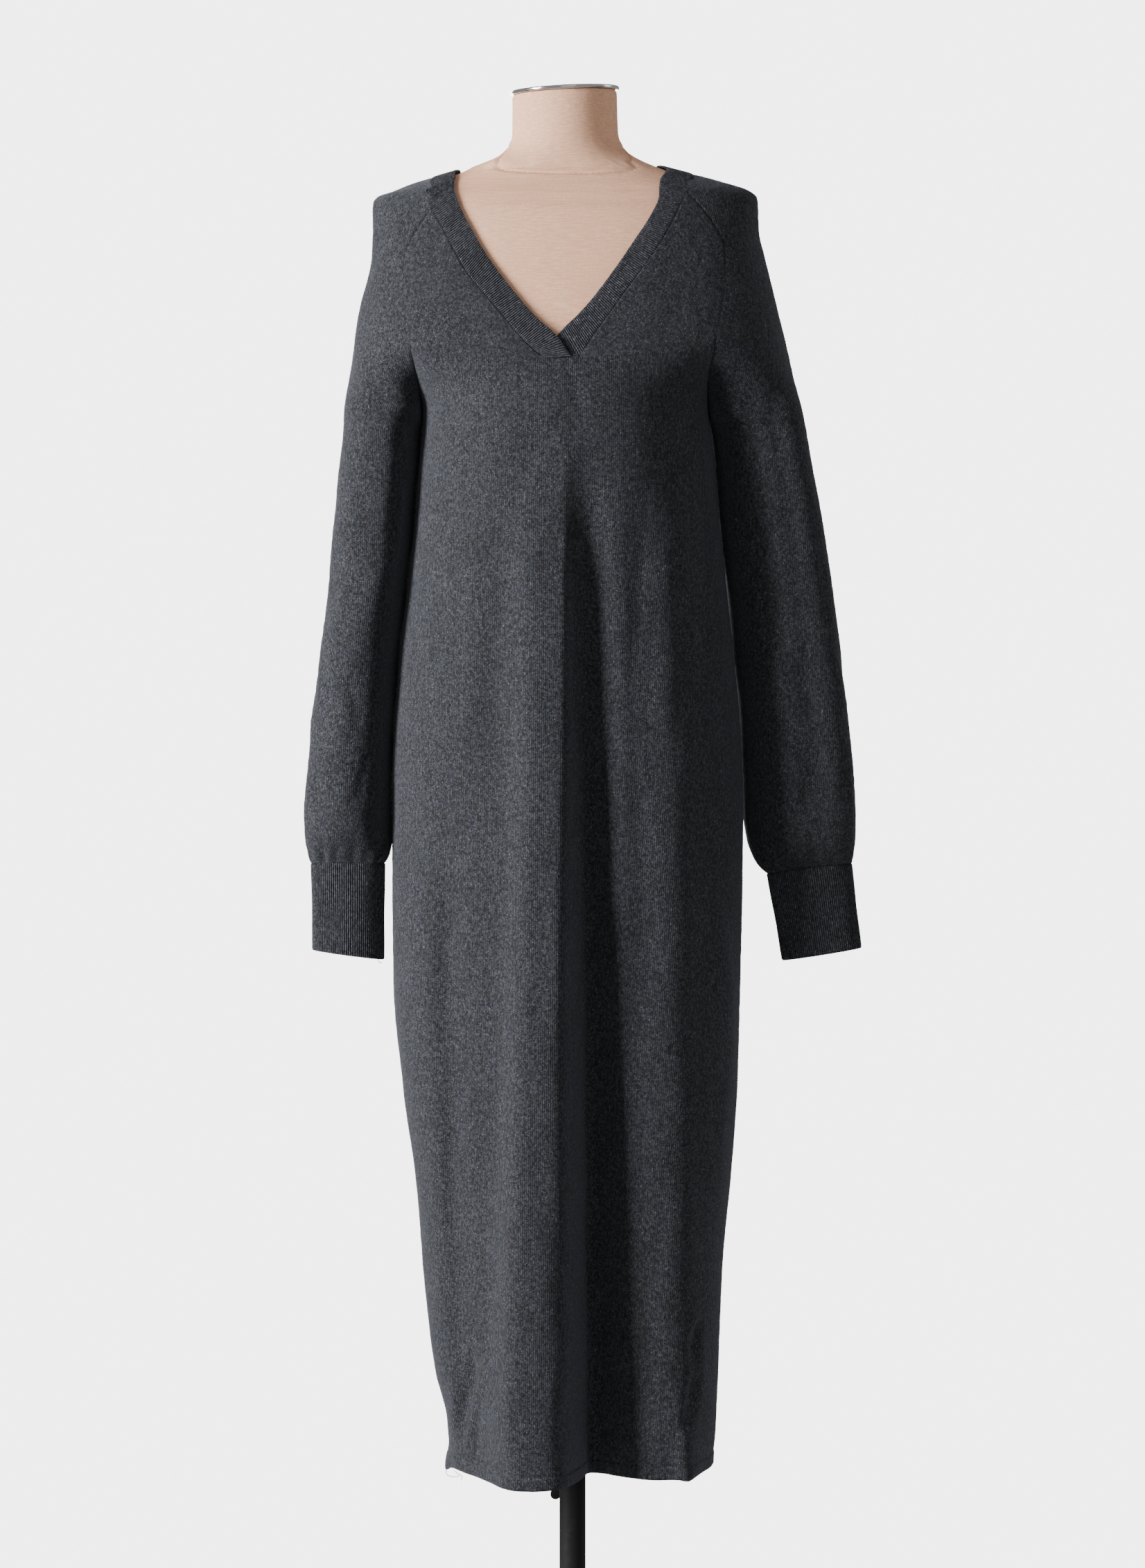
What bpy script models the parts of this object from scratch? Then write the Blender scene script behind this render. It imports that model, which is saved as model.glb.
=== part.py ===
"""Long V-neck sweater dress on a limbless dress form with a telescoping stand.

Units are metres with +Z up, the front of the dress faces -Y and the viewer's left is
-X. The origin is the centre of the base's underside, on the axis of the pole. The cloth
panels are walls between an outer and an inner surface. Both follow the same few
sections: one oval round the shoulders, which parts at the underarms into the skirt's
tube and two sleeves.
"""

import math

import bmesh
import bpy
import numpy as np
from mathutils import Matrix, Vector

MM = 0.001

# Cloth.
WALL = 2.0 * MM                 # knitted cloth with its nap
RIB_WALL = 2.0 * MM             # plain back of a ribbed band to the middle of its ribs
RIB_PITCH = 2.05 * MM
RIB_HEIGHT = 0.45 * MM
SEAM_GAP = 0.3 * MM
UNDERARM = 1350 * MM
CREASE_TOP = 1440 * MM          # the crease between body and sleeve is gone above this
HEM = 350 * MM
HEM_RAISE = 0.9 * MM            # the turned-up layer thickens the wall outwards
HEM_WALL = 3.0 * MM

# Stand.
OUTER_TUBE_R = 12.5 * MM
TUBE_BORE_R = 10.15 * MM
INNER_TUBE_R = 10.0 * MM
OUTER_TUBE_TOP = 344 * MM
INNER_TUBE_LOW = 16 * MM
BASE_R = 180 * MM
BASE_THICK = 12 * MM
TORSO_LOW = 860 * MM
CLAMP_Z = 334 * MM
LEVER_TIP = (-16.8 * MM, 317.3 * MM)
FIT_GAP = 0.3 * MM
BOARD_SHARE = 0.97              # the bottom board's size over the torso's end
BOARD_THICK = 8 * MM
SOCKET_PLATE_R = 42 * MM
SOCKET_PLATE = 5 * MM
SOCKET_R = 16 * MM
SOCKET_LENGTH = 46 * MM
CAP_R = 52.3 * MM
CAP_THICK = 4.0 * MM
LEVER_THICK = 5 * MM
CLOTH_REST = 2.8 * MM           # the cloth's inside stands this far off the form
NECK_CENTRE = (-7.5 * MM, 1.3 * MM, 1658.2 * MM)
NECK_TILT = (0.0508, 0.093)     # rise of the neck's top to the right and to the back

COLLECTION = "sweater_dress_on_dress_form"


# ---------------------------------------------------------------- tables and curves

def table(names, *rows, plain=()):
    """Columns of a short table in millimetres, as arrays in metres under their names."""
    values = np.array(rows, dtype=float)
    columns = {}
    for place, name in enumerate(names.split()):
        columns[name] = values[:, place] * (1.0 if name in plain else MM)
    return columns


def follow(rows, key, name, where):
    """Smooth curve of one column over another, which never swings past its rows."""
    x, y = rows[key], rows[name]
    where = np.clip(where, x[0], x[-1])
    step = np.diff(x)
    rise = np.diff(y) / step
    product = rise[:-1] * rise[1:]
    total = np.where(product > 0.0, rise[:-1] + rise[1:], 1.0)
    slope = np.empty_like(y)
    slope[1:-1] = np.where(product > 0.0, 2.0 * product / total, 0.0)
    slope[0], slope[-1] = rise[0], rise[-1]
    index = np.clip(np.searchsorted(x, where, side="right") - 1, 0, len(step) - 1)
    t = (where - x[index]) / step[index]
    start = y[index] + (t - t * t) * (1.0 - t) * step[index] * slope[index]
    ease = t * t * (3.0 - 2.0 * t)
    end = (t - 1.0) * t * t * step[index] * slope[index + 1]
    return start + ease * (y[index + 1] - y[index]) + end


def smooth(value):
    """0 to 1 with soft ends."""
    value = np.clip(value, 0.0, 1.0)
    return value * value * (3.0 - 2.0 * value)


def oval(across, power):
    """Depth, 0 to 1, of a rounded oval at a place across it, -1 to 1."""
    inside = 1.0 - np.clip(np.abs(across), 0.0, 1.0) ** power
    return inside ** (1.0 / power)


# Oval round both shoulders: side edges, and depth to the front and to the back.
YOKE = table(
    "z left right front back power",
    (1350.0, -216.6, 217.8, 118.0, 100.0, 2.5),
    (1380.0, -212.8, 211.4, 113.0, 103.0, 2.5),
    (1410.0, -209.0, 205.2, 106.0, 105.0, 2.5),
    (1456.0, -201.3, 194.0, 93.0, 103.0, 2.5),
    (1480.0, -195.0, 187.6, 86.0, 100.0, 2.5),
    (1503.0, -190.6, 182.0, 80.0, 96.0, 2.5),
    (1525.0, -190.0, 177.6, 73.5, 91.0, 2.5),
    (1545.0, -190.8, 177.2, 66.5, 85.0, 2.4),
    (1553.0, -189.8, 177.0, 63.0, 81.5, 2.35),
    (1558.0, -185.8, 175.6, 60.5, 79.0, 2.3),
    (1563.0, -171.1, 170.0, 58.0, 76.0, 2.25),
    (1569.3, -155.1, 152.5, 55.5, 72.0, 2.2),
    (1574.5, -139.3, 134.0, 53.5, 69.5, 2.15),
    (1579.0, -126.0, 117.0, 52.0, 67.0, 2.1),
    (1584.0, -108.5, 98.5, 50.0, 63.0, 2.05),
    (1590.0, -90.0, 76.0, 49.0, 59.0, 2.0),
    plain=("power",))

# Front panel: side seam up to the underarm, raglan seam above it.
FRONT = table(
    "z left right depth power",
    (350.0, -116.5, 133.0, 84.0, 2.8),
    (394.0, -119.5, 136.6, 86.0, 2.8),
    (440.0, -130.0, 138.6, 88.0, 2.7),
    (532.0, -141.2, 141.9, 92.0, 2.6),
    (625.0, -149.2, 150.5, 97.0, 2.5),
    (717.0, -161.7, 157.1, 102.0, 2.4),
    (810.0, -170.4, 159.6, 106.0, 2.3),
    (902.0, -171.4, 161.7, 108.0, 2.25),
    (988.0, -171.6, 162.4, 109.0, 2.2),
    (1048.0, -169.6, 160.0, 110.0, 2.2),
    (1120.0, -165.0, 153.8, 112.0, 2.2),
    (1191.0, -156.4, 145.9, 114.0, 2.25),
    (1243.0, -151.1, 140.6, 116.0, 2.3),
    (1320.0, -144.5, 133.6, 118.5, 2.4),
    (1350.0, -142.6, 129.4, 118.0, 2.4),
    (1380.0, -145.5, 127.2, 113.0, 2.4),
    (1410.0, -151.2, 132.6, 106.0, 2.4),
    (1456.0, -158.0, 140.5, 93.0, 2.4),
    (1488.0, -158.8, 143.0, 84.0, 2.4),
    (1503.0, -155.4, 142.4, 80.0, 2.4),
    (1522.0, -146.6, 134.6, 74.5, 2.4),
    (1539.7, -135.8, 124.4, 68.5, 2.4),
    (1555.5, -126.0, 110.8, 61.5, 2.4),
    plain=("power",))

# Back panel, with the same side seam, and a raglan seam that ends nearer the neck.
BACK = table(
    "z left right depth power",
    (350.0, -116.5, 133.0, 84.0, 2.6),
    (394.0, -119.5, 136.6, 86.0, 2.6),
    (440.0, -130.0, 138.6, 88.0, 2.6),
    (532.0, -141.2, 141.9, 92.0, 2.5),
    (625.0, -149.2, 150.5, 96.0, 2.4),
    (717.0, -161.7, 157.1, 101.0, 2.3),
    (810.0, -170.4, 159.6, 107.0, 2.3),
    (902.0, -171.4, 161.7, 112.0, 2.25),
    (988.0, -171.6, 162.4, 112.0, 2.2),
    (1048.0, -169.6, 160.0, 108.0, 2.2),
    (1120.0, -165.0, 153.8, 101.0, 2.2),
    (1191.0, -156.4, 145.9, 97.0, 2.25),
    (1243.0, -151.1, 140.6, 97.0, 2.3),
    (1320.0, -144.5, 133.6, 99.0, 2.4),
    (1350.0, -142.6, 129.4, 100.0, 2.4),
    (1380.0, -145.0, 127.6, 103.0, 2.4),
    (1410.0, -149.0, 131.0, 105.0, 2.4),
    (1456.0, -153.0, 137.0, 103.0, 2.4),
    (1500.0, -150.0, 136.0, 96.5, 2.4),
    (1530.0, -140.0, 127.0, 89.5, 2.4),
    (1550.0, -127.5, 113.0, 83.0, 2.4),
    (1567.0, -110.0, 94.0, 73.0, 2.4),
    plain=("power",))

# Folds of the skirt, forward where their depth is above zero. A fold starts at "top"
# and is grown at "full"; the other columns go in pairs, there and at the hem.
FRONT_FOLDS = table(
    "top full x_full x_hem left_full left_hem right_full right_hem depth_full depth_hem "
    "power",
    (1335, 1130, -16, -40, 30, 36, 15, 37, 10, 36, 3.2),     # lobe left of the middle
    (1335, 1130, 15, 17, 12, 13, 17, 27, -14, -50, 2),       # deep valley beside it
    (1290, 1150, 62, 60, 14, 12, 14, 16, -4, -3, 2),         # shallow trough on the right
    (1300, 1180, 100, 104, 22, 24, 15, 16, 5, 9, 2),         # soft ridge by the right seam
    (560, 430, 110, 110, 12, 12, 12, 11, 2, 14, 2),          # its point at the hem
    (1000, 850, -116, -102, 15, 14, 16, 13, -8, -7, 2),      # trough near the left seam
    (1290, 1180, -48, -80, 13, 14, 12, 15, 4, 3, 2),         # soft ridge from the bust
    plain=("power",))

BACK_FOLDS = table(
    "top full x_full x_hem left_full left_hem right_full right_hem depth_full depth_hem "
    "power",
    (1330, 1120, -34, -42, 17, 22, 19, 24, -8, -26, 2),      # hollow left of the spine
    (1010, 760, 4, 8, 20, 22, 20, 22, 6, 20, 2),             # ridge that drops from the seat
    (1300, 1080, 52, 62, 16, 20, 15, 18, -7, -22, 2),        # hollow on the right
    (1000, 800, -96, -92, 14, 15, 14, 16, 6, 15, 2),         # ridge near the left seam
    plain=("power",))

# Sleeves below the underarm: outer and inner edge seen from the front, half depth to the
# front and back. The sleeves hang a little outwards.
LEFT_SLEEVE = table(
    "z outer inner front back",
    (925.0, -249.2, -178.4, 25.0, 24.0),
    (935.0, -251.8, -176.6, 34.0, 34.0),
    (950.0, -254.6, -176.8, 43.0, 44.0),
    (970.0, -255.0, -177.4, 48.0, 50.0),
    (988.0, -254.1, -178.4, 50.0, 53.0),
    (1048.0, -248.2, -178.6, 54.0, 57.0),
    (1120.0, -240.0, -175.0, 58.0, 61.0),
    (1191.0, -231.3, -165.4, 62.0, 65.0),
    (1243.0, -227.0, -157.6, 66.0, 69.0),
    (1318.0, -219.1, -148.2, 73.0, 76.0),
    (1350.0, -216.6, -143.4, 77.0, 80.0))

RIGHT_SLEEVE = table(
    "z outer inner front back",
    (925.0, 266.2, 185.0, 22.0, 22.0),
    (935.0, 267.6, 176.0, 33.0, 33.0),
    (950.0, 268.8, 167.8, 42.0, 43.0),
    (970.0, 269.3, 167.4, 46.0, 49.0),
    (988.0, 268.6, 167.6, 47.0, 51.0),
    (1048.0, 263.2, 165.8, 50.0, 54.0),
    (1120.0, 255.4, 160.4, 54.0, 58.0),
    (1191.0, 246.2, 152.6, 59.0, 62.0),
    (1243.0, 238.0, 146.6, 64.0, 67.0),
    (1318.0, 224.4, 137.0, 73.0, 76.0),
    (1350.0, 217.8, 130.2, 77.0, 80.0))

# Lengthwise folds of a sleeve: where round it, as a share of the way from the outer edge
# to the inner seam (front below zero), how wide in the same share, and how deep.
LEFT_SLEEVE_FOLDS = table(
    "low high place width depth",
    (1150, 1400, -0.44, 0.10, -7.0),
    (930, 1180, -0.58, 0.12, -5.0),
    (960, 1330, 0.46, 0.12, -5.0),
    plain=("place", "width"))
RIGHT_SLEEVE_FOLDS = table(
    "low high place width depth",
    (1090, 1400, -0.56, 0.08, -9.0),
    (930, 1420, -0.40, 0.09, -5.0),
    (960, 1330, 0.44, 0.12, -5.0),
    plain=("place", "width"))
SLEEVES = {"left": LEFT_SLEEVE, "right": RIGHT_SLEEVE}
SLEEVE_FOLDS = {"left": LEFT_SLEEVE_FOLDS, "right": RIGHT_SLEEVE_FOLDS}
GATHERS = 11                    # puckers where a sleeve is gathered into its cuff
GATHER_DEPTH = 2.6 * MM
GATHER_TOP = 972 * MM

# Cuffs: side edges seen from the front at the bottom and the top, half depth, and the
# height of each end at its outer and inner edge.
CUFF_ENDS = {
    "left": {"outer": (-247.6 * MM, -248.9 * MM), "inner": (-179.4 * MM, -178.6 * MM),
             "depth": 23.5 * MM, "low": (842 * MM, 833 * MM), "top": (925 * MM, 925 * MM)},
    "right": {"outer": (275.0 * MM, 265.8 * MM), "inner": (199.8 * MM, 185.2 * MM),
              "depth": 20.5 * MM, "low": (844 * MM, 832 * MM), "top": (925 * MM, 915 * MM)}}

# Neckband, from its end under the point of the V up the right side, round the back and
# down the left side to the end that laps over it. The outer edge is the seam. Points are
# pulled onto the oval of the yoke at their own height.
NECKBAND = table(
    "outer_x outer_y outer_z inner_x inner_y inner_z",
    (-10.0, -110.5, 1391.6, -17.2, -105.3, 1412.5),
    (5.8, -109.4, 1396.4, -8.4, -102.8, 1422.0),
    (17.5, -105.2, 1412.5, 2.8, -99.7, 1433.0),
    (29.8, -100.1, 1430.0, 15.0, -95.7, 1446.5),
    (52.5, -89.5, 1462.5, 36.5, -86.6, 1475.5),
    (75.0, -78.3, 1494.5, 56.5, -77.3, 1505.5),
    (92.5, -66.8, 1525.0, 72.2, -68.1, 1530.5),
    (103.0, -56.2, 1548.5, 80.8, -59.5, 1549.8),
    (108.3, -45.5, 1565.5, 82.3, -49.3, 1568.0),
    (108.8, 0.0, 1581.2, 80.0, 0.0, 1588.9),
    (102.0, 48.0, 1574.0, 74.0, 42.8, 1583.5),
    (74.0, 70.1, 1563.5, 54.0, 59.7, 1579.0),
    (33.0, 78.8, 1556.5, 25.0, 67.8, 1575.5),
    (-8.0, 80.8, 1554.5, -8.0, 69.5, 1574.5),
    (-49.0, 78.5, 1556.5, -41.0, 66.8, 1575.5),
    (-90.0, 67.0, 1563.5, -71.0, 57.2, 1579.0),
    (-119.5, 44.6, 1572.0, -94.0, 42.3, 1581.0),
    (-128.8, 0.0, 1578.1, -107.0, 0.0, 1584.5),
    (-132.6, -38.3, 1564.5, -110.6, -33.8, 1575.2),
    (-134.2, -50.7, 1551.0, -111.2, -46.5, 1563.5),
    (-131.4, -56.2, 1539.0, -109.6, -55.5, 1553.0),
    (-122.4, -63.7, 1522.5, -103.8, -62.9, 1537.5),
    (-115.6, -69.0, 1508.5, -96.4, -69.0, 1522.5),
    (-97.0, -81.5, 1474.5, -80.0, -78.9, 1493.5),
    (-84.0, -88.2, 1458.5, -66.4, -85.7, 1473.5),
    (-67.8, -95.8, 1438.5, -49.5, -93.3, 1451.5),
    (-49.2, -103.5, 1415.5, -32.2, -99.9, 1431.0),
    (-37.2, -107.4, 1402.5, -16.1, -104.4, 1415.8),
    (-25.5, -110.0, 1393.2, -1.6, -109.8, 1394.8))
BAND_LAP = 2.7 * MM             # how far the upper end of the band stands off the lower
LAP_ROWS = (25.2, 27.0)         # rows of the table over which it rises

# Places along the rows of NECKBAND: the middle of the back, the ends of the raglan
# seams, the front's rows above the V, and the tops of the shoulders.
BACK_MIDDLE = 13.0
NECK_ENDS = {("right", -1): 7.5, ("right", 1): 10.6, ("left", 1): 15.5, ("left", -1): 20.0}
FRONT_STOPS = {"left": (28.0, 27.0, 25.2, 23.4, 21.7, 20.0),
               "right": (0.9, 2.2, 3.5, 4.9, 6.2, 7.5)}
SHOULDER_PLACES = {"left": 17.0, "right": 9.0}
CROWN_SPAN = 0.62               # share of the way to the shoulder that crown rows take

V_POINT = (-9.5 * MM, 1389.6 * MM)

# Heights, in millimetres, of the rows of cloth below the underarm.
BODY_LEVELS = (350, 361.2, 362.8, 400, 470, 560, 660, 760, 860, 960, 1050, 1130, 1200,
               1270, 1350)
BACK_LEVELS = (350, 361.2, 362.8, 410, 490, 590, 700, 810, 920, 1030, 1130, 1240, 1350)
SLEEVE_LEVELS = (925, 934, 947, 968, 1020, 1090, 1170, 1260, 1350)
# Shares of the way up a raglan seam, from the underarm to the neckband.
RAGLAN_SHARES = (0.0, 0.12, 0.25, 0.39, 0.54, 0.69, 0.82, 0.92, 1.0)
RAGLAN_END = 2.0 * MM           # width left of a panel where its raglan seam ends
V_ROW = 2                       # the row of RAGLAN_SHARES that passes under the V
# Heights of the sleeve's outer edge on the same rows and on the rows over the shoulder.
SHOULDER_LEVELS = (1350, 1380, 1412, 1445, 1480, 1513, 1538, 1551.5, 1558.5)
CROWN_LEVELS = (1563.5, 1569.5)

# The dress form, up to where it follows the inside of the cloth.
FORM = table(
    "z left right front back power",
    (860, -146, 142, 72, 90, 2.3),
    (880, -152, 147, 74, 92, 2.3),
    (930, -158, 150, 77, 93, 2.25),
    (1000, -157, 148, 81, 93, 2.2),
    (1125, -130, 121, 88, 84, 2.15),
    (1190, -128, 119, 95, 82, 2.2),
    (1250, -132, 122, 105, 86, 2.25),
    (1310, -136, 125, 112, 92, 2.3),
    (1345, -137, 124, 112, 95, 2.35),
    (1378, -139, 122, 108, 98, 2.35),
    (1412, -154, 137, 101, 100, 2.35),
    (1440, -168, 155, 93, 99, 2.4),
    (1472, -182, 173, 84, 96, 2.4),
    plain=("power",))
# Heights on the yoke whose inside the form's shoulders follow.
FORM_SHOULDERS = (1492, 1515, 1536, 1548, 1554.5, 1558, 1563, 1569, 1575, 1580, 1584)
NECK = table(
    "z left right front back power",
    (1586.5, -96.0, 80.0, 48.5, 59.0, 2.0),
    (1590.0, -86.5, 71.8, 47.5, 57.5, 2.0),
    (1594.0, -76.5, 63.5, 47.0, 55.5, 2.0),
    (1600.0, -66.5, 53.2, 47.0, 53.5, 2.0),
    (1608.0, -60.3, 47.2, 47.5, 52.0, 2.0),
    (1619.0, -57.4, 43.6, 48.0, 51.0, 2.0),
    (1657.0, -57.2, 42.2, 48.5, 51.0, 2.0),
    plain=("power",))

HALF_FRONT = 13                 # columns of cells in half the front
HALF_BACK = 9
SLEEVE_CELLS = 22
CUFF_CELLS = 26
CUFF_ROWS = (0.0, 1.0)
TORSO_SIDES = 30


# ---------------------------------------------------------------- garment surfaces

def yoke_y(x, z, side):
    """Depth of the oval round both shoulders, at x and z; side is -1 front, 1 back."""
    left, right = follow(YOKE, "z", "left", z), follow(YOKE, "z", "right", z)
    depth = follow(YOKE, "z", "front" if side < 0 else "back", z)
    across = (x - (left + right) / 2) / ((right - left) / 2)
    return side * depth * oval(across, follow(YOKE, "z", "power", z))


def on_yoke(x, y, z):
    """Point on the yoke's oval at height z, in the direction of x and y."""
    left, right = follow(YOKE, "z", "left", z), follow(YOKE, "z", "right", z)
    power = follow(YOKE, "z", "power", z)
    depth = np.where(y < 0.0, follow(YOKE, "z", "front", z), follow(YOKE, "z", "back", z))
    middle, half = (left + right) / 2, (right - left) / 2
    across, out = (x - middle) / half, y / depth
    reach = (np.abs(across) ** power + np.abs(out) ** power) ** (1.0 / power)
    return np.stack((middle + half * across / reach, depth * out / reach, z), axis=-1)


def yoke_normal(x, z, side):
    """Outward direction of the yoke's oval at x and z; side is -1 front, 1 back."""
    tiny = 0.05 * MM
    y = yoke_y(x, z, side)

    def reach(x_there, y_there, z_there):
        on = on_yoke(x_there, y_there, z_there)
        left, right = follow(YOKE, "z", "left", z_there), follow(YOKE, "z", "right", z_there)
        middle = (left + right) / 2
        return np.hypot(x_there - middle, y_there) / np.hypot(on[..., 0] - middle, on[..., 1])

    rise = np.stack((reach(x + tiny, y, z) - reach(x - tiny, y, z),
                     reach(x, y + tiny, z) - reach(x, y - tiny, z),
                     reach(x, y, z + tiny) - reach(x, y, z - tiny)), axis=-1)
    return rise / np.linalg.norm(rise, axis=-1, keepdims=True)


def rim_normal(points, side, sideways):
    """Outward direction at a seam: sideways at the underarm, the yoke's at the top."""
    x, z = points[..., 0], points[..., 2]
    mix = joined(z)[..., None]
    aim = (1.0 - mix) * np.array((sideways, 0.0, 0.0)) + mix * yoke_normal(x, z, side)
    return aim / np.linalg.norm(aim, axis=-1, keepdims=True)


def joined(z):
    """0 where body and sleeves are apart, 1 where they share the yoke's oval."""
    return smooth((z - UNDERARM) / (CREASE_TOP - UNDERARM))


def fold_depth(folds, x, z):
    """How far all the folds of a table push the cloth out at x and z."""
    total = np.zeros_like(x)
    for row in range(len(folds["top"])):
        fold = {name: column[row] for name, column in folds.items()}
        start = smooth((fold["top"] - z) / (fold["top"] - fold["full"]))
        down = np.clip((fold["full"] - z) / (fold["full"] - HEM), 0.0, 1.0)
        mix = {name: fold[name + "_full"] * (1 - down) + fold[name + "_hem"] * down
               for name in ("x", "left", "right", "depth")}
        away = x - mix["x"]
        width = np.where(away < 0.0, mix["left"], mix["right"])
        total += start * mix["depth"] * np.exp(-np.abs(away / width) ** fold["power"])
    return total


def panel_y(panel, folds, x, z, side, neck=0.0):
    """Depth of the front or back panel at x and z; neck is 1 at the neckband."""
    left, right = follow(panel, "z", "left", z), follow(panel, "z", "right", z)
    across = (x - (left + right) / 2) / ((right - left - SEAM_GAP) / 2)
    depth = follow(panel, "z", "depth", z)
    power = follow(panel, "z", "power", z)
    apart = side * depth * oval(across, power)
    whole = yoke_y(x, z, side)
    keep = 1.0 - np.clip(np.abs(across), 0.0, 1.0) ** 6
    folded = side * fold_depth(folds, x, z) * keep
    share = joined(z) + (1.0 - joined(z)) * neck
    y = (1.0 - share) * apart + share * whole + folded
    return np.minimum(y, -SEAM_GAP / 2) if side < 0 else np.maximum(y, SEAM_GAP / 2)


def neck_point(edge, place):
    """Point of the neckband's outer or inner edge at a place along its table."""
    place = np.asarray(place, dtype=float)
    rows = dict(NECKBAND, row=np.arange(len(NECKBAND["outer_x"]), dtype=float))
    x, y, z = (follow(rows, "row", edge + "_" + axis, place) for axis in "xyz")
    return on_yoke(x, y, z)


def neck_seam(place, into_cloth):
    """Neckband's seam at a place along its table, moved across the seam."""
    outer, inner = neck_point("outer", place), neck_point("inner", place)
    away = outer - inner
    away = away / np.linalg.norm(away, axis=-1, keepdims=True)
    moved = outer + away * into_cloth
    return on_yoke(moved[..., 0], moved[..., 1], moved[..., 2])


PANELS = {-1: FRONT, 1: BACK}
OUTWARD = {"left": -1.0, "right": 1.0}


def seam_heights(side_name, side):
    """Heights of the rows along one raglan seam, from the underarm up."""
    top = float(neck_seam(NECK_ENDS[side_name, side], SEAM_GAP / 2)[2])
    return UNDERARM + (top - UNDERARM) * np.array(RAGLAN_SHARES)


def seam_x(side_name, side, z):
    """Side of a panel at height z: its table, led to the neckband at the top."""
    end = neck_seam(NECK_ENDS[side_name, side], SEAM_GAP / 2)
    panel = PANELS[side]
    miss = end[0] + OUTWARD[side_name] * RAGLAN_END - follow(panel, "z", side_name, end[2])
    near = smooth((z - (end[2] - 45 * MM)) / (45 * MM))
    return follow(panel, "z", side_name, z) + miss * near


def spread(share):
    """Spacing of columns from the middle (0) to the seam (1): close at both ends."""
    return (1 - share) * share ** 1.3 + share * (1 - (1 - share) ** 1.7)


def hem_drop(x, z):
    """The hem hangs a little lower in front of the left lobe and rises at the seams."""
    near = 1.0 - smooth((z - HEM) / (110 * MM))
    middle, half = 8 * MM, 125 * MM
    rise = 6 * MM * np.clip(np.abs(x - middle) / half, 0, 1) ** 5
    dip = 2.5 * MM * np.exp(-((x + 45 * MM) / (32 * MM)) ** 2)
    return near * (rise - dip)


def half_panel(folds, side_name, side, levels, neck_places):
    """Surface of half a front or back panel, as a function of share across and row.

    The share runs from the seam (0) to the middle or the neckband (1). The rows are the
    levels up to the underarm and then those of the raglan seam. In front the neckband
    takes the place of the middle above the V. At the back it crosses the top row.
    """
    seam = np.concatenate((np.array(levels) * MM, seam_heights(side_name, side)[1:]))
    rows = np.arange(len(seam), dtype=float)
    neck = neck_seam(neck_places, SEAM_GAP / 2)
    middle_x = np.full(len(seam), V_POINT[0])
    middle_z = seam.copy()
    under = len(levels) - 1
    if side < 0:
        above = under + V_ROW + 1
        middle_x[above:], middle_z[above:] = neck[:, 0], neck[:, 2]
        peak = V_POINT[1]
        last = under + V_ROW
    else:
        peak = neck[-1][2]
        last = len(seam) - 1
    climb = np.linspace(0.0, 1.0, last - under + 1)
    middle_z[under:last + 1] = UNDERARM + (peak - UNDERARM) * climb
    inward = -OUTWARD[side_name]

    def surface(share, row):
        """Points at a share across and a row, both arrays."""
        z_seam = np.interp(row, rows, seam)
        x_seam = seam_x(side_name, side, z_seam) + inward * SEAM_GAP / 2
        far = 1.0 - spread(1.0 - share)
        x = x_seam + (np.interp(row, rows, middle_x) - x_seam) * far
        z = z_seam + (np.interp(row, rows, middle_z) - z_seam) * far
        if side > 0:
            top = smooth((row - under) / (last - under)) ** 2
            place = neck_places[0] + (neck_places[-1] - neck_places[0]) * far
            edge = neck_seam(place, SEAM_GAP / 2)
            end_x = seam_x(side_name, side, seam[-1]) + inward * SEAM_GAP / 2
            x = x + top * (edge[..., 0] - end_x - (V_POINT[0] - end_x) * far)
            z = z + top * (edge[..., 2] - seam[-1] - (peak - seam[-1]) * far)
        neck = far ** 2 * smooth((row - under) / V_ROW)
        y = panel_y(PANELS[side], folds, x, z, side, neck)
        return np.stack((x, y, z + hem_drop(x, z)), axis=-1)

    return surface, rows


def panel_patch(folds, side_name, side, levels, neck_places, cells):
    """Outer and inner points of half a panel, with normals that suit its seams."""
    surface, rows = half_panel(folds, side_name, side, levels, neck_places)
    shares = np.linspace(0.0, 1.0, cells + 1)
    seam = 0
    if (side_name == "right") == (side < 0):
        shares, seam = shares[::-1], -1
    points, normals = grid_of(surface, shares, rows)
    normals[0] = level(normals[0])
    normals[:, seam] = rim_normal(points[:, seam], side, OUTWARD[side_name])
    if side < 0:
        share, row = np.meshgrid(shares, rows)
        near = (share ** 3 * smooth((row - len(levels) + 1) / V_ROW))[..., None]
        aim = yoke_normal(points[..., 0], points[..., 2], side)
        normals = normals * (1.0 - near) + aim * near
        normals /= np.linalg.norm(normals, axis=-1, keepdims=True)
    else:
        normals[-1] = yoke_normal(points[-1][:, 0], points[-1][:, 2], side)
    return hem_layers(points, normals, 2)


def grid_of(surface, shares, rows, wrap=0.0):
    """Points and outward normals of a surface on a grid, rows going up.

    The shares run counter-clockwise round the body, seen from above. A surface that
    closes on itself may be read a little past its ends, by up to wrap.
    """
    tiny = 1e-4
    share, row = np.meshgrid(shares, rows)
    points = surface(share, row)
    low, high = shares.min() - wrap, shares.max() + wrap
    along = surface(np.clip(share + tiny, low, high), row)
    along = along - surface(np.clip(share - tiny, low, high), row)
    up = surface(share, np.clip(row + tiny, rows[0], rows[-1]))
    up = up - surface(share, np.clip(row - tiny, rows[0], rows[-1]))
    normals = np.cross(along, up) * np.sign(shares[-1] - shares[0])
    return points, normals / np.linalg.norm(normals, axis=-1, keepdims=True)


def level(normals):
    """The same directions without their rise, so that a rim lies flat."""
    flat = normals * np.array((1.0, 1.0, 0.0))
    return flat / np.linalg.norm(flat, axis=-1, keepdims=True)


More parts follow.
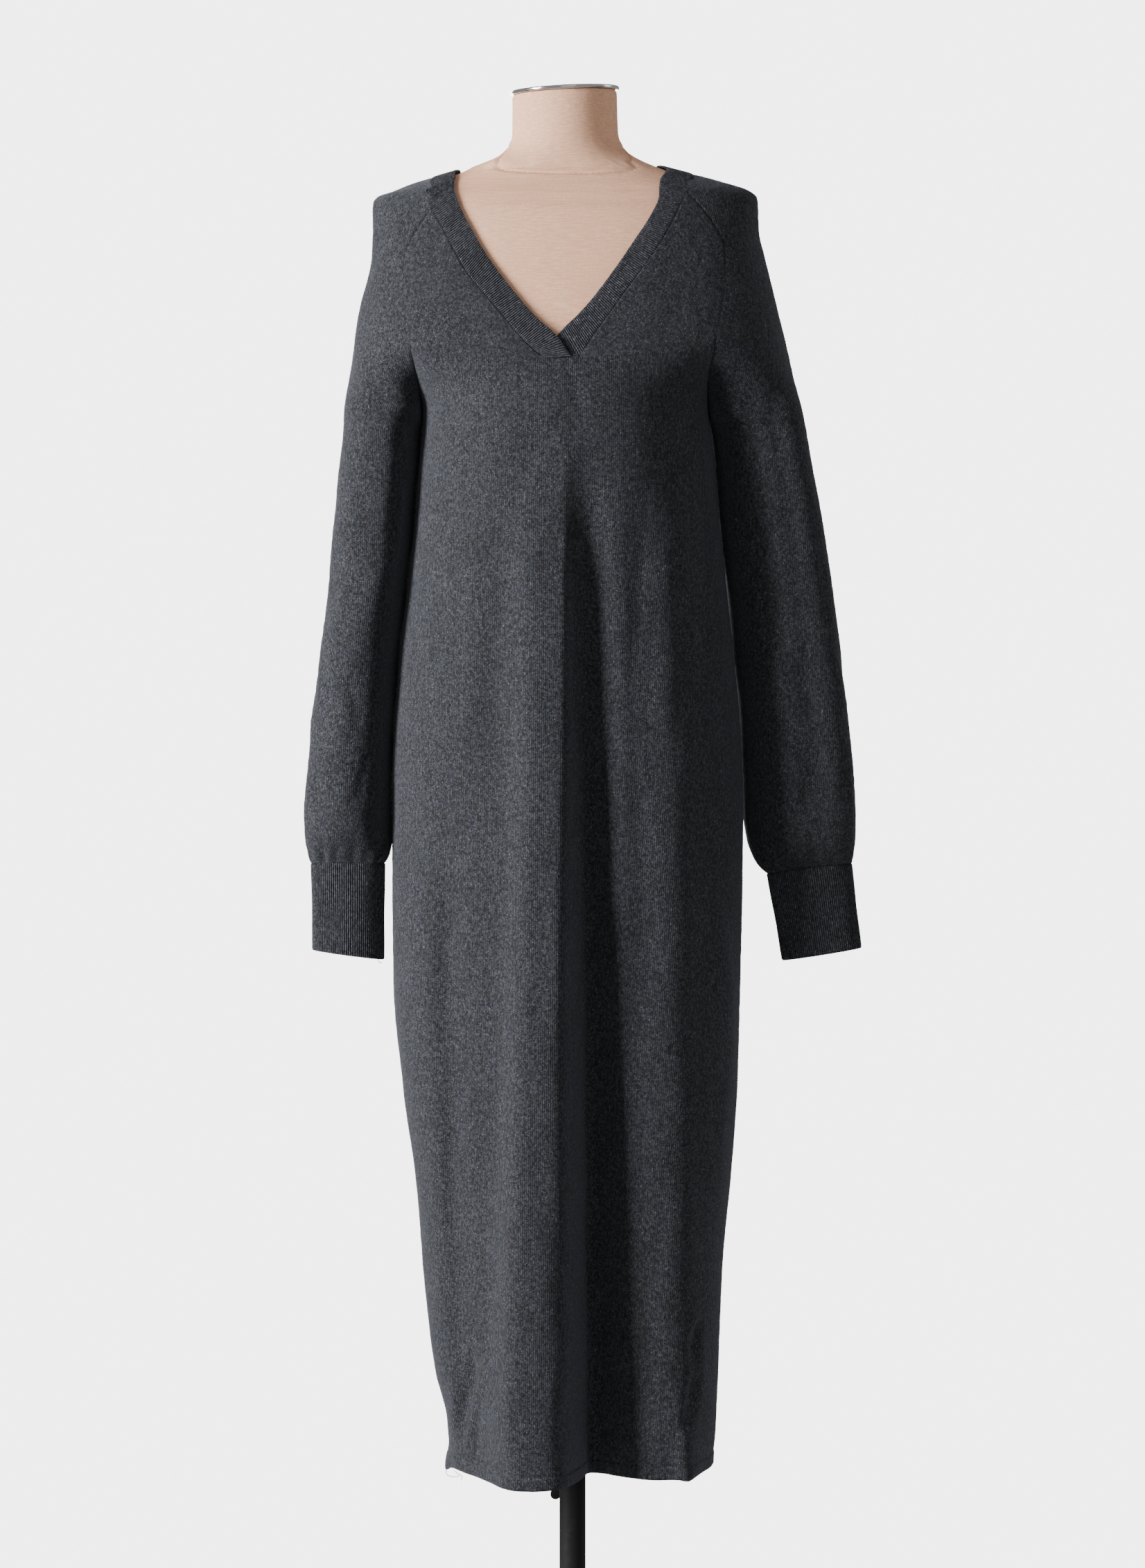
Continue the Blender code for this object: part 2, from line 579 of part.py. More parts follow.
def hem_layers(points, normals, rows_in_hem):
    """Outer and inner points of a panel whose lowest rows are a turned-up hem."""
    raised = np.zeros(points.shape[:2] + (1,))
    thick = np.full(points.shape[:2] + (1,), WALL)
    raised[:rows_in_hem] = HEM_RAISE
    thick[:rows_in_hem] = HEM_WALL
    outer = points + normals * raised
    return outer, outer - normals * thick


def sleeve_rows(side_name):
    """Heights and seam ends of a sleeve's rows, and where its top row meets the band."""
    sleeve, out = SLEEVES[side_name], OUTWARD[side_name]
    low = np.array(SLEEVE_LEVELS) * MM
    peak = SHOULDER_PLACES[side_name]
    share = np.linspace(0.0, 1.0, len(CROWN_LEVELS) + 2)[1:] * CROWN_SPAN
    inner = follow(sleeve, "z", "inner", low)
    found = {"peak": np.concatenate((low, np.array(SHOULDER_LEVELS[1:]) * MM,
                                     np.array(CROWN_LEVELS) * MM,
                                     [neck_seam(peak, SEAM_GAP / 2)[2]]))}
    for side in (-1, 1):
        end = NECK_ENDS[side_name, side]
        edge = neck_seam(end + (peak - end) * share, SEAM_GAP / 2)
        raglan = seam_heights(side_name, side)[1:]
        seam = seam_x(side_name, side, raglan) + out * SEAM_GAP / 2
        found["z", side] = np.concatenate((low, raglan, edge[:, 2]))
        found["x", side] = np.concatenate((inner, seam, edge[:, 0]))
        found["y", side] = np.concatenate((inner * 0.0, yoke_y(seam, raglan, side), edge[:, 1]))
        found["place", side] = end + (peak - end) * CROWN_SPAN
    return found


def sleeve_surface(side_name):
    """Surface of a sleeve as a function of place round it and row.

    The place runs from -1 (front seam) over 0 (outer edge) to 1 (back seam). Below the
    underarm both ends are the one seam on the inner side.
    """
    sleeve, folds, out = SLEEVES[side_name], SLEEVE_FOLDS[side_name], OUTWARD[side_name]
    found = sleeve_rows(side_name)
    low = found["peak"][0]
    rows = np.arange(len(found["peak"]), dtype=float)
    last = rows[-1]
    cuff = CUFF_ENDS[side_name]
    slope = (cuff["top"][0] - cuff["top"][1]) / (cuff["outer"][1] - cuff["inner"][1])

    def pick(name, place, row):
        return np.where(place < 0, np.interp(row, rows, found[name, -1]),
                        np.interp(row, rows, found[name, 1]))

    def turn_of(x, y, z):
        """Angle round the yoke's oval from its outer edge, positive to the back."""
        left, right = follow(YOKE, "z", "left", z), follow(YOKE, "z", "right", z)
        depth = np.where(y < 0, follow(YOKE, "z", "front", z), follow(YOKE, "z", "back", z))
        across = out * (x - (left + right) / 2) / ((right - left) / 2)
        return np.arctan2(y / depth, across)

    def surface(place, row):
        """Points at a place round the sleeve and a row, both arrays."""
        share = np.abs(place)
        below = np.minimum(row, last - 1.0)
        top = np.clip(row - (last - 1.0), 0.0, 1.0)
        z_end = pick("z", place, below)
        z_out = np.interp(below, rows, found["peak"])
        z = z_out + (z_end - z_out) * np.sin(share * np.pi / 2) ** 2
        x_end, y_end = pick("x", place, below), pick("y", place, below)
        turn = turn_of(x_end, y_end, z_end) * share
        middle = (found["place", -1] + found["place", 1]) / 2
        reach = (found["place", 1] - found["place", -1]) / 2
        edge = neck_seam(middle + reach * place, SEAM_GAP / 2)
        z = z + (edge[..., 2] - z) * top
        turn = turn + (turn_of(edge[..., 0], edge[..., 1], edge[..., 2]) - turn) * top
        left, right = follow(YOKE, "z", "left", z), follow(YOKE, "z", "right", z)
        aim_x = (left + right) / 2 + out * np.cos(turn) * (right - left) / 2
        depth = np.where(turn < 0, follow(YOKE, "z", "front", z),
                         follow(YOKE, "z", "back", z))
        whole = on_yoke(aim_x, np.sin(turn) * depth, z)
        mix = joined(z)
        x_out = np.where(z > UNDERARM, follow(YOKE, "z", side_name, z),
                         follow(sleeve, "z", "outer", z))
        half = np.where(place < 0, follow(sleeve, "z", "front", z),
                        follow(sleeve, "z", "back", z))
        tube_x = x_out + (x_end - x_out) * (1.0 - np.cos(np.pi * share)) / 2
        tube_y = np.sign(place) * half * np.sin(np.pi * share)
        x = (1 - mix) * tube_x + mix * whole[..., 0]
        y = (1 - mix) * tube_y + mix * whole[..., 1]
        push = sleeve_relief(folds, place, z, low)
        centre = (x_out + x_end) / 2
        length = np.maximum(np.hypot(x - centre, y), 1e-6)
        x, y = x + (x - centre) / length * push, y + y / length * push
        near = 1.0 - smooth((z - low) / (40 * MM))
        tilt = slope * (x - cuff["outer"][1]) * out
        return np.stack((x, y, z + (tilt + SEAM_GAP) * near), axis=-1)

    return surface, rows


def sleeve_relief(folds, place, z, low):
    """How far folds and gathers push a sleeve out at a place round it and a height."""
    push = np.zeros_like(z)
    for row in range(len(folds["low"])):
        near = np.exp(-((place - folds["place"][row]) / folds["width"][row]) ** 2)
        height = smooth((folds["high"][row] - z) / (90 * MM))
        height = height * smooth((z - folds["low"][row]) / (70 * MM))
        push = push + folds["depth"][row] * near * height
    pucker = np.clip((GATHER_TOP - z) / (GATHER_TOP - low), 0.0, 1.0)
    start = smooth((z - low) / (8 * MM) + 0.2)
    wave = np.cos(np.pi * GATHERS * (place + 1.0)) - 0.3
    return push + GATHER_DEPTH * wave * pucker * start


def cuff_surface(side_name):
    """Surface of a cuff as a function of place round it, from -1 to 1, and row."""
    cuff, out = CUFF_ENDS[side_name], OUTWARD[side_name]

    def surface(place, row):
        """Points at a place round the cuff and a row, 0 at the bottom and 1 at the top."""
        outer = cuff["outer"][0] + (cuff["outer"][1] - cuff["outer"][0]) * row
        inner = cuff["inner"][0] + (cuff["inner"][1] - cuff["inner"][0]) * row
        swell = 1.0 + 0.03 * np.cos(np.pi * row)
        across = (1.0 - np.cos(np.pi * np.abs(place))) / 2
        x = outer + (inner - outer) * across
        y = cuff["depth"] * swell * np.sin(np.pi * place)
        low = cuff["low"][0] + (cuff["low"][1] - cuff["low"][0]) * across
        top = cuff["top"][0] + (cuff["top"][1] - cuff["top"][0]) * across
        return np.stack((x, y, low + (top - low) * row), axis=-1)

    return surface, out


# ---------------------------------------------------------------- meshes

def material(name, colour, roughness, metallic=0.0):
    """Principled material of one colour."""
    made = bpy.data.materials.get(name)
    if made:
        return made
    made = bpy.data.materials.new(name)
    made.use_nodes = True
    shader = made.node_tree.nodes["Principled BSDF"]
    shader.inputs["Base Color"].default_value = (*colour, 1.0)
    shader.inputs["Roughness"].default_value = roughness
    shader.inputs["Metallic"].default_value = metallic
    made.diffuse_color = (*colour, 1.0)
    return made


def add_object(name, mesh, look, sharp_degrees=40):
    """Object of a mesh in the model's collection, smooth where it is round."""
    mesh.shade_smooth()
    mesh.set_sharp_from_angle(angle=math.radians(sharp_degrees))
    mesh.materials.append(look)
    made = bpy.data.objects.new(name, mesh)
    bpy.data.collections[COLLECTION].objects.link(made)
    return made


def wall(name, patches, look):
    """Closed wall of cloth from patches of outer and inner points that share edges."""
    numbers, outer, inner, faces = {}, [], [], []
    for outside, inside in patches:
        index = np.empty(outside.shape[:2], dtype=int)
        for spot in np.ndindex(*index.shape):
            key = tuple(np.round(outside[spot], 5))
            if key not in numbers:
                numbers[key] = len(outer)
                outer.append(tuple(outside[spot]))
                inner.append(tuple(inside[spot]))
            index[spot] = numbers[key]
        for r in range(index.shape[0] - 1):
            for c in range(index.shape[1] - 1):
                faces.append((index[r, c], index[r, c + 1],
                              index[r + 1, c + 1], index[r + 1, c]))
    count = len(outer)
    sides = {(face[k], face[(k + 1) % 4]) for face in faces for k in range(4)}
    rim = [(b, a, a + count, b + count) for a, b in sides if (b, a) not in sides]
    back = [(a + count, d + count, c + count, b + count) for a, b, c, d in faces]
    mesh = bpy.data.meshes.new(name)
    mesh.from_pydata(outer + inner, [], faces + back + rim)
    return add_object(name, mesh, look)


def ribbed_wall(name, points, normals, look, closed):
    """Closed wall with ribs on its outer side and a plain inside.

    The grid's columns are the places where the inside has points. Between two columns
    the outside has as many points as its ribs need. Every second one is raised.
    """
    columns = points.shape[1]
    spans = columns if closed else columns - 1
    verts, faces, chains, plain = [], [], [], []
    for r in range(points.shape[0]):
        plain.append([len(verts) + c for c in range(columns)])
        verts.extend(points[r] - normals[r] * RIB_WALL)
    length = np.linalg.norm(np.diff(points, axis=1, append=points[:, :1]), axis=-1)
    length = length.mean(axis=0)
    reach = np.concatenate(([0.0], np.cumsum(length[:spans])))
    ribs = np.diff(np.round(reach / RIB_PITCH).astype(int))
    stations = []
    for c in range(spans):
        steps = max(1, 2 * ribs[c])
        stations += [(c, k / steps, k % 2) for k in range(steps)]
    if not closed:
        stations.append((columns - 1, 0.0, 0))
    for r in range(points.shape[0]):
        chains.append([len(verts) + k for k in range(len(stations))])
        for c, part, up in stations:
            following = (c + 1) % columns
            place = points[r, c] * (1 - part) + points[r, following] * part
            facing = normals[r, c] * (1 - part) + normals[r, following] * part
            verts.append(place + facing * RIB_HEIGHT * (up - 0.5))
    total = len(stations)
    for low, high in zip(chains[:-1], chains[1:]):
        for k in range(total if closed else total - 1):
            after = (k + 1) % total
            faces.append((low[k], low[after], high[after], high[k]))
    for low, high in zip(plain[:-1], plain[1:]):
        for c in range(spans):
            after = (c + 1) % columns
            faces.append((high[c], high[after], low[after], low[c]))
    starts = [k for k in range(total) if stations[k][1] == 0.0]
    for chain, inside, flip in ((chains[0], plain[0], False), (chains[-1], plain[-1], True)):
        rim = []
        for c in range(spans):
            after = (c + 1) % columns
            count = 2 * ribs[c]
            feet = [chain[(starts[c] + k) % total] for k in range(0, count + 1, 2)]
            tips = [chain[(starts[c] + k) % total] for k in range(1, count, 2)]
            if not count:
                feet.append(chain[(starts[c] + 1) % total])
            middle = len(feet) // 2
            rim += [(b, tip, a) for a, tip, b in zip(feet[:-1], tips, feet[1:])]
            for k, (a, b) in enumerate(zip(feet[:-1], feet[1:])):
                rim.append((b, a, inside[c] if k < middle else inside[after]))
            rim.append((inside[c], inside[after], feet[middle]))
        faces += [face[::-1] for face in rim] if flip else rim
    if not closed:
        for r in range(points.shape[0] - 1):
            faces.append((plain[r][0], chains[r][0], chains[r + 1][0], plain[r + 1][0]))
            faces.append((chains[r][-1], plain[r][-1], plain[r + 1][-1], chains[r + 1][-1]))
    mesh = bpy.data.meshes.new(name)
    mesh.from_pydata([tuple(vert) for vert in verts], [], faces)
    return add_object(name, mesh, look, sharp_degrees=60)


def closed_loft(name, rings, look):
    """Closed body through rings of points, flat at both ends."""
    count = rings.shape[1]
    verts = [tuple(point) for ring in rings for point in ring]
    faces = []
    for r in range(rings.shape[0] - 1):
        for c in range(count):
            after = (c + 1) % count
            faces.append((r * count + c, r * count + after,
                          (r + 1) * count + after, (r + 1) * count + c))
    top = (rings.shape[0] - 1) * count
    faces.append(tuple(reversed(range(count))))
    faces.append(tuple(range(top, top + count)))
    mesh = bpy.data.meshes.new(name)
    mesh.from_pydata(verts, [], faces)
    return add_object(name, mesh, look)


def turned(name, profile, look, steps=24, place=Matrix.Identity(4)):
    """Turned piece: a profile of radius and height, run down its outer side."""
    mesh = bpy.data.meshes.new(name)
    ring = profile[0] == profile[-1]
    points = profile[:-1] if ring else profile
    edges = [(k, k + 1) for k in range(len(points) - 1)]
    if ring:
        edges.append((len(points) - 1, 0))
    mesh.from_pydata([(r, 0.0, z) for r, z in points], edges, [])
    made = bpy.data.objects.new(name, mesh)
    bpy.data.collections[COLLECTION].objects.link(made)
    screw = made.modifiers.new("turn", "SCREW")
    screw.steps = steps
    screw.render_steps = steps
    screw.use_merge_vertices = True
    screw.merge_threshold = 0.00005
    screw.use_smooth_shade = True
    mesh.materials.append(look)
    made.matrix_world = place
    return made


# ---------------------------------------------------------------- dress

def front_panel(look):
    """Front: two halves that meet below the V and follow the neckband above it."""
    patches = []
    for side_name in ("left", "right"):
        places = np.array(FRONT_STOPS[side_name])
        patches.append(panel_patch(FRONT_FOLDS, side_name, -1, BODY_LEVELS, places,
                                   HALF_FRONT))
    return wall("front", patches, look)


def back_panel(look):
    """Back: two halves that meet in the middle."""
    patches = []
    for side_name in ("right", "left"):
        places = np.array((NECK_ENDS[side_name, 1], BACK_MIDDLE))
        patches.append(panel_patch(BACK_FOLDS, side_name, 1, BACK_LEVELS, places,
                                   HALF_BACK))
    return wall("back", patches, look)


def sleeve(side_name, look):
    """Raglan sleeve: a tube up to the underarm and a cap over the shoulder above it."""
    surface, rows = sleeve_surface(side_name)
    out = OUTWARD[side_name]
    places = np.linspace(-1.0, 1.0, SLEEVE_CELLS + 1) * out
    points, normals = grid_of(surface, places, rows)
    normals[0] = level(normals[0])
    for column, place in ((0, places[0]), (-1, places[-1])):
        normals[:, column] = rim_normal(points[:, column], math.copysign(1, place), -out)
    top = points[-1]
    normals[-1] = np.where(top[:, 1:2] < 0, yoke_normal(top[:, 0], top[:, 2], -1),
                           yoke_normal(top[:, 0], top[:, 2], 1))
    return wall("sleeve_" + side_name, [(points, points - normals * WALL)], look)


def cuff(side_name, look):
    """Ribbed cuff."""
    surface, out = cuff_surface(side_name)
    places = np.linspace(-1.0, 1.0, CUFF_CELLS + 1)[:-1] * out
    points, normals = grid_of(surface, places, np.array(CUFF_ROWS), wrap=2.0)
    return ribbed_wall("cuff_" + side_name, points, level(normals), look, closed=True)


def neckband_stops():
    """Places along the neckband's table of every point that the panels have there."""
    stops = [np.array([0.0]), np.array(FRONT_STOPS["right"])]
    crown = np.linspace(0.0, 1.0, len(CROWN_LEVELS) + 2) * CROWN_SPAN
    for side_name, first, second in (("right", -1, 1), ("left", 1, -1)):
        peak = SHOULDER_PLACES[side_name]
        one, two = NECK_ENDS[side_name, first], NECK_ENDS[side_name, second]
        start, end = one + (peak - one) * CROWN_SPAN, two + (peak - two) * CROWN_SPAN
        stops.append(one + (peak - one) * crown[:-1])
        stops.append(np.linspace(start, end, SLEEVE_CELLS + 1))
        stops.append((two + (peak - two) * crown[:-1])[::-1])
        if side_name == "right":
            share = 1.0 - spread(1.0 - np.linspace(0.0, 1.0, HALF_BACK + 1))
            for low in (NECK_ENDS["right", 1], NECK_ENDS["left", 1]):
                stops.append(low + (BACK_MIDDLE - low) * share)
    stops.append(np.array(FRONT_STOPS["left"]))
    return np.unique(np.round(np.concatenate(stops), 4))


def neckband(look):
    """Ribbed neckband, whose left end laps over its right end at the V."""
    stops = neckband_stops()
    points = np.array((neck_seam(stops, -SEAM_GAP / 2), neck_point("inner", stops)))
    x, y, z = np.moveaxis(points, -1, 0)
    normals = np.where(y[..., None] < 0, yoke_normal(x, z, -1), yoke_normal(x, z, 1))
    lift = BAND_LAP * smooth((stops - LAP_ROWS[0]) / (LAP_ROWS[1] - LAP_ROWS[0]))
    points += normals * lift[:, None]
    return ribbed_wall("neckband", points, normals, look, closed=False)


# ---------------------------------------------------------------- dress form and stand

def oval_ring(left, right, front, back, power, turns):
    """Points x, y of an oval at angles that start on the right and pass the back."""
    cos, sin = np.cos(turns), np.sin(turns)
    x = (left + right) / 2 + (right - left) / 2 * np.sign(cos) * np.abs(cos) ** (2 / power)
    depth = np.where(sin < 0, front, back)
    return x, depth * np.sign(sin) * np.abs(sin) ** (2 / power)


def table_ring(rows, z, turns):
    """Level ring of a table's sections at height z."""
    names = ("left", "right", "front", "back", "power")
    x, y = oval_ring(*(float(follow(rows, "z", name, z)) for name in names), turns)
    return np.stack((x, y, np.full_like(x, z)), axis=-1)


def shoulder_ring(z, turns):
    """Ring of the yoke at height z, moved in to just under the cloth."""
    tiny = 0.05 * MM
    here = table_ring(YOKE, z, turns)
    along = table_ring(YOKE, z, turns + 1e-3) - table_ring(YOKE, z, turns - 1e-3)
    up = table_ring(YOKE, z + tiny, turns) - table_ring(YOKE, z - tiny, turns)
    normal = np.cross(along, up)
    normal /= np.linalg.norm(normal, axis=-1, keepdims=True)
    return here - normal * (WALL + CLOTH_REST)


def neck_top(x, y):
    """Height of the tilted plane on which the neck cap lies."""
    return NECK_CENTRE[2] + NECK_TILT[0] * (x - NECK_CENTRE[0]) + NECK_TILT[1] * y


def torso(look):
    """Limbless torso with square shoulders and a neck."""
    turns = np.arange(TORSO_SIDES) * 2 * np.pi / TORSO_SIDES
    rings = [table_ring(FORM, z, turns) for z in FORM["z"]]
    rings += [shoulder_ring(z * MM, turns) for z in FORM_SHOULDERS]
    rings += [table_ring(NECK, z, turns) for z in NECK["z"]]
    rings[-1][:, 2] = neck_top(rings[-1][:, 0], rings[-1][:, 1]) - FIT_GAP
    return closed_loft("torso", np.array(rings), look)


def bottom_board(look):
    """Flat board that closes the torso from below."""
    turns = np.arange(TORSO_SIDES) * 2 * np.pi / TORSO_SIDES
    ring = table_ring(FORM, TORSO_LOW, turns)
    ring[:, :2] *= BOARD_SHARE
    high, low = ring.copy(), ring.copy()
    high[:, 2] -= FIT_GAP
    low[:, 2] -= FIT_GAP + BOARD_THICK
    return closed_loft("bottom_board", np.array((low, high)), look)


def neck_cap(look):
    """Round metal cap, tilted with the neck's top."""
    r, t, edge = CAP_R, CAP_THICK, 1.2 * MM
    profile = [(0.0, t), (r - edge, t), (r - edge * 0.3, t - edge * 0.3), (r, t - edge),
               (r, edge), (r - edge * 0.3, edge * 0.3), (r - edge, 0.0), (0.0, 0.0)]
    up = Vector((-NECK_TILT[0], -NECK_TILT[1], 1.0)).normalized()
    turn = Vector((0.0, 0.0, 1.0)).rotation_difference(up).to_matrix().to_4x4()
    place = Matrix.Translation((NECK_CENTRE[0], NECK_CENTRE[1],
                                neck_top(NECK_CENTRE[0], NECK_CENTRE[1])))
    return turned("neck_cap", profile, look, steps=32, place=place @ turn)


def tubes(black, chrome):
    """Outer tube, inner tube and the socket under the torso that turns on it."""
    top, low = OUTER_TUBE_TOP, BASE_THICK + FIT_GAP
    ring = [(OUTER_TUBE_R, top), (OUTER_TUBE_R, low), (TUBE_BORE_R, low),
            (TUBE_BORE_R, top), (OUTER_TUBE_R, top)]
    turned("outer_tube", ring, black)
    board_low = TORSO_LOW - FIT_GAP - BOARD_THICK
    plate = board_low - FIT_GAP
    bore_top = plate - SOCKET_PLATE - 0.5 * MM
    inner_top = bore_top - FIT_GAP
    turned("inner_tube", [(0.0, inner_top), (INNER_TUBE_R, inner_top),
                          (INNER_TUBE_R, INNER_TUBE_LOW), (0.0, INNER_TUBE_LOW)], chrome)
    mouth = plate - SOCKET_LENGTH
    turned("mast_socket", [(0.0, plate), (SOCKET_PLATE_R, plate),
                           (SOCKET_PLATE_R, plate - SOCKET_PLATE),
                           (SOCKET_R, plate - SOCKET_PLATE), (SOCKET_R, mouth),
                           (TUBE_BORE_R, mouth), (TUBE_BORE_R, bore_top),
                           (0.0, bore_top)], black)


def base(black):
    """Round plate on the floor, and the socket that holds the pole."""
    r, t = BASE_R, BASE_THICK
    turned("base_plate", [(0.0, t), (r - 8 * MM, t), (r - 3 * MM, t - 1.2 * MM),
                          (r - 0.6 * MM, t - 4 * MM), (r, t - 7 * MM), (r, 0.0),
                          (0.0, 0.0)], black, steps=36)
    bore, low = OUTER_TUBE_R + FIT_GAP, BASE_THICK + FIT_GAP
    turned("pole_socket", [(17 * MM, low + 42 * MM), (18 * MM, low + 40 * MM),
                           (18 * MM, low + 8 * MM), (34 * MM, low + 5 * MM),
                           (36 * MM, low + 3 * MM), (36 * MM, low), (bore, low),
                           (bore, low + 42 * MM), (17 * MM, low + 42 * MM)], black)


def clamp(black, steel):
    """Boss behind the pole's top, the screw in it and the lever on the screw."""
    back = Matrix.Rotation(-math.pi / 2, 4, "X")
    place = Matrix.Translation((0.0, 0.0, CLAMP_Z)) @ back
    near = OUTER_TUBE_R + FIT_GAP
    ring = [(7 * MM, near + 11 * MM), (7 * MM, near), (3.4 * MM, near),
            (3.4 * MM, near + 11 * MM), (7 * MM, near + 11 * MM)]
    turned("clamp_boss", ring, black, place=place)
    tip, head = near + 0.5 * MM, near + 11.3 * MM
    turned("clamp_screw", [(0.0, head + 5 * MM), (5.5 * MM, head + 5 * MM),
                           (5.5 * MM, head), (3.0 * MM, head), (3.0 * MM, tip),
                           (0.0, tip)], steel, place=place)
    lever(black, head + 5 * MM + FIT_GAP)


def lever(black, y_near):
    """Flat tapered lever, round at both ends, that hangs down from the screw."""
    run = Vector((LEVER_TIP[0], LEVER_TIP[1] - CLAMP_Z))
    angle = math.atan2(run.y, run.x)
    hub_r, tip_r = 7 * MM, 4.3 * MM
    outline = []
    for centre, radius, start in ((Vector((0.0, 0.0)), hub_r, angle + math.pi / 2),
                                  (run, tip_r, angle - math.pi / 2)):
        for k in range(9):
            turn = start + math.pi * k / 8
            outline.append(centre + radius * Vector((math.cos(turn), math.sin(turn))))
    curve = bpy.data.curves.new("clamp_lever", "CURVE")
    curve.dimensions = "2D"
    curve.fill_mode = "BOTH"
    curve.extrude = LEVER_THICK / 2
    spline = curve.splines.new("POLY")
    spline.points.add(len(outline) - 1)
    for point, spot in zip(spline.points, outline):
        point.co = (spot.x, spot.y, 0.0, 1.0)
    spline.use_cyclic_u = True
    curve.materials.append(black)
    made = bpy.data.objects.new("clamp_lever", curve)
    bpy.data.collections[COLLECTION].objects.link(made)
    made.matrix_world = (Matrix.Translation((0.0, y_near + LEVER_THICK / 2, CLAMP_Z))
                         @ Matrix.Rotation(math.pi / 2, 4, "X"))


def main():
    """Build the whole model."""
    for old in list(bpy.data.objects):
        bpy.data.objects.remove(old, do_unlink=True)
    bpy.context.scene.collection.children.link(bpy.data.collections.new(COLLECTION))
    knit = material("charcoal_knit", (0.055, 0.057, 0.065), 0.95)
    linen = material("pale_linen", (0.68, 0.50, 0.42), 0.9)
    chrome = material("chrome", (0.75, 0.75, 0.76), 0.15, metallic=1.0)
    black = material("black_coat", (0.015, 0.015, 0.016), 0.4)
    board = material("grey_board", (0.35, 0.33, 0.30), 0.8)
    front_panel(knit)
    back_panel(knit)
    for side_name in ("left", "right"):
        sleeve(side_name, knit)
        cuff(side_name, knit)
    neckband(knit)
    torso(linen)
    bottom_board(board)
    neck_cap(chrome)
    tubes(black, chrome)
    base(black)
    clamp(black, chrome)


main()
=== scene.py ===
"""Sweater dress on a dress form: cloth, sewing, form, stand and studio.

The file is laid out as a Blender add-on and is run as a script. Lengths are in metres with
+Z up, and the front of the dress faces -Y. The cloth follows the same named sections as
the solids that it stands for, at a finer step, with its small creases, ribs and stitches.
"""

import math

import bpy
import numpy as np
from mathutils import Matrix, Vector


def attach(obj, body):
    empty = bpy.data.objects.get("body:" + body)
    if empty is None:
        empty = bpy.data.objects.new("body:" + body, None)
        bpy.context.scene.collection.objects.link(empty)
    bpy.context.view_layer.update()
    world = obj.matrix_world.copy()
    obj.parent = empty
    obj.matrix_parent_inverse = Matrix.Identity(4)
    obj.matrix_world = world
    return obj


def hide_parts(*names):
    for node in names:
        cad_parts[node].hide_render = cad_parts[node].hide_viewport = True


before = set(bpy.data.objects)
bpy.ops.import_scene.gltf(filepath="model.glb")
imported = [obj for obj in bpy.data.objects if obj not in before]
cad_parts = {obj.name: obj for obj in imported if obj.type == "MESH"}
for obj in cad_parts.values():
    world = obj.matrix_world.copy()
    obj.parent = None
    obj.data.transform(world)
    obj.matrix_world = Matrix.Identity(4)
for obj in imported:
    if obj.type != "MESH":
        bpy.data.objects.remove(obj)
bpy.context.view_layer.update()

bl_info = {
    "name": "Sweater dress on a dress form",
    "version": (1, 0, 0),
    "blender": (4, 5, 0),
    "location": "3D View > Sidebar > Dress",
    "description": "Builds a V-neck sweater dress, its dress form and stand, and the studio",
    "category": "Object",
}

MM = 0.001
TINY = 0.05 * MM                # step over which a slope is measured

# Cloth.
WALL = 1.7 * MM
SEAM_GAP = 0.1 * MM
UNDERARM = 1350 * MM
CREASE_TOP = 1412 * MM          # the crease between body and sleeve is gone above this
HEM = 350 * MM
FRONT_CELLS = 66                # cells across half the front
BACK_CELLS = 52
SLEEVE_CELLS = 112
PANEL_STEP = 6.2 * MM           # height of a row of cells
BACK_STEP = 7.4 * MM
SLEEVE_STEP = 5.6 * MM
YOKE_STEPS = 5                  # rows of cells for each named share of a raglan seam
ROLL = 0.62 * MM                # how far a sewn edge turns in
SEWN_REACH = 3.4 * MM           # how far from a seam the cloth's wall leans to it
CALM_REACH = 16 * MM            # creases and unevenness fade this near an edge
HEM_TOP = 11.4 * MM             # the turned-up hem is double up to here
SIDE_STITCH, RAGLAN_STITCH, HEM_STITCH = 2.6 * MM, 2.3 * MM, 4.6 * MM
RIB_PITCH = 2.05 * MM
RIB_HEIGHT = 0.9 * MM
RIB_CELLS = 8                   # cells across one rib
RIB_WALL = 1.5 * MM
CUFF_REACH, CUFF_STEP = 86 * MM, 3.6 * MM       # a cuff's height and its rows of cells
BAND_REACH, BAND_STEP = 24 * MM, 3.0 * MM       # the same across the neckband
SLEEVE_LOW = 925 * MM           # the sleeves' lower ends, where the cuffs begin
FINE = 700                      # fine steps across half a panel, before they are made even
EDGE_MARKS = np.array((0.0, 0.45, 1.0, 1.7, 2.7, 4.2, 6.4)) * MM
HEM_MARKS = np.array((0.0, 0.35, 0.9, 1.7, 3.2, 5.6, 8.2, 10.2, 11.2, 11.8, 12.3, 13.0, 14.4,
                      17.0, 21.0)) * MM
WRIST_MARKS = np.array((0.0, 0.6, 1.5, 3.0, 5.2, 8.0, 12.0)) * MM

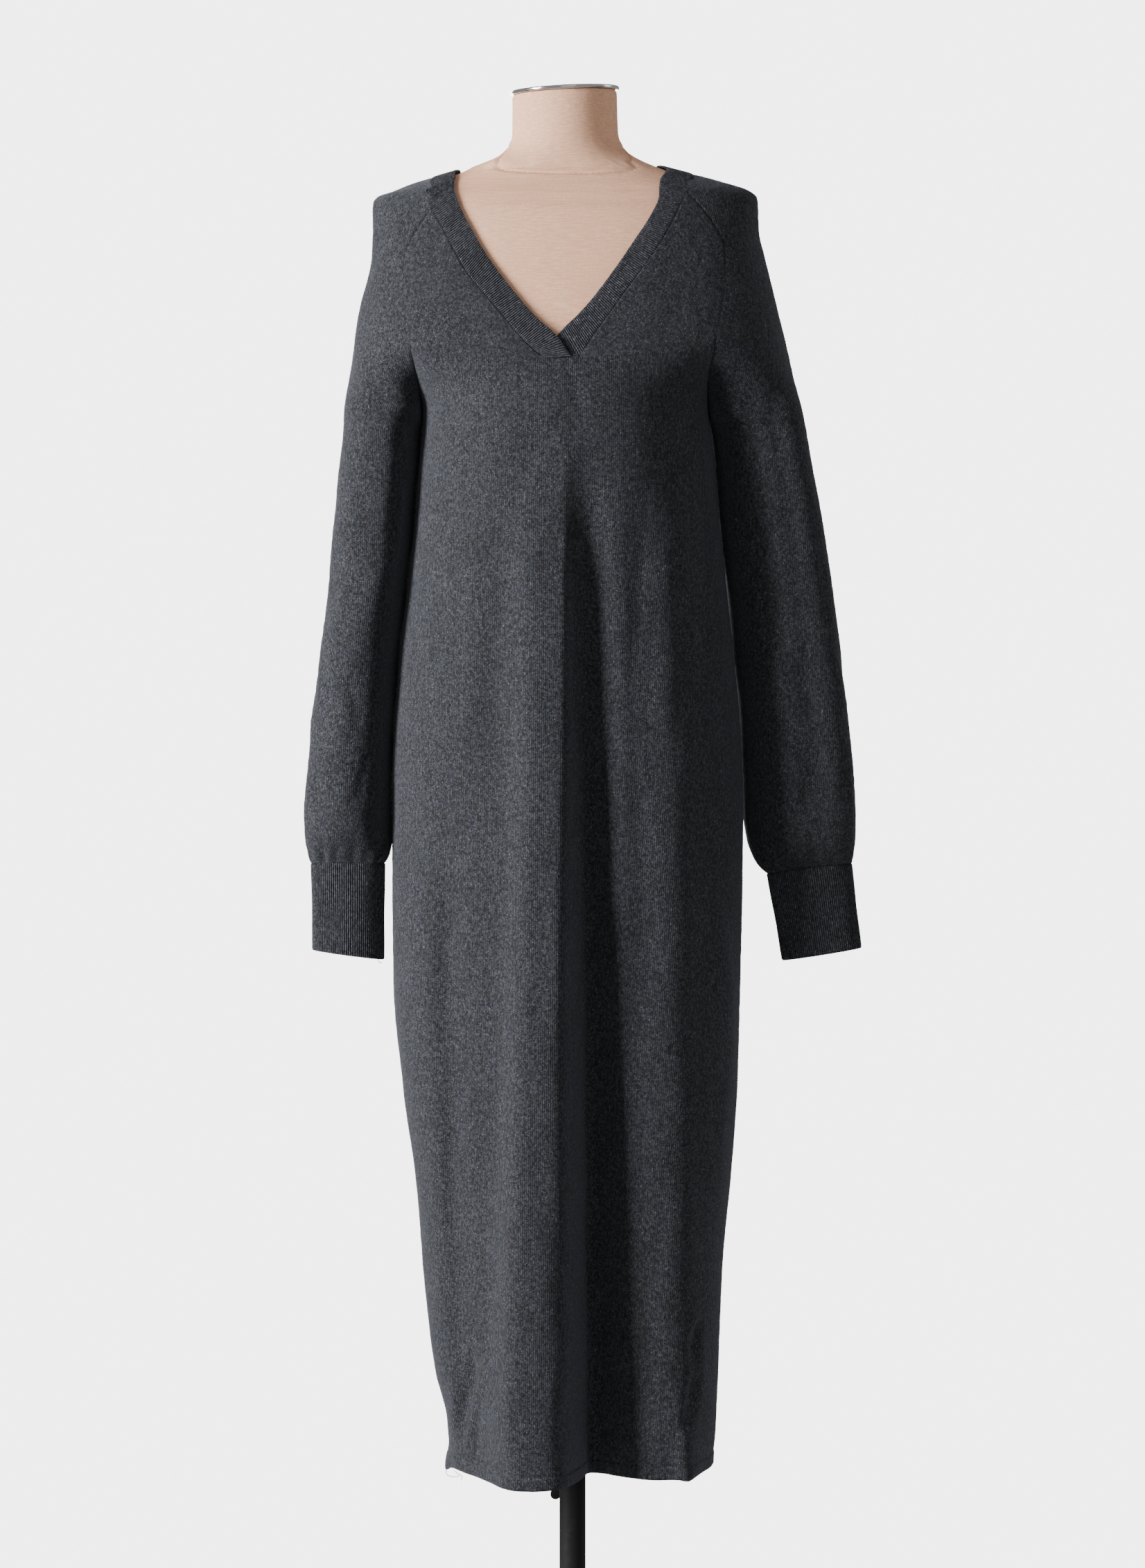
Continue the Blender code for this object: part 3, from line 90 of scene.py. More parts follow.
# Form and stand.
OUTER_TUBE_R = 12.5 * MM
TUBE_BORE_R = 10.15 * MM
INNER_TUBE_R = 10.0 * MM
OUTER_TUBE_TOP = 344 * MM
INNER_TUBE_LOW = 16 * MM
BASE_R = 180 * MM
BASE_THICK = 12 * MM
TORSO_LOW = 860 * MM
CLAMP_Z = 334 * MM
LEVER_TIP = (-16.8 * MM, 317.3 * MM)
FIT_GAP = 0.3 * MM
BOARD_SHARE = 0.97
BOARD_THICK = 8 * MM
CAP_R = 52.3 * MM
CAP_THICK = 4.0 * MM
FORM_REST = 4.0 * MM            # the form's shoulders stand this far inside the yoke
NECK_CENTRE = (-7.5 * MM, 1.3 * MM, 1658.2 * MM)
NECK_TILT = (0.0508, 0.093)
NECK_SEAM = 1608 * MM           # height of the form's neck seam at the sides
NECK_SAG = (23.5 * MM, -9.5 * MM)   # it runs lower in front and a little higher behind

# The photograph's camera, in metres and millimetres of lens.
CAMERA_PLACE = (0.0, -3.6, 1.0)
CAMERA_LENS = 86.77
CAMERA_SENSOR = 36.0

# The studio.
FLOOR_R = 0.6                   # radius of the floor's middle
FLOOR_GROWTH = 16.0             # how many times larger its outer edge is
SIDE_SHARE = 0.15               # the side light's power as a share of the rear light's


# ---------------------------------------------------------------- tables and curves

PLAIN_COLUMNS = ("power", "place", "span")      # shares and powers, which aren't lengths


def table(names, *rows):
    """Columns of a short table in millimetres, as arrays in metres under their names."""
    values = np.array(rows, dtype=float)
    return {name: values[:, place] * (1.0 if name in PLAIN_COLUMNS else MM)
            for place, name in enumerate(names.split())}


def follow(rows, key, name, where):
    """Smooth curve of one column over another, which never swings past its rows."""
    x, y = rows[key], rows[name]
    where = np.clip(where, x[0], x[-1])
    step = np.diff(x)
    rise = np.diff(y) / step
    product = rise[:-1] * rise[1:]
    total = np.where(product > 0.0, rise[:-1] + rise[1:], 1.0)
    slope = np.empty_like(y)
    slope[1:-1] = np.where(product > 0.0, 2.0 * product / total, 0.0)
    slope[0], slope[-1] = rise[0], rise[-1]
    index = np.clip(np.searchsorted(x, where, side="right") - 1, 0, len(step) - 1)
    t = (where - x[index]) / step[index]
    start = y[index] + (t - t * t) * (1.0 - t) * step[index] * slope[index]
    ease = t * t * (3.0 - 2.0 * t)
    end = (t - 1.0) * t * t * step[index] * slope[index + 1]
    return start + ease * (y[index + 1] - y[index]) + end


def columns(rows, z, names="left right front back power"):
    """Several columns of a table at heights z."""
    return [follow(rows, "z", name, z) for name in names.split()]


def smooth(value):
    """0 to 1 with soft ends."""
    value = np.clip(value, 0.0, 1.0)
    return value * value * (3.0 - 2.0 * value)


def bump(away, width):
    """1 at no distance, falling off softly within a width."""
    return np.exp(-(away / width) ** 2)


def oval(across, power):
    """Depth, 0 to 1, of a rounded oval at a place across it, -1 to 1."""
    inside = 1.0 - np.clip(np.abs(across), 0.0, 1.0) ** power
    return inside ** (1.0 / power)


def ripple(seed, x, z, size):
    """Soft uneven relief, about -1 to 1, from a few waves that cross."""
    rng = np.random.default_rng(seed)
    total = np.zeros(np.broadcast(x, z).shape)
    for _ in range(6):
        turn, pace = rng.uniform(0.0, np.pi), rng.uniform(0.7, 1.7) / size
        phase = rng.uniform(0.0, 2.0 * np.pi)
        total += np.sin(2 * np.pi * pace * (x * np.cos(turn) + z * np.sin(turn)) + phase)
    return total / 3.0


# Oval round both shoulders: side edges, and depth to the front and to the back.
YOKE = table(
    "z left right front back power",
    (1350, -216.6, 217.8, 118, 100, 2.5),
    (1380, -212.8, 211.4, 113, 103, 2.5),
    (1410, -209, 205.2, 106, 105, 2.5),
    (1456, -201.3, 194, 93, 103, 2.5),
    (1480, -195, 187.6, 86, 100, 2.5),
    (1503, -190.6, 182, 80, 96, 2.5),
    (1525, -190, 177.6, 73.5, 91, 2.5),
    (1545, -190.8, 177.2, 66.5, 85, 2.4),
    (1553, -189.8, 177, 63, 81.5, 2.35),
    (1558, -185.8, 175.6, 60.5, 79, 2.3),
    (1563, -171.1, 170, 58, 76, 2.25),
    (1569.3, -155.1, 152.5, 55.5, 72, 2.2),
    (1574.5, -139.3, 134, 53.5, 69.5, 2.15),
    (1579, -126, 117, 52, 67, 2.1),
    (1584, -108.5, 98.5, 50, 63, 2.05),
    (1590, -90, 76, 49, 59, 2))

# Both panels' side seam up to the underarm: height, left and right edge.
SIDE_SEAM = (
    (350, -116.5, 133), (394, -119.5, 136.6), (440, -130, 138.6), (532, -141.2, 141.9),
    (625, -149.2, 150.5), (717, -161.7, 157.1), (810, -170.4, 159.6), (902, -171.4, 161.7),
    (988, -171.6, 162.4), (1048, -169.6, 160), (1120, -165, 153.8), (1191, -156.4, 145.9),
    (1243, -151.1, 140.6), (1320, -144.5, 133.6), (1350, -142.6, 129.4))


def panel_table(shapes, *raglan):
    """A panel's table: depth and power of each row of the side seam, then whole rows."""
    side = [seam + shape for seam, shape in zip(SIDE_SEAM, shapes)]
    return table("z left right depth power", *side, *raglan)


# The front, and its raglan seam above the underarm.
FRONT = panel_table(
    ((84, 2.8), (86, 2.8), (88, 2.7), (92, 2.6), (97, 2.5), (102, 2.4), (106, 2.3), (108, 2.25),
     (109, 2.2), (110, 2.2), (112, 2.2), (114, 2.25), (116, 2.3), (118.5, 2.4), (118, 2.4)),
    (1380, -145.5, 127.2, 113, 2.4),
    (1410, -151.2, 132.6, 106, 2.4),
    (1456, -158, 140.5, 93, 2.4),
    (1488, -158.8, 143, 84, 2.4),
    (1503, -155.4, 142.4, 80, 2.4),
    (1522, -146.6, 134.6, 74.5, 2.4),
    (1539.7, -135.8, 124.4, 68.5, 2.4),
    (1555.5, -126, 110.8, 61.5, 2.4))

# The back, whose raglan seam ends nearer the neck.
BACK = panel_table(
    ((84, 2.6), (86, 2.6), (88, 2.6), (92, 2.5), (96, 2.4), (101, 2.3), (107, 2.3), (112, 2.25),
     (112, 2.2), (108, 2.2), (101, 2.2), (97, 2.25), (97, 2.3), (99, 2.4), (100, 2.4)),
    (1380, -145, 127.6, 103, 2.4),
    (1410, -149, 131, 105, 2.4),
    (1456, -153, 137, 103, 2.4),
    (1500, -150, 136, 96.5, 2.4),
    (1530, -140, 127, 89.5, 2.4),
    (1550, -127.5, 113, 83, 2.4),
    (1567, -110, 94, 73, 2.4))

# Folds of the skirt, forward where their depth is above zero. A fold starts at "top"
# and is grown at "full"; the other columns go in pairs, there and at the hem.
FRONT_FOLDS = table(
    "top full x_full x_hem left_full left_hem right_full right_hem depth_full depth_hem "
    "power",
    (1335, 1130, -16, -40, 30, 36, 15, 40, 10, 36, 4.6),  # lobe left of the middle
    (1335, 1130, 15, 17, 12, 11, 21, 37, -14, -50, 2),  # deep valley beside it
    (1290, 1150, 62, 60, 14, 12, 14, 16, -4, -3, 2),  # shallow trough on the right
    (1300, 1180, 100, 108, 22, 22, 15, 15, 5, 6, 2),  # soft ridge by the right seam
    (560, 430, 110, 110, 12, 12, 12, 11, 2, 14, 2),  # its point at the hem
    (1000, 850, -116, -102, 15, 14, 16, 13, -8, -7, 2),  # trough near the left seam
    (1290, 1180, -48, -80, 13, 14, 12, 15, 4, 3, 2))  # soft ridge from the bust

BACK_FOLDS = table(
    "top full x_full x_hem left_full left_hem right_full right_hem depth_full depth_hem "
    "power",
    (1330, 1120, -34, -42, 17, 22, 19, 24, -8, -26, 2),  # hollow left of the spine
    (1010, 760, 4, 8, 20, 22, 20, 22, 6, 20, 2),  # ridge that drops from the seat
    (1300, 1080, 52, 62, 16, 20, 15, 18, -7, -22, 2),  # hollow on the right
    (1000, 800, -96, -92, 14, 15, 14, 16, 6, 15, 2))  # ridge near the left seam

# Creases laid on the panels: from a top point to a low point, how wide, and how far
# out (above zero) or in.
FRONT_CREASES = table(
    "x_top z_top x_low z_low width depth",
    (90, 1240, 92, 1000, 7, -1.6),  # second trough on the right
    (76, 1210, 78, 930, 6, 1.2),  # ridge between the troughs
    (128, 1408, 84, 1330, 11, -1.6),  # drag from the right underarm
    (-132, 1404, -92, 1340, 11, -1.3),  # drag from the left underarm
    (-118, 1352, -84, 1290, 9, -1.2),
    (120, 1350, 98, 1292, 9, -1.2),
    (-2, 1384, 5, 1318, 8, -1.4),  # below the point of the V
    (-58, 1215, -64, 960, 9, -1.1),
    (-98, 1240, -108, 1020, 10, 1.2),
    (-106, 700, -112, 560, 8, -1.8),
    (-94, 474, -108, 384, 5, -5.5),  # dark crease at the left hem
    (-84, 432, -91, 362, 5, -3.4),
    (-99, 452, -98, 366, 5, 2.4),
    (-108, 460, -106, 372, 5, 1.8),
    (-66, 470, -70, 366, 9, 1.4),
    (120, 503, 115, 452, 3, -5.5),  # nick near the right seam
    (113, 452, 103, 392, 4.5, -5),  # and its crease to the hem
    (101, 400, 107, 352, 6, 1.8),
    (112, 520, 116, 400, 8, 1.4),
    (88, 620, 80, 400, 9, -1.6),
    (-24, 640, -30, 420, 8, -1.4),
    (60, 820, 52, 520, 9, -1.6),
    (134, 900, 137, 640, 6, 1.4),
    (30, 1110, 34, 860, 8, 1.6),
    (-20, 930, -34, 700, 9, 1.3),
    (-84, 880, -92, 690, 9, -1.3))

BACK_CREASES = table(
    "x_top z_top x_low z_low width depth",
    (-118, 1400, -60, 1330, 10, -1.8),
    (104, 1402, 58, 1322, 10, -1.7),
    (-20, 1290, -28, 1060, 11, 1.8),
    (24, 1250, 30, 1010, 9, -1.8),
    (92, 1190, 100, 860, 10, -2),
    (-88, 1180, -98, 900, 10, -1.8),
    (-60, 1060, -20, 985, 9, -1.6),
    (60, 1050, 22, 990, 9, -1.4),
    (-120, 860, -112, 520, 9, 2),
    (30, 800, 26, 470, 9, -2.2),
    (112, 760, 108, 420, 9, -2.2),
    (-66, 720, -70, 400, 9, 1.8),
    (0, 560, 6, 372, 8, 1.8))

# Sleeves below the underarm: outer and inner edge seen from the front, half depth to the
# front and back. The sleeves hang a little outwards.
LEFT_SLEEVE = table(
    "z outer inner front back",
    (925, -249.2, -178.4, 25, 24),
    (935, -251.8, -174.2, 34, 34),
    (950, -254.6, -172.6, 43, 44),
    (970, -255, -172.5, 48, 50),
    (988, -254.1, -172.4, 50, 53),
    (1048, -248.2, -170.4, 54, 57),
    (1120, -240, -165.8, 58, 61),
    (1191, -231.3, -157.4, 62, 65),
    (1243, -227, -151.7, 66, 69),
    (1318, -219.1, -145.2, 73, 76),
    (1350, -216.6, -142.9, 77, 80))

RIGHT_SLEEVE = table(
    "z outer inner front back",
    (925, 266.2, 185, 22, 22),
    (935, 267.6, 175.4, 33, 33),
    (950, 268.8, 167.4, 42, 43),
    (970, 269.3, 163.8, 46, 49),
    (988, 268.6, 163.3, 47, 51),
    (1048, 263.2, 160.9, 50, 54),
    (1120, 255.4, 154.8, 54, 58),
    (1191, 246.2, 147.1, 59, 62),
    (1243, 238, 141.3, 64, 67),
    (1318, 224.4, 134.2, 73, 76),
    (1350, 217.8, 129.7, 77, 80))

# Lengthwise folds of a sleeve: where round it, as a share of the way from the outer edge
# to the inner seam (front below zero), how wide in the same share, and how deep.
LEFT_SLEEVE_FOLDS = table(
    "low high place span depth",
    (1150, 1400, -0.50, 0.12, -3),
    (930, 1180, -0.58, 0.12, -3),
    (960, 1330, 0.46, 0.12, -5))
RIGHT_SLEEVE_FOLDS = table(
    "low high place span depth",
    (1090, 1400, -0.56, 0.08, -6),
    (930, 1420, -0.40, 0.09, -4),
    (960, 1330, 0.44, 0.12, -5))
SLEEVE_LEAN = 32 * MM           # how far back the inner side lies against the body
SLEEVE_TURN = {"left": 18 * MM, "right": 0.0}   # how far its front turns to the side
SLEEVES = {"left": LEFT_SLEEVE, "right": RIGHT_SLEEVE}
SLEEVE_FOLDS = {"left": LEFT_SLEEVE_FOLDS, "right": RIGHT_SLEEVE_FOLDS}

# Creases laid on the sleeves: x is the way round from the outer edge in millimetres
# at a half girth of 150 (front below zero).
SLEEVE_CREASES = {
    "left": table(
        "x_top z_top x_low z_low width depth",
        (-40, 1240, -20, 1120, 10, -1.6),
        (-110, 1290, -96, 1180, 8, 1.6),
        (-20, 1130, -52, 1070, 8, -1.4),                     # soft dents at the elbow
        (-62, 1100, -88, 1050, 8, -1.6),
        (10, 1110, -16, 1040, 8, 1.3),
        (-100, 1040, -84, 975, 7, -1.8),
        (-36, 1020, -44, 958, 6, -1.3),
        (50, 1120, 84, 1060, 9, -2),
        (70, 1060, 44, 1000, 8, -1.6),
        (100, 1280, 112, 1150, 9, -2),
        (-30, 1420, -56, 1340, 12, -1.4)),
    "right": table(
        "x_top z_top x_low z_low width depth",
        (-30, 1260, -40, 1130, 9, -1.5),
        (-114, 1280, -104, 1150, 8, 1.6),
        (-26, 1140, 4, 1080, 8, -1.5),
        (-58, 1110, -30, 1050, 8, 1.4),
        (-96, 1080, -72, 1020, 8, -1.8),
        (-20, 1040, -34, 962, 7, -1.4),
        (-70, 1010, -78, 955, 6, -1.8),
        (52, 1130, 80, 1070, 9, -2),
        (78, 1050, 50, 990, 8, -1.6),
        (98, 1290, 112, 1160, 9, -2),
        (-30, 1420, -58, 1345, 12, -1.4))}

# Puckers where a sleeve is gathered into its cuff: place round the sleeve, width in the same
# share, how high they reach and how deep they are.
PUCKERS = {
    "left": table(
        "place span reach depth",
        (-0.93, 0.030, 26, -2), (-0.80, 0.035, 40, -3.2), (-0.66, 0.028, 24, -2.2),
        (-0.55, 0.030, 34, -3), (-0.41, 0.026, 20, -1.8), (-0.29, 0.034, 38, -3),
        (-0.14, 0.028, 22, -2), (0.02, 0.032, 32, -2.6), (0.17, 0.028, 24, -2.2),
        (0.31, 0.034, 36, -3), (0.46, 0.028, 22, -2), (0.60, 0.034, 34, -2.8),
        (0.74, 0.028, 24, -2.2), (0.87, 0.032, 30, -2.4)),
    "right": table(
        "place span reach depth",
        (-0.92, 0.028, 24, -2), (-0.79, 0.034, 34, -2.8), (-0.68, 0.028, 40, -3.2),
        (-0.58, 0.026, 26, -2.4), (-0.45, 0.034, 42, -3.4), (-0.33, 0.026, 22, -2),
        (-0.19, 0.032, 30, -2.4), (-0.03, 0.028, 22, -2), (0.13, 0.032, 34, -2.8),
        (0.28, 0.028, 22, -2), (0.42, 0.034, 34, -2.8), (0.57, 0.028, 24, -2.2),
        (0.72, 0.034, 34, -2.6), (0.86, 0.028, 26, -2.2))}

# Cuffs: side edges seen from the front at the bottom and the top, half depth, and the
# height of each end at its outer and inner edge.
CUFF_ENDS = {
    "left": {"outer": (-247.6 * MM, -248.9 * MM), "inner": (-179.4 * MM, -178.6 * MM),
             "depth": 23.5 * MM, "low": (842 * MM, 833 * MM), "top": (925 * MM, 925 * MM)},
    "right": {"outer": (275.0 * MM, 265.8 * MM), "inner": (199.8 * MM, 185.2 * MM),
              "depth": 20.5 * MM, "low": (844 * MM, 832 * MM), "top": (925 * MM, 915 * MM)}}

# Neckband, from its end under the point of the V up the right side, round the back and
# down the left side to the end that laps over it. The outer edge is the seam. Points are
# pulled onto the oval of the yoke at their own height.
NECKBAND = table(
    "outer_x outer_y outer_z inner_x inner_y inner_z",
    (-10, -110.5, 1391.6, -17.2, -105.3, 1412.5),
    (5.8, -109.4, 1396.4, -8.4, -102.8, 1422),
    (17.5, -105.2, 1412.5, 2.8, -99.7, 1433),
    (29.8, -100.1, 1430, 15, -95.7, 1446.5),
    (52.5, -89.5, 1462.5, 36.5, -86.6, 1475.5),
    (75, -78.3, 1494.5, 56.5, -77.3, 1505.5),
    (92.5, -66.8, 1525, 72.2, -68.1, 1530.5),
    (103, -56.2, 1548.5, 80.8, -59.5, 1549.8),
    (108.3, -45.5, 1565.5, 82.3, -49.3, 1568),
    (108.8, 0, 1581.2, 80, 0, 1588.9),
    (102, 48, 1574, 74, 42.8, 1583.5),
    (74, 70.1, 1563.5, 54, 59.7, 1579),
    (33, 78.8, 1556.5, 25, 67.8, 1575.5),
    (-8, 80.8, 1554.5, -8, 69.5, 1574.5),
    (-49, 78.5, 1556.5, -41, 66.8, 1575.5),
    (-90, 67, 1563.5, -71, 57.2, 1579),
    (-119.5, 44.6, 1572, -94, 42.3, 1581),
    (-128.8, 0, 1578.1, -107, 0, 1584.5),
    (-132.6, -38.3, 1564.5, -110.6, -33.8, 1575.2),
    (-134.2, -50.7, 1551, -111.2, -46.5, 1563.5),
    (-131.4, -56.2, 1539, -109.6, -55.5, 1553),
    (-122.4, -63.7, 1522.5, -103.8, -62.9, 1537.5),
    (-115.6, -69, 1508.5, -96.4, -69, 1522.5),
    (-97, -81.5, 1474.5, -80, -78.9, 1493.5),
    (-84, -88.2, 1458.5, -66.4, -85.7, 1473.5),
    (-67.8, -95.8, 1438.5, -49.5, -93.3, 1451.5),
    (-49.2, -103.5, 1415.5, -32.2, -99.9, 1431),
    (-37.2, -107.4, 1402.5, -16.1, -104.4, 1415.8),
    (-25.5, -110, 1393.2, -1.6, -109.8, 1394.8))
BAND_END = 28.0                 # the table's last row, counted from 0
BAND_LAP = 2.7 * MM             # how far the upper end of the band stands off the lower
LAP_ROWS = (25.2, 27.0)         # rows of the table over which it rises
TUCK = 1.9 * MM                 # the lower end is tucked behind the front

# Places along the rows of NECKBAND: the middle of the back, the ends of the raglan seams,
# the tops of the shoulders, and the front's rows above the V.
BACK_MIDDLE = 13.0
NECK_ENDS = {("right", -1): 7.5, ("right", 1): 10.6, ("left", 1): 15.5, ("left", -1): 20.0}
FRONT_STOPS = {"left": (28.0, 27.0, 25.2, 23.4, 21.7, 20.0),
               "right": (0.9, 2.2, 3.5, 4.9, 6.2, 7.5)}
SHOULDER_PLACES = {"left": 17.0, "right": 9.0}
CROWN_SPAN = 0.62               # share of the way to the shoulder that crown rows take
V_POINT = (-9.5 * MM, 1393.9 * MM)
RAGLAN_SHARES = (0.0, 0.12, 0.25, 0.39, 0.54, 0.69, 0.82, 0.92, 1.0)
RAGLAN_END = 2.0 * MM           # width left of a panel where its raglan seam ends
V_ROW = 2                       # the named row that passes under the V
SHOULDER_LEVELS = (1350, 1380, 1412, 1445, 1480, 1513, 1538, 1551.5, 1558.5)
CROWN_LEVELS = (1563.5, 1569.5)

# The dress form, up to where it follows the inside of the cloth, and its neck.
FORM = table(
    "z left right front back power",
    (860, -146, 142, 72, 90, 2.3),
    (880, -152, 147, 74, 92, 2.3),
    (930, -158, 150, 77, 93, 2.25),
    (1000, -157, 148, 81, 93, 2.2),
    (1125, -130, 121, 88, 84, 2.15),
    (1190, -128, 119, 95, 82, 2.2),
    (1250, -132, 122, 105, 86, 2.25),
    (1310, -136, 125, 112, 92, 2.3),
    (1345, -137, 124, 112, 95, 2.35),
    (1378, -139, 122, 108, 98, 2.35),
    (1412, -154, 137, 101, 100, 2.35),
    (1440, -168, 155, 93, 99, 2.4),
    (1472, -182, 173, 84, 96, 2.4))
SHOULDER_LOW, SHOULDER_HIGH, NECK_TOP = 1492 * MM, 1584 * MM, 1657 * MM
NECK = table(
    "z left right front back power",
    (1586.5, -96, 80, 48.5, 59, 2),
    (1590, -86.5, 71.8, 47.5, 57.5, 2),
    (1594, -76.5, 63.5, 47, 55.5, 2),
    (1600, -66.5, 53.2, 47, 53.5, 2),
    (1608, -60.3, 47.2, 47.5, 52, 2),
    (1619, -57.4, 43.6, 48, 51, 2),
    (1657, -57.2, 42.2, 48.5, 51, 2))


# ---------------------------------------------------------------- garment surfaces

PANELS = {-1: FRONT, 1: BACK}
OUTWARD = {"left": -1.0, "right": 1.0}


def yoke_y(x, z, side):
    """Depth of the oval round both shoulders, at x and z; side is -1 front, 1 back."""
    left, right, front, back, power = columns(YOKE, z)
    across = (x - (left + right) / 2) / ((right - left) / 2)
    return side * (front if side < 0 else back) * oval(across, power)


def on_yoke(x, y, z):
    """Point on the yoke's oval at height z, in the direction of x and y."""
    left, right, front, back, power = columns(YOKE, z)
    depth = np.where(y < 0.0, front, back)
    middle, half = (left + right) / 2, (right - left) / 2
    across, out = (x - middle) / half, y / depth
    reach = (np.abs(across) ** power + np.abs(out) ** power) ** (1.0 / power)
    return np.stack((middle + half * across / reach, depth * out / reach, z), axis=-1)


def yoke_normal(x, z, side):
    """Outward direction of the yoke's oval at x and z, from the reach that y grows by."""
    y = yoke_y(x, z, side)

    def reach(x_there, y_there, z_there):
        on = on_yoke(x_there, y_there, z_there)
        left, right = columns(YOKE, z_there, "left right")
        middle = (left + right) / 2
        return np.hypot(x_there - middle, y_there) / np.hypot(on[..., 0] - middle, on[..., 1])

    rise = np.stack((reach(x + TINY, y, z) - reach(x - TINY, y, z),
                     reach(x, y + TINY, z) - reach(x, y - TINY, z),
                     reach(x, y, z + TINY) - reach(x, y, z - TINY)), axis=-1)
    return rise / np.linalg.norm(rise, axis=-1, keepdims=True)


def yoke_normals(points):
    """Outward direction of the yoke's oval at points in front and behind."""
    x, z = points[..., 0], points[..., 2]
    return np.where(points[..., 1:2] < 0, yoke_normal(x, z, -1), yoke_normal(x, z, 1))


def joined(z):
    """0 where body and sleeves are apart, 1 where they share the yoke's oval."""
    return smooth((z - UNDERARM) / (CREASE_TOP - UNDERARM))


def rim_normal(points, side, sideways):
    """Outward direction at a seam: sideways at the underarm, the yoke's at the top."""
    mix = joined(points[..., 2])[..., None]
    aim = (1.0 - mix) * np.array((sideways, 0.0, 0.0))
    aim = aim + mix * yoke_normal(points[..., 0], points[..., 2], side)
    return aim / np.linalg.norm(aim, axis=-1, keepdims=True)


def fold_depth(folds, x, z):
    """How far all the folds of a table push the cloth out at x and z."""
    total = np.zeros_like(x)
    for row in range(len(folds["top"])):
        fold = {name: column[row] for name, column in folds.items()}
        start = smooth((fold["top"] - z) / (fold["top"] - fold["full"]))
        down = np.clip((fold["full"] - z) / (fold["full"] - HEM), 0.0, 1.0)
        mix = {name: fold[name + "_full"] * (1 - down) + fold[name + "_hem"] * down
               for name in ("x", "left", "right", "depth")}
        away = x - mix["x"]
        width = np.where(away < 0.0, mix["left"], mix["right"])
        total += start * mix["depth"] * np.exp(-np.abs(away / width) ** fold["power"])
    return total


def crease_depth(creases, x, z):
    """How far the creases of a table push the cloth out at x and z."""
    total = np.zeros_like(x)
    for row in range(len(creases["width"])):
        x_top, z_top = creases["x_top"][row], creases["z_top"][row]
        run_x, run_z = creases["x_low"][row] - x_top, creases["z_low"][row] - z_top
        length = math.hypot(run_x, run_z)
        along = ((x - x_top) * run_x + (z - z_top) * run_z) / length ** 2
        away = ((x - x_top) * run_z - (z - z_top) * run_x) / length
        bow = 0.05 * length * np.sin(np.pi * np.clip(along, 0, 1)) * (1 if row % 2 else -1)
        width = creases["width"][row] * (0.75 + 0.5 * np.clip(along, 0, 1))
        ends = smooth(along / 0.38 + 0.15) * smooth((1.0 - along) / 0.38 + 0.15)
        total += creases["depth"][row] * bump(away - bow, width) * ends
    return total


def panel_y(panel, folds, x, z, side, neck=0.0):
    """Depth of the front or back panel at x and z; neck is 1 at the neckband."""
    left, right, depth, power = columns(panel, z, "left right depth power")
    across = (x - (left + right) / 2) / ((right - left - SEAM_GAP) / 2)
    apart = side * depth * oval(across, power)
    whole = yoke_y(x, z, side)
    keep = 1.0 - np.clip(np.abs(across), 0.0, 1.0) ** 6
    folded = side * fold_depth(folds, x, z) * keep
    share = joined(z) + (1.0 - joined(z)) * neck
    y = (1.0 - share) * apart + share * whole + folded
    return np.minimum(y, -SEAM_GAP / 2) if side < 0 else np.maximum(y, SEAM_GAP / 2)


def neck_point(edge, place):
    """Point of the neckband's outer or inner edge at a place along its table."""
    place = np.asarray(place, dtype=float)
    rows = dict(NECKBAND, row=np.arange(len(NECKBAND["outer_x"]), dtype=float))
    x, y, z = (follow(rows, "row", edge + "_" + axis, place) for axis in "xyz")
    return on_yoke(x, y, z)


def neck_seam(place, into_cloth=SEAM_GAP / 2):
    """Neckband's seam at a place along its table, moved across the seam."""
    outer, inner = neck_point("outer", place), neck_point("inner", place)
    away = outer - inner
    away = away / np.linalg.norm(away, axis=-1, keepdims=True)
    moved = outer + away * into_cloth
    return on_yoke(moved[..., 0], moved[..., 1], moved[..., 2])


def between(values, steps):
    """A list of values with even steps put between each two of them."""
    spots = np.linspace(0.0, len(values) - 1.0, (len(values) - 1) * steps + 1)
    return np.interp(spots, np.arange(len(values)), values)


def low_levels(low, high, step, marks):
    """Heights from low to high, close together just above the low end."""
    start = low + marks[-1]
    count = int(round((high - start) / step))
    return np.concatenate((low + marks[:-1], np.linspace(start, high, count + 1)))


def seam_heights(side_name, side):
    """Heights of the rows along one raglan seam, from the underarm up."""
    top = float(neck_seam(NECK_ENDS[side_name, side])[2])
    return UNDERARM + (top - UNDERARM) * between(RAGLAN_SHARES, YOKE_STEPS)


def seam_x(side_name, side, z):
    """Side of a panel at height z: its table, led to the neckband at the top."""
    end = neck_seam(NECK_ENDS[side_name, side])
    panel = PANELS[side]
    miss = end[0] + OUTWARD[side_name] * RAGLAN_END - follow(panel, "z", side_name, end[2])
    near = smooth((z - (end[2] - 45 * MM)) / (45 * MM))
    return follow(panel, "z", side_name, z) + miss * near


def spread(share):
    """Spacing of columns from the middle (0) to the seam (1): close at both ends."""
    return (1 - share) * share ** 1.3 + share * (1 - (1 - share) ** 1.7)


def hem_drop(x, z):
    """The hem hangs a little lower in front of the left lobe and rises at the seams."""
    near = 1.0 - smooth((z - HEM) / (110 * MM))
    middle, half = 8 * MM, 125 * MM
    rise = 6 * MM * np.clip(np.abs(x - middle) / half, 0, 1) ** 5
    dip = 2.5 * MM * bump(x + 45 * MM, 32 * MM)
    return near * (rise - dip)


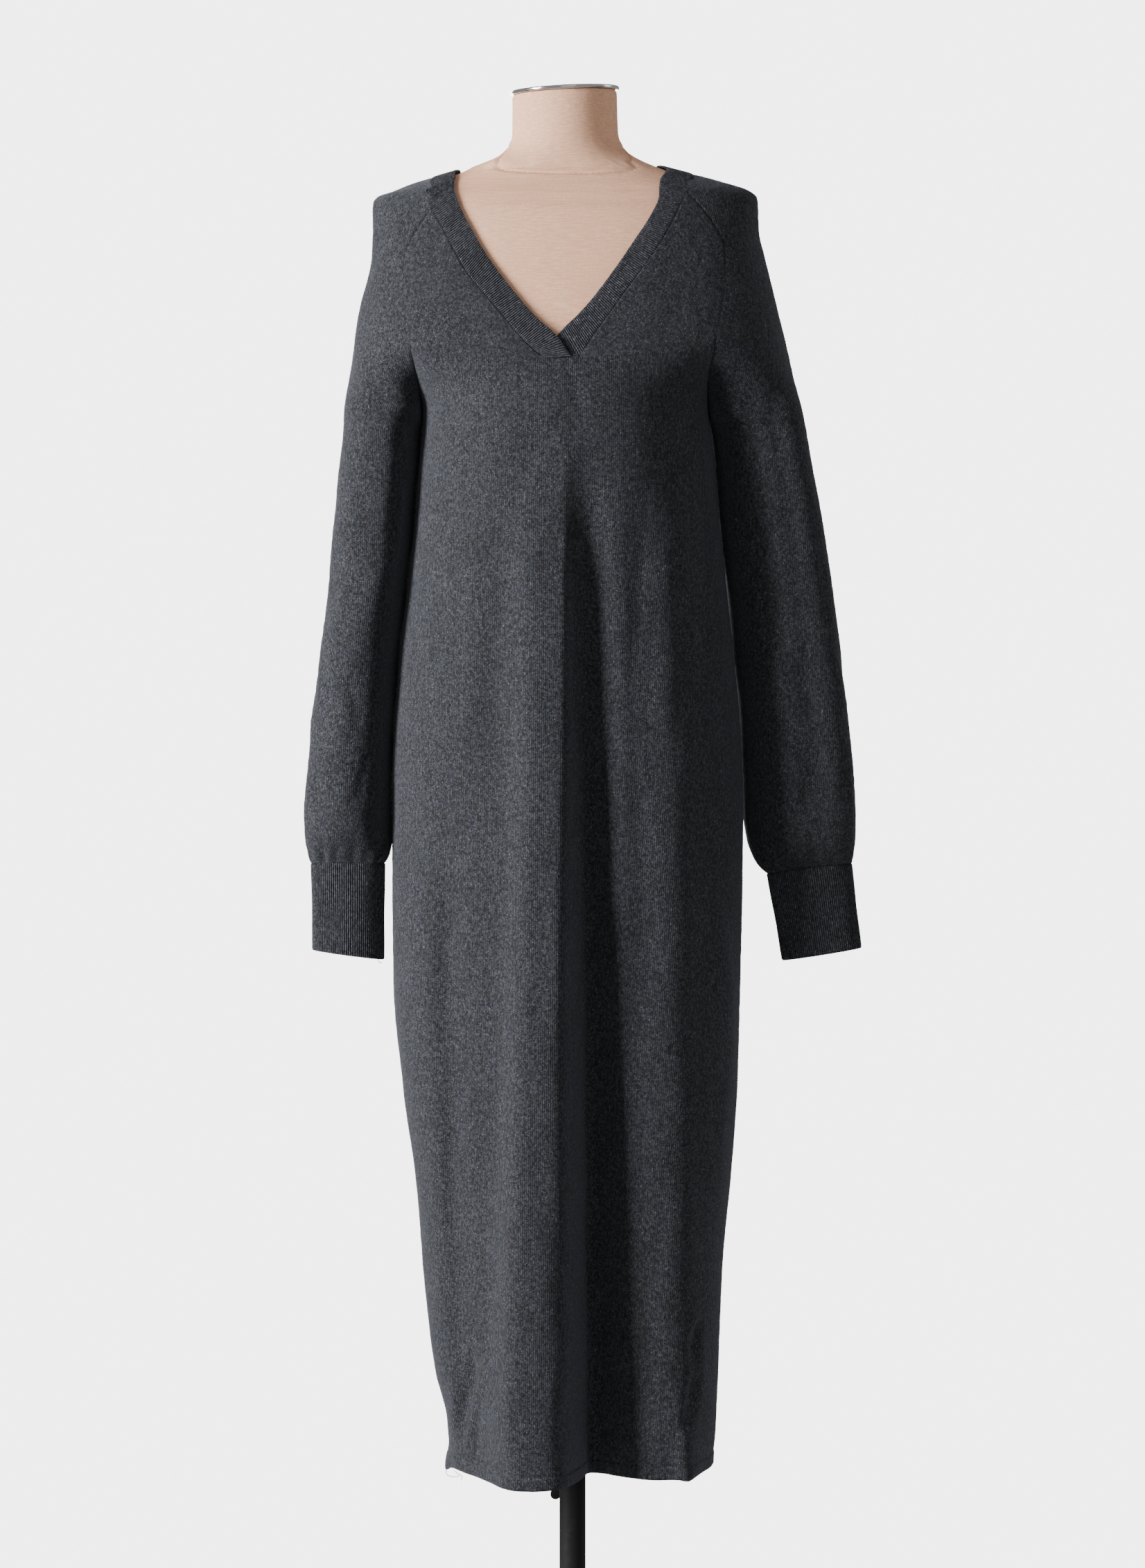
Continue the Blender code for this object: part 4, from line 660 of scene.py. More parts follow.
def neck_edge(side_name, side):
    """The panel's edge along the neckband, from the row above the V to the raglan seam."""
    steps = YOKE_STEPS
    first = neck_seam(FRONT_STOPS[side_name][0])
    start = np.array((V_POINT[0], first[1], V_POINT[1]))
    climb = np.linspace(0.0, 1.0, steps + 1)[1:, None]
    stops = between(FRONT_STOPS[side_name], steps)[1:]
    return np.concatenate((start + (first - start) * climb, neck_seam(stops)))


def half_panel(side_name, side, levels):
    """Surface of half a front or back panel, as a function of share across and row.

    The share runs from the seam (0) to the middle or the neckband (1). The rows are the
    levels up to the underarm and then those of the raglan seam. In front the neckband
    takes the place of the middle above the V. At the back it crosses the top row.
    """
    folds = FRONT_FOLDS if side < 0 else BACK_FOLDS
    seam = np.concatenate((levels, seam_heights(side_name, side)[1:]))
    rows = np.arange(len(seam), dtype=float)
    middle_x = np.full(len(seam), V_POINT[0])
    middle_z = seam.copy()
    under = len(levels) - 1
    if side < 0:
        last = under + V_ROW * YOKE_STEPS
        neck = neck_edge(side_name, side)
        middle_x[last + 1:], middle_z[last + 1:] = neck[:, 0], neck[:, 2]
        peak = V_POINT[1]
        ends = None
    else:
        last = len(seam) - 1
        ends = (NECK_ENDS[side_name, 1], BACK_MIDDLE)
        peak = neck_seam(BACK_MIDDLE)[2]
    middle_z[under:last + 1] = UNDERARM + (peak - UNDERARM) * np.linspace(0.0, 1.0,
                                                                        last - under + 1)
    inward = -OUTWARD[side_name]

    def surface(share, row):
        """Points at a share across and a row, both arrays."""
        z_seam = np.interp(row, rows, seam)
        x_seam = seam_x(side_name, side, z_seam) + inward * SEAM_GAP / 2
        far = 1.0 - spread(1.0 - share)
        x = x_seam + (np.interp(row, rows, middle_x) - x_seam) * far
        z = z_seam + (np.interp(row, rows, middle_z) - z_seam) * far
        if ends:
            top = smooth((row - under) / (last - under)) ** 2
            edge = neck_seam(ends[0] + (ends[1] - ends[0]) * far)
            end_x = seam_x(side_name, side, seam[-1]) + inward * SEAM_GAP / 2
            x = x + top * (edge[..., 0] - end_x - (V_POINT[0] - end_x) * far)
            z = z + top * (edge[..., 2] - seam[-1] - (peak - seam[-1]) * far)
        neck = far ** 2 * smooth((row - under) / (V_ROW * YOKE_STEPS))
        y = panel_y(PANELS[side], folds, x, z, side, neck)
        return np.stack((x, y, z + hem_drop(x, z)), axis=-1)

    return surface, rows, last


def even_grid(surface, rows, dense, cells):
    """Points at even steps along each row, close at both ends, and how far along they are."""
    share, row = np.meshgrid(dense, rows)
    line = surface(share, row)
    step = np.linalg.norm(np.diff(line, axis=1), axis=-1)
    run = np.concatenate((np.zeros((len(rows), 1)), np.cumsum(step, axis=1)), axis=1)
    length = run[:, -1:]
    room = np.minimum(1.0, length / (2.6 * EDGE_MARKS[-1]))
    marks = EDGE_MARKS * room
    plain = np.linspace(0.0, 1.0, cells - 2 * (len(EDGE_MARKS) - 1) + 1)[1:-1]
    inside = marks[:, -1:] + (length - 2 * marks[:, -1:]) * plain
    spots = np.concatenate((marks, inside, length - marks[:, ::-1]), axis=1)
    shares = np.array([np.interp(s, r, dense) for s, r in zip(spots, run)])
    points = surface(shares, np.broadcast_to(row[:, :1], shares.shape))
    return {"points": points, "along": spots, "length": length, "share": shares}


def from_top(points):
    """Distance of each point of a grid from the last row, along its column."""
    step = np.linalg.norm(np.diff(points, axis=0), axis=-1)[::-1]
    run = np.concatenate((np.zeros((1, points.shape[1])), np.cumsum(step, axis=0)))
    return run[::-1]


def sleeve_rows(side_name):
    """Heights and seam ends of a sleeve's rows, and where its top row meets the band."""
    sleeve, out = SLEEVES[side_name], OUTWARD[side_name]
    low = low_levels(SLEEVE_LOW, UNDERARM, SLEEVE_STEP, WRIST_MARKS)
    peak = SHOULDER_PLACES[side_name]
    count = (len(CROWN_LEVELS) + 1) * YOKE_STEPS
    share = np.linspace(0.0, 1.0, count + 1)[1:] * CROWN_SPAN
    inner = follow(sleeve, "z", "inner", low)
    peak_z = float(neck_seam(peak)[2])
    crown = between(np.array((SHOULDER_LEVELS[-1],) + CROWN_LEVELS + (peak_z / MM,)) * MM,
                    YOKE_STEPS)[1:]
    shoulder = between(np.array(SHOULDER_LEVELS) * MM, YOKE_STEPS)[1:]
    found = {"peak": np.concatenate((low, shoulder, crown)), "crown": len(low) + len(shoulder)}
    for side in (-1, 1):
        end = NECK_ENDS[side_name, side]
        edge = neck_seam(end + (peak - end) * share)
        raglan = seam_heights(side_name, side)[1:]
        seam = seam_x(side_name, side, raglan) + out * SEAM_GAP / 2
        found["z", side] = np.concatenate((low, raglan, edge[:, 2]))
        found["x", side] = np.concatenate((inner, seam, edge[:, 0]))
        found["y", side] = np.concatenate((inner * 0.0, yoke_y(seam, raglan, side), edge[:, 1]))
        found["place", side] = end + (peak - end) * CROWN_SPAN
    return found


def sleeve_surface(side_name):
    """Surface of a sleeve as a function of place round it and row.

    The place runs from -1 (front seam) over 0 (outer edge) to 1 (back seam). Below the
    underarm both ends are the one seam on the inner side.
    """
    sleeve, folds, out = SLEEVES[side_name], SLEEVE_FOLDS[side_name], OUTWARD[side_name]
    found = sleeve_rows(side_name)
    low = found["peak"][0]
    rows = np.arange(len(found["peak"]), dtype=float)
    last = rows[-1]
    cuff = CUFF_ENDS[side_name]
    slope = (cuff["top"][0] - cuff["top"][1]) / (cuff["outer"][1] - cuff["inner"][1])

    def pick(name, place, row):
        return np.where(place < 0, np.interp(row, rows, found[name, -1]),
                        np.interp(row, rows, found[name, 1]))

    def turn_of(x, y, z):
        """Angle round the yoke's oval from its outer edge, positive to the back."""
        left, right, front, back, _ = columns(YOKE, z)
        depth = np.where(y < 0, front, back)
        across = out * (x - (left + right) / 2) / ((right - left) / 2)
        return np.arctan2(y / depth, across)

    def surface(place, row):
        """Points at a place round the sleeve and a row, both arrays."""
        share = np.abs(place)
        below = np.minimum(row, last - YOKE_STEPS)
        top = np.clip((row - (last - YOKE_STEPS)) / YOKE_STEPS, 0.0, 1.0)
        z_end = pick("z", place, below)
        z_out = np.interp(below, rows, found["peak"])
        z = z_out + (z_end - z_out) * np.sin(share * np.pi / 2) ** 2
        x_end, y_end = pick("x", place, below), pick("y", place, below)
        turn = turn_of(x_end, y_end, z_end) * share
        middle = (found["place", -1] + found["place", 1]) / 2
        reach = (found["place", 1] - found["place", -1]) / 2
        edge = np.moveaxis(neck_seam(middle + reach * place), -1, 0)
        z = z + (edge[2] - z) * top
        turn = turn + (turn_of(*edge) - turn) * top
        left, right, front, back, _ = columns(YOKE, z)
        aim_x = (left + right) / 2 + out * np.cos(turn) * (right - left) / 2
        whole = on_yoke(aim_x, np.sin(turn) * np.where(turn < 0, front, back), z)
        mix = joined(z)
        outer, front, back = columns(sleeve, z, "outer front back")
        x_out = np.where(z > UNDERARM, left if out < 0 else right, outer)
        half = np.where(place < 0, front, back)
        tube_x = x_out + (x_end - x_out) * (1.0 - np.cos(np.pi * share)) / 2
        limp = smooth((UNDERARM + 90 * MM - z) / (90 * MM)) * (place < 0)
        half = half * (1.0 - 0.2 * limp)
        tube_y = np.sign(place) * half * np.sin(np.pi * share) ** (1.0 - 0.6 * limp)
        back = smooth((UNDERARM - z) / (15 * MM)) * smooth((z - low) / (35 * MM))
        inside = (1.0 - np.cos(np.pi * share)) / 2
        tube_y = tube_y + SLEEVE_LEAN * back * inside ** np.where(place < 0, 5.0, 1.0)
        tube_y = tube_y - SLEEVE_TURN[side_name] * back * limp * inside * (1.0 - inside ** 6)
        x = (1 - mix) * tube_x + mix * whole[..., 0]
        y = (1 - mix) * tube_y + mix * whole[..., 1]
        push = sleeve_relief(side_name, folds, place, z, low)
        centre = (x_out + x_end) / 2
        length = np.maximum(np.hypot(x - centre, y), 1e-6)
        x, y = x + (x - centre) / length * push, y + y / length * push
        near = 1.0 - smooth((z - low) / (40 * MM))
        tilt = slope * (x - cuff["outer"][1]) * out
        return np.stack((x, y, z + (tilt + SEAM_GAP) * near), axis=-1)

    return surface, rows, found["crown"]


def sleeve_relief(side_name, folds, place, z, low):
    """How far folds and gathers push a sleeve out at a place round it and a height."""
    push = np.zeros_like(z)
    for row in range(len(folds["low"])):
        near = bump(place - folds["place"][row], folds["span"][row])
        height = smooth((folds["high"][row] - z) / (90 * MM))
        height = height * smooth((z - folds["low"][row]) / (70 * MM))
        push = push + folds["depth"][row] * near * height
    puckers = PUCKERS[side_name]
    start = smooth((z - low) / (7 * MM) + 0.15)
    for row in range(len(puckers["place"])):
        near = bump(place - puckers["place"][row], puckers["span"][row])
        height = 1.0 - smooth((z - low) / puckers["reach"][row])
        push = push + puckers["depth"][row] * near * height * start
    return push + 0.6 * MM * start * (1.0 - smooth((z - low) / (30 * MM)))


def cuff_surface(side_name):
    """Surface of a cuff as a function of place round it, from -1 to 1, and row."""
    cuff = CUFF_ENDS[side_name]

    def led(ends, share):
        """A value led from one end to the other."""
        return ends[0] + (ends[1] - ends[0]) * share

    def surface(place, row):
        """Points at a place round the cuff and a row, 0 at the bottom and 1 at the top."""
        across = (1.0 - np.cos(np.pi * np.abs(place))) / 2
        x = led((led(cuff["outer"], row), led(cuff["inner"], row)), across)
        y = cuff["depth"] * (1.0 + 0.03 * np.cos(np.pi * row)) * np.sin(np.pi * place)
        z = led((led(cuff["low"], across), led(cuff["top"], across)), row)
        return np.stack((x, y, z), axis=-1)

    return surface


# ---------------------------------------------------------------- cloth meshes

def unit(vectors):
    """The same directions at length one."""
    return vectors / np.maximum(np.linalg.norm(vectors, axis=-1, keepdims=True), 1e-12)


def level(normals):
    """The same directions without their rise, so that a rim lies flat."""
    return unit(normals * np.array((1.0, 1.0, 0.0)))


def vertex_normals(points, quads):
    """Outward direction at each point of a net of four-sided faces."""
    a, b, c, d = (points[quads[:, k]] for k in range(4))
    facing = np.cross(c - a, d - b)
    total = np.zeros_like(points)
    for k in range(4):
        np.add.at(total, quads[:, k], facing)
    return unit(total)


def grid_quads(count_rows, count_columns, closed=False):
    """Faces of a grid of points, facing outwards where its columns run round the body."""
    index = np.arange(count_rows * count_columns).reshape(count_rows, count_columns)
    after = np.roll(index, -1, axis=1)
    stop = count_columns if closed else count_columns - 1
    low, low_after = index[:-1, :stop], after[:-1, :stop]
    high, high_after = index[1:, :stop], after[1:, :stop]
    return np.stack((low, low_after, high_after, high), axis=-1).reshape(-1, 4)


def weld(patches):
    """One net from patches whose shared edges have the same points."""
    points, faces, count = [], [], 0
    extra = {name: [] for name in patches[0] if name != "points"}
    for patch in patches:
        shape = patch["points"].shape[:2]
        faces.append(grid_quads(*shape) + count)
        points.append(patch["points"].reshape(-1, 3))
        for name in extra:
            wide = patch[name]
            extra[name].append(wide.reshape((shape[0] * shape[1],) + wide.shape[2:]))
        count += shape[0] * shape[1]
    points, faces = np.concatenate(points), np.concatenate(faces)
    _, first, place = np.unique(np.round(points, 6), axis=0, return_index=True,
                                return_inverse=True)
    place = place.reshape(-1)
    quads = place[faces]
    whole = [len(set(face)) == 4 for face in quads.tolist()]
    net = {name: np.concatenate(parts)[first] for name, parts in extra.items()}
    net["points"], net["quads"] = points[first], quads[whole]
    net["corner_uv"] = np.concatenate(extra["uv"])[faces[whole]]
    return net


def rim_of(quads):
    """Edges of a net that only one face uses, turned to face outwards."""
    sides = {(face[k], face[(k + 1) % 4]) for face in quads.tolist() for k in range(4)}
    return [(b, a) for a, b in sides if (b, a) not in sides]


def new_object(name, verts, faces, uv=None):
    """Object of a smooth mesh, with a UV map in metres of cloth where one is given."""
    mesh = bpy.data.meshes.new(name)
    mesh.from_pydata(verts, [], faces)
    if uv is not None:
        layer = mesh.uv_layers.new(name="cloth")
        layer.data.foreach_set("uv", uv.reshape(-1).astype(np.float32))
    mesh.shade_smooth()
    made = bpy.data.objects.new(name, mesh)
    bpy.context.scene.collection.objects.link(made)
    return made


def cloth_object(name, outer, inner, quads, corner_uv):
    """Object of a closed cloth wall: its outer side, its inner side and its rim."""
    count = len(outer)
    rim = sorted(rim_of(quads))
    rims = np.array([(b, a, a + count, b + count) for b, a in rim]).reshape(-1, 4)[:, ::-1]
    back = quads[:, (0, 3, 2, 1)] + count
    by_vertex = np.zeros((count, 2))
    by_vertex[quads.reshape(-1)] = corner_uv.reshape(-1, 2)
    uv = np.concatenate((corner_uv.reshape(-1, 2), corner_uv[:, (0, 3, 2, 1)].reshape(-1, 2),
                         by_vertex[rims.reshape(-1) % count]))
    return new_object(name, np.concatenate((outer, inner)).tolist(),
                      np.concatenate((quads, back, rims)).tolist(), uv)


def finish_piece(made, body, slot, look, *nodes):
    """Give a piece its material and the body that carries it, and hide the nodes it stands for."""
    made.data.materials.clear()
    made.data.materials.append(look)
    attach(made, body)
    if nodes:
        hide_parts(*nodes)
    return made


def sewn_edge(edge, along, seed):
    """Relief beside a seam: a soft swell with small uneven puckers."""
    swell = 0.14 * MM * bump(edge - 3.6 * MM, 2.4 * MM)
    pull = ripple(seed, along, along * 0.0, 13 * MM) * np.exp(-edge / (7 * MM))
    return swell + 0.26 * MM * pull * smooth(edge / (2.5 * MM))


def edge_roll(edge, depth=ROLL, width=1.15 * MM):
    """How far the outer side turns in at a sewn or finished edge."""
    return -depth * bump(edge, width)


def seam_roll(edge, z):
    """Roll of a side or raglan seam: flat at the underarm and shallow up to the shoulder."""
    near = smooth(np.abs(z - UNDERARM + 18 * MM) / (45 * MM))
    high = 0.3 + 0.7 * smooth((z - 1474 * MM) / (26 * MM))
    return edge_roll(edge, np.where(z > UNDERARM, high, 1.0) * near * ROLL)


def sewn_roll(net):
    """Roll of a piece's seams and neck edge, which fades where the two meet."""
    corner = smooth(np.hypot(net["seam"], net["neck"]) / (6 * MM))
    seam = seam_roll(net["seam"], net["points"][:, 2])
    return np.minimum(seam, edge_roll(net["neck"])) * corner


def lean_to(normals, aim, edge, reach=SEWN_REACH):
    """Directions turned to an aim within a reach of an edge."""
    pull = smooth(1.0 - edge / reach)[:, None]
    return unit(normals * (1.0 - pull) + aim * pull)


def settings():
    """The dress's settings, as the sidebar shows them."""
    return bpy.context.scene.sweater_dress


def panel_net(side):
    """Net of the front or back, with its relief from creases, seams and hem."""
    front = side < 0
    levels = low_levels(HEM, UNDERARM, PANEL_STEP if front else BACK_STEP, HEM_MARKS)
    patches = []
    for side_name in (("left", "right") if front else ("right", "left")):
        surface, rows, last = half_panel(side_name, side, levels)
        grid = even_grid(surface, rows, np.linspace(0.0, 1.0, FINE) ** 2,
                         FRONT_CELLS if front else BACK_CELLS)
        points, along, length = grid["points"], grid["along"], grid["length"]
        shape = along.shape
        row = np.broadcast_to(rows[:, None], shape)
        neck = np.where(row > last, length - along, 1.0) if front else from_top(points)
        patches.append({
            "points": points,
            "uv": np.stack(((length - along) * OUTWARD[side_name], points[..., 2]), axis=-1),
            "seam": along.copy(),
            "neck": np.broadcast_to(neck, shape).copy(),
            "hem": points[..., 2] - hem_drop(points[..., 0], points[..., 2]) - HEM,
            "aim": rim_normal(points, side, OUTWARD[side_name]),
        })
        if (side_name == "right") == front:
            patches[-1] = {name: wide[:, ::-1] for name, wide in patches[-1].items()}
    net = weld(patches)
    net["crease"] = panel_relief(net, side)
    return net


def panel_relief(net, side):
    """Creases, unevenness and the hem's own relief of a front or back panel."""
    x, z = net["points"][:, 0], net["points"][:, 2]
    edge = np.minimum(net["seam"], net["neck"])
    calm = smooth(edge / CALM_REACH)
    creases = FRONT_CREASES if side < 0 else BACK_CREASES
    relief = crease_depth(creases, x, z) * calm * settings().creases
    relief += 0.45 * MM * ripple(31 + side, x, z * 0.5, 60 * MM) * calm
    relief += 0.16 * MM * ripple(53 + side, x, z, 17 * MM) * calm
    relief += sewn_edge(net["seam"], z, 7) + sewn_edge(net["neck"], x + z, 8)
    hem = net["hem"]
    turned_up = 0.75 * MM * (1.0 - smooth((hem - HEM_TOP) / (1.2 * MM)))
    line = bump(hem - 12.2 * MM, 0.9 * MM)
    pulls = 0.5 + 0.5 * np.sin(2 * np.pi * x / HEM_STITCH + 2 * ripple(3, x, z, 30 * MM))
    relief += turned_up - line * (0.25 + 0.45 * pulls) * MM
    low = 1.0 - smooth((hem - 2 * MM) / (26 * MM))
    return relief + low * 0.55 * MM * ripple(77, x, z * 0.4, 21 * MM)


def corner_flick(points):
    """The hem's corners: the left seam's end turns out, the right fold ends in a point."""
    x, y, z = np.moveaxis(points, -1, 0)
    near = bump(x + 116 * MM, 9 * MM) * smooth((374 * MM - z) / (15 * MM)) * bump(y, 22 * MM)
    points = points + near[:, None] * np.array((-4.0, -2.5, -8.0)) * MM
    near = bump(x - 108 * MM, 5.5 * MM) * smooth((372 * MM - z) / (18 * MM)) * (y < 0.0)
    return points + near[:, None] * np.array((0.0, -1.5, -2.0)) * MM


def panel_shell(name, side):
    """Closed cloth wall of the front or the back."""
    net = panel_net(side)
    points, hem = net["points"], net["hem"]
    normals = lean_to(vertex_normals(points, net["quads"]), net["aim"], net["seam"])
    normals = lean_to(normals, yoke_normal(points[:, 0], points[:, 2], side), net["neck"])
    normals = lean_to(normals, level(normals), hem, 5 * MM)
    roll = sewn_roll(net) + edge_roll(hem, 0.8 * MM, 0.9 * MM)
    outer = points + normals * (net["crease"] + roll)[:, None]
    thick = WALL + 0.9 * MM * (1.0 - smooth((hem - HEM_TOP) / (1.2 * MM)))
    thick -= 0.5 * MM * bump(hem, 0.9 * MM)
    inner = points + normals * (net["crease"] - thick)[:, None]
    return cloth_object(name, corner_flick(outer), corner_flick(inner), net["quads"],
                        net["corner_uv"])


def sleeve_shell(name, side_name):
    """Closed cloth wall of a sleeve."""
    surface, rows, crown = sleeve_surface(side_name)
    out = OUTWARD[side_name]
    grid = even_grid(surface, rows, np.linspace(-1.0, 1.0, 1200), SLEEVE_CELLS)
    points, along, length = grid["points"], grid["along"], grid["length"]
    row = np.broadcast_to(rows[:, None], along.shape)
    seam = np.minimum(along, length - along)
    side = np.where(grid["share"] < 0, -1.0, 1.0)[..., None]
    sideways = np.where(side < 0, rim_normal(points, -1, -out), rim_normal(points, 1, -out))
    patch = {
        "points": points,
        "uv": np.stack((along - length / 2, points[..., 2]), axis=-1),
        "place": grid["share"],
        "seam": seam,
        "neck": np.where(row >= crown - 1, np.minimum(from_top(points), seam), 1.0),
        "low": np.cumsum(np.concatenate((np.zeros((1, along.shape[1])), np.linalg.norm(
            np.diff(points, axis=0), axis=-1))), axis=0),
        "aim": sideways,
        "over": yoke_normals(points),
    }
    if out < 0:
        patch = {key: wide[:, ::-1] for key, wide in patch.items()}
    net = weld([patch])
    normals = vertex_normals(net["points"], net["quads"])
    normals = lean_to(lean_to(normals, net["aim"], net["seam"]), net["over"], net["neck"])
    normals = lean_to(normals, level(normals), net["low"], 4 * MM)
    z, round_it = net["points"][:, 2], net["place"] * 150 * MM
    calm = smooth(np.minimum(net["seam"], net["neck"]) / CALM_REACH)
    relief = crease_depth(SLEEVE_CREASES[side_name], round_it, z) * calm * settings().creases
    seed = 90 if out < 0 else 120
    relief += 0.5 * MM * ripple(seed, round_it, z * 0.6, 55 * MM) * calm
    relief += 0.2 * MM * ripple(seed + 1, round_it, z, 16 * MM) * calm
    relief += sewn_edge(net["seam"], z, 7) + sewn_edge(net["neck"], round_it + z, 8)
    roll = sewn_roll(net) + edge_roll(net["low"], 0.35 * MM)
    outer = net["points"] + normals * (relief + roll)[:, None]
    inner = net["points"] + normals * (relief - WALL)[:, None]
    return cloth_object(name, outer, inner, net["quads"], net["corner_uv"])


def ribbed_shell(name, base, across, closed, lift):
    """Closed ribbed wall over a grid whose columns are eighths of a rib."""
    quads = grid_quads(*base.shape[:2], closed)
    normals = vertex_normals(base.reshape(-1, 3), quads).reshape(base.shape)
    column = np.arange(base.shape[1])
    crest = (0.5 + 0.5 * np.cos(2 * np.pi * column / RIB_CELLS)) ** 0.75
    reach = np.linalg.norm(base[-1] - base[0], axis=-1).mean()
    edge = np.minimum(across, 1.0 - across)[:, None] * reach
    fade = 0.35 + 0.65 * smooth(edge / (1.6 * MM))
    relief = RIB_HEIGHT * (crest[None, :] - 0.5) * fade + lift
    outer = base + normals * (relief + edge_roll(edge, 0.5 * MM, 0.8 * MM))[..., None]
    inner = base + normals * (lift - RIB_WALL + 0.35 * MM * bump(edge, 0.8 * MM))[..., None]
    uv = np.stack(np.broadcast_arrays(column[None, :] / RIB_CELLS * RIB_PITCH,
                                      across[:, None] * reach), axis=-1).reshape(-1, 2)
    return cloth_object(name, outer.reshape(-1, 3), inner.reshape(-1, 3), quads, uv[quads])


def rib_columns(lines):
    """Shares along a pair of lines, given finely, at eighths of a rib of even width."""
    step = np.mean([np.linalg.norm(np.diff(line, axis=0), axis=-1) for line in lines], axis=0)
    run = np.concatenate(([0.0], np.cumsum(step)))
    cells = int(round(run[-1] / RIB_PITCH)) * RIB_CELLS
    return np.interp(np.linspace(0.0, run[-1], cells + 1), run, np.linspace(0.0, 1.0, len(run)))


def edge_rows(reach, step):
    """Shares across a band: close at both edges and even between them."""
    marks = np.array((0.0, 0.45, 1.0, 1.8)) * MM / reach
    plain = np.linspace(marks[-1], 1.0 - marks[-1], max(2, int(round(reach / step))))
    return np.concatenate((marks[:-1], plain, 1.0 - marks[:-1][::-1]))


def cuff_shell(name, side_name):
    """Ribbed cuff: even ribs from the gathered sleeve to the free edge."""
    surface = cuff_surface(side_name)
    out = OUTWARD[side_name]
    places = np.linspace(-1.0, 1.0, 1500) * out
    lines = [surface(places, np.full_like(places, row)) for row in (0.0, 1.0)]
    place = (-1.0 + 2.0 * rib_columns(lines)[:-1]) * out
    across = edge_rows(CUFF_REACH, CUFF_STEP)
    place_grid, row_grid = np.meshgrid(place, across)
    base = surface(place_grid, row_grid)
    seed = 200 if out < 0 else 230
    angle = place_grid * np.pi
    soft = ripple(seed, np.cos(angle), np.sin(angle) + row_grid * 2.0, 1.6)
    lift = 0.55 * MM * soft * np.sin(np.pi * np.clip(row_grid * 0.92 + 0.04, 0, 1))
    lift -= 0.5 * MM * bump(row_grid - 0.45, 0.22)
    return ribbed_shell(name, base, across, True, lift)


def neckband_base():
    """Grid of the neckband before its ribs, and how far its upper end is lifted."""
    places = np.linspace(0.0, BAND_END, 2400)
    lines = [neck_seam(places, -SEAM_GAP / 2), neck_point("inner", places)]
    stops = rib_columns(lines) * BAND_END
    across = edge_rows(BAND_REACH, BAND_STEP)
    under = 2.4 * MM * (bump(stops - 18.4, 0.8) + bump(stops - 7.8, 0.7))
    outer, inner = neck_seam(stops, under[:, None] - SEAM_GAP / 2), neck_point("inner", stops)
    base = outer[None] + (inner - outer)[None] * across[:, None, None]
    lift = BAND_LAP * smooth((stops - LAP_ROWS[0]) / (LAP_ROWS[1] - LAP_ROWS[0]))
    lift = lift - TUCK * (1.0 - smooth((stops - 0.5) / 0.9))
    soft = 0.22 * MM * ripple(301, stops, across[:, None] * 2.0, 3.1)
    return base, across, lift + soft


# ---------------------------------------------------------------- threads

def tube(points, radius, sides, verts, faces, tip=0.4):
    """Add a closed tube along a short line of points to lists of verts and faces."""
    aim = unit(np.gradient(points, axis=0))
    right = unit(np.cross(aim, np.array((0.31, 0.52, 0.79))))
    up = np.cross(right, aim)
    start, last = len(verts), len(points) - 1
    for k in range(last + 1):
        wide = radius * (tip if k in (0, last) else 1.0)
        for turn in np.arange(sides) * 2 * np.pi / sides:
            offset = right[k] * math.cos(turn) + up[k] * math.sin(turn)
            verts.append(tuple(points[k] + offset * wide))
    for k in range(last):
        for s in range(sides):
            a, b = start + k * sides + s, start + k * sides + (s + 1) % sides
            faces.append((a, b, b + sides, a + sides))
    faces.append(tuple(start + s for s in reversed(range(sides))))
    faces.append(tuple(start + last * sides + s for s in range(sides)))


def walk(line, normals, pitch):
    """Points at even steps along a line, with their directions along it and outwards."""
    step = np.linalg.norm(np.diff(line, axis=0), axis=-1)
    run = np.concatenate(([0.0], np.cumsum(step)))
    spots = np.arange(pitch / 2, run[-1], pitch)
    points, outward = (np.stack([np.interp(spots, run, given[:, k]) for k in range(3)], axis=-1)
                       for given in (line, normals))
    return points, unit(np.gradient(points, axis=0)), unit(outward)


def linking_stitches(line, normals, sink, pitch, verts, faces):
    """Small slanting stitches that draw two edges together along a line."""
    points, aims, outward = walk(line, normals, pitch)
    side = unit(np.cross(outward, aims))
    for k, (place, aim, out, across) in enumerate(zip(points, aims, outward, side)):
        reach = across * 0.62 * MM * (1.0 + 0.25 * math.sin(k * 2.4)) + aim * pitch * 0.34
        low = place - out * sink
        bow = np.array((low - reach - out * 0.35 * MM, low + out * 0.15 * MM,
                        low + reach - out * 0.35 * MM))
        tube(bow, 0.26 * MM, 4, verts, faces, tip=0.7)


# ---------------------------------------------------------------- the form

def oval_section(rows, z, turns):
    """Points of a table's sections at heights z and angles from the right by the back."""
    left, right, front, back, power = columns(rows, z)
    cos, sin = np.cos(turns), np.sin(turns)
    x = (left + right) / 2 + (right - left) / 2 * np.sign(cos) * np.abs(cos) ** (2 / power)
    depth = np.where(sin < 0, front, back)
    return np.stack((x, depth * np.sign(sin) * np.abs(sin) ** (2 / power), z + x * 0), axis=-1)


def shoulder_section(z, turns):
    """Points of the yoke at heights z, moved in to just under the cloth."""
    here = oval_section(YOKE, z, turns)
    along = oval_section(YOKE, z, turns + 1e-3) - oval_section(YOKE, z, turns - 1e-3)
    up = oval_section(YOKE, z + TINY, turns) - oval_section(YOKE, z - TINY, turns)
    return here - unit(np.cross(along, up)) * FORM_REST


def neck_top(x, y):
    """Height of the tilted plane on which the neck cap lies."""
    return NECK_CENTRE[2] + NECK_TILT[0] * (x - NECK_CENTRE[0]) + NECK_TILT[1] * y


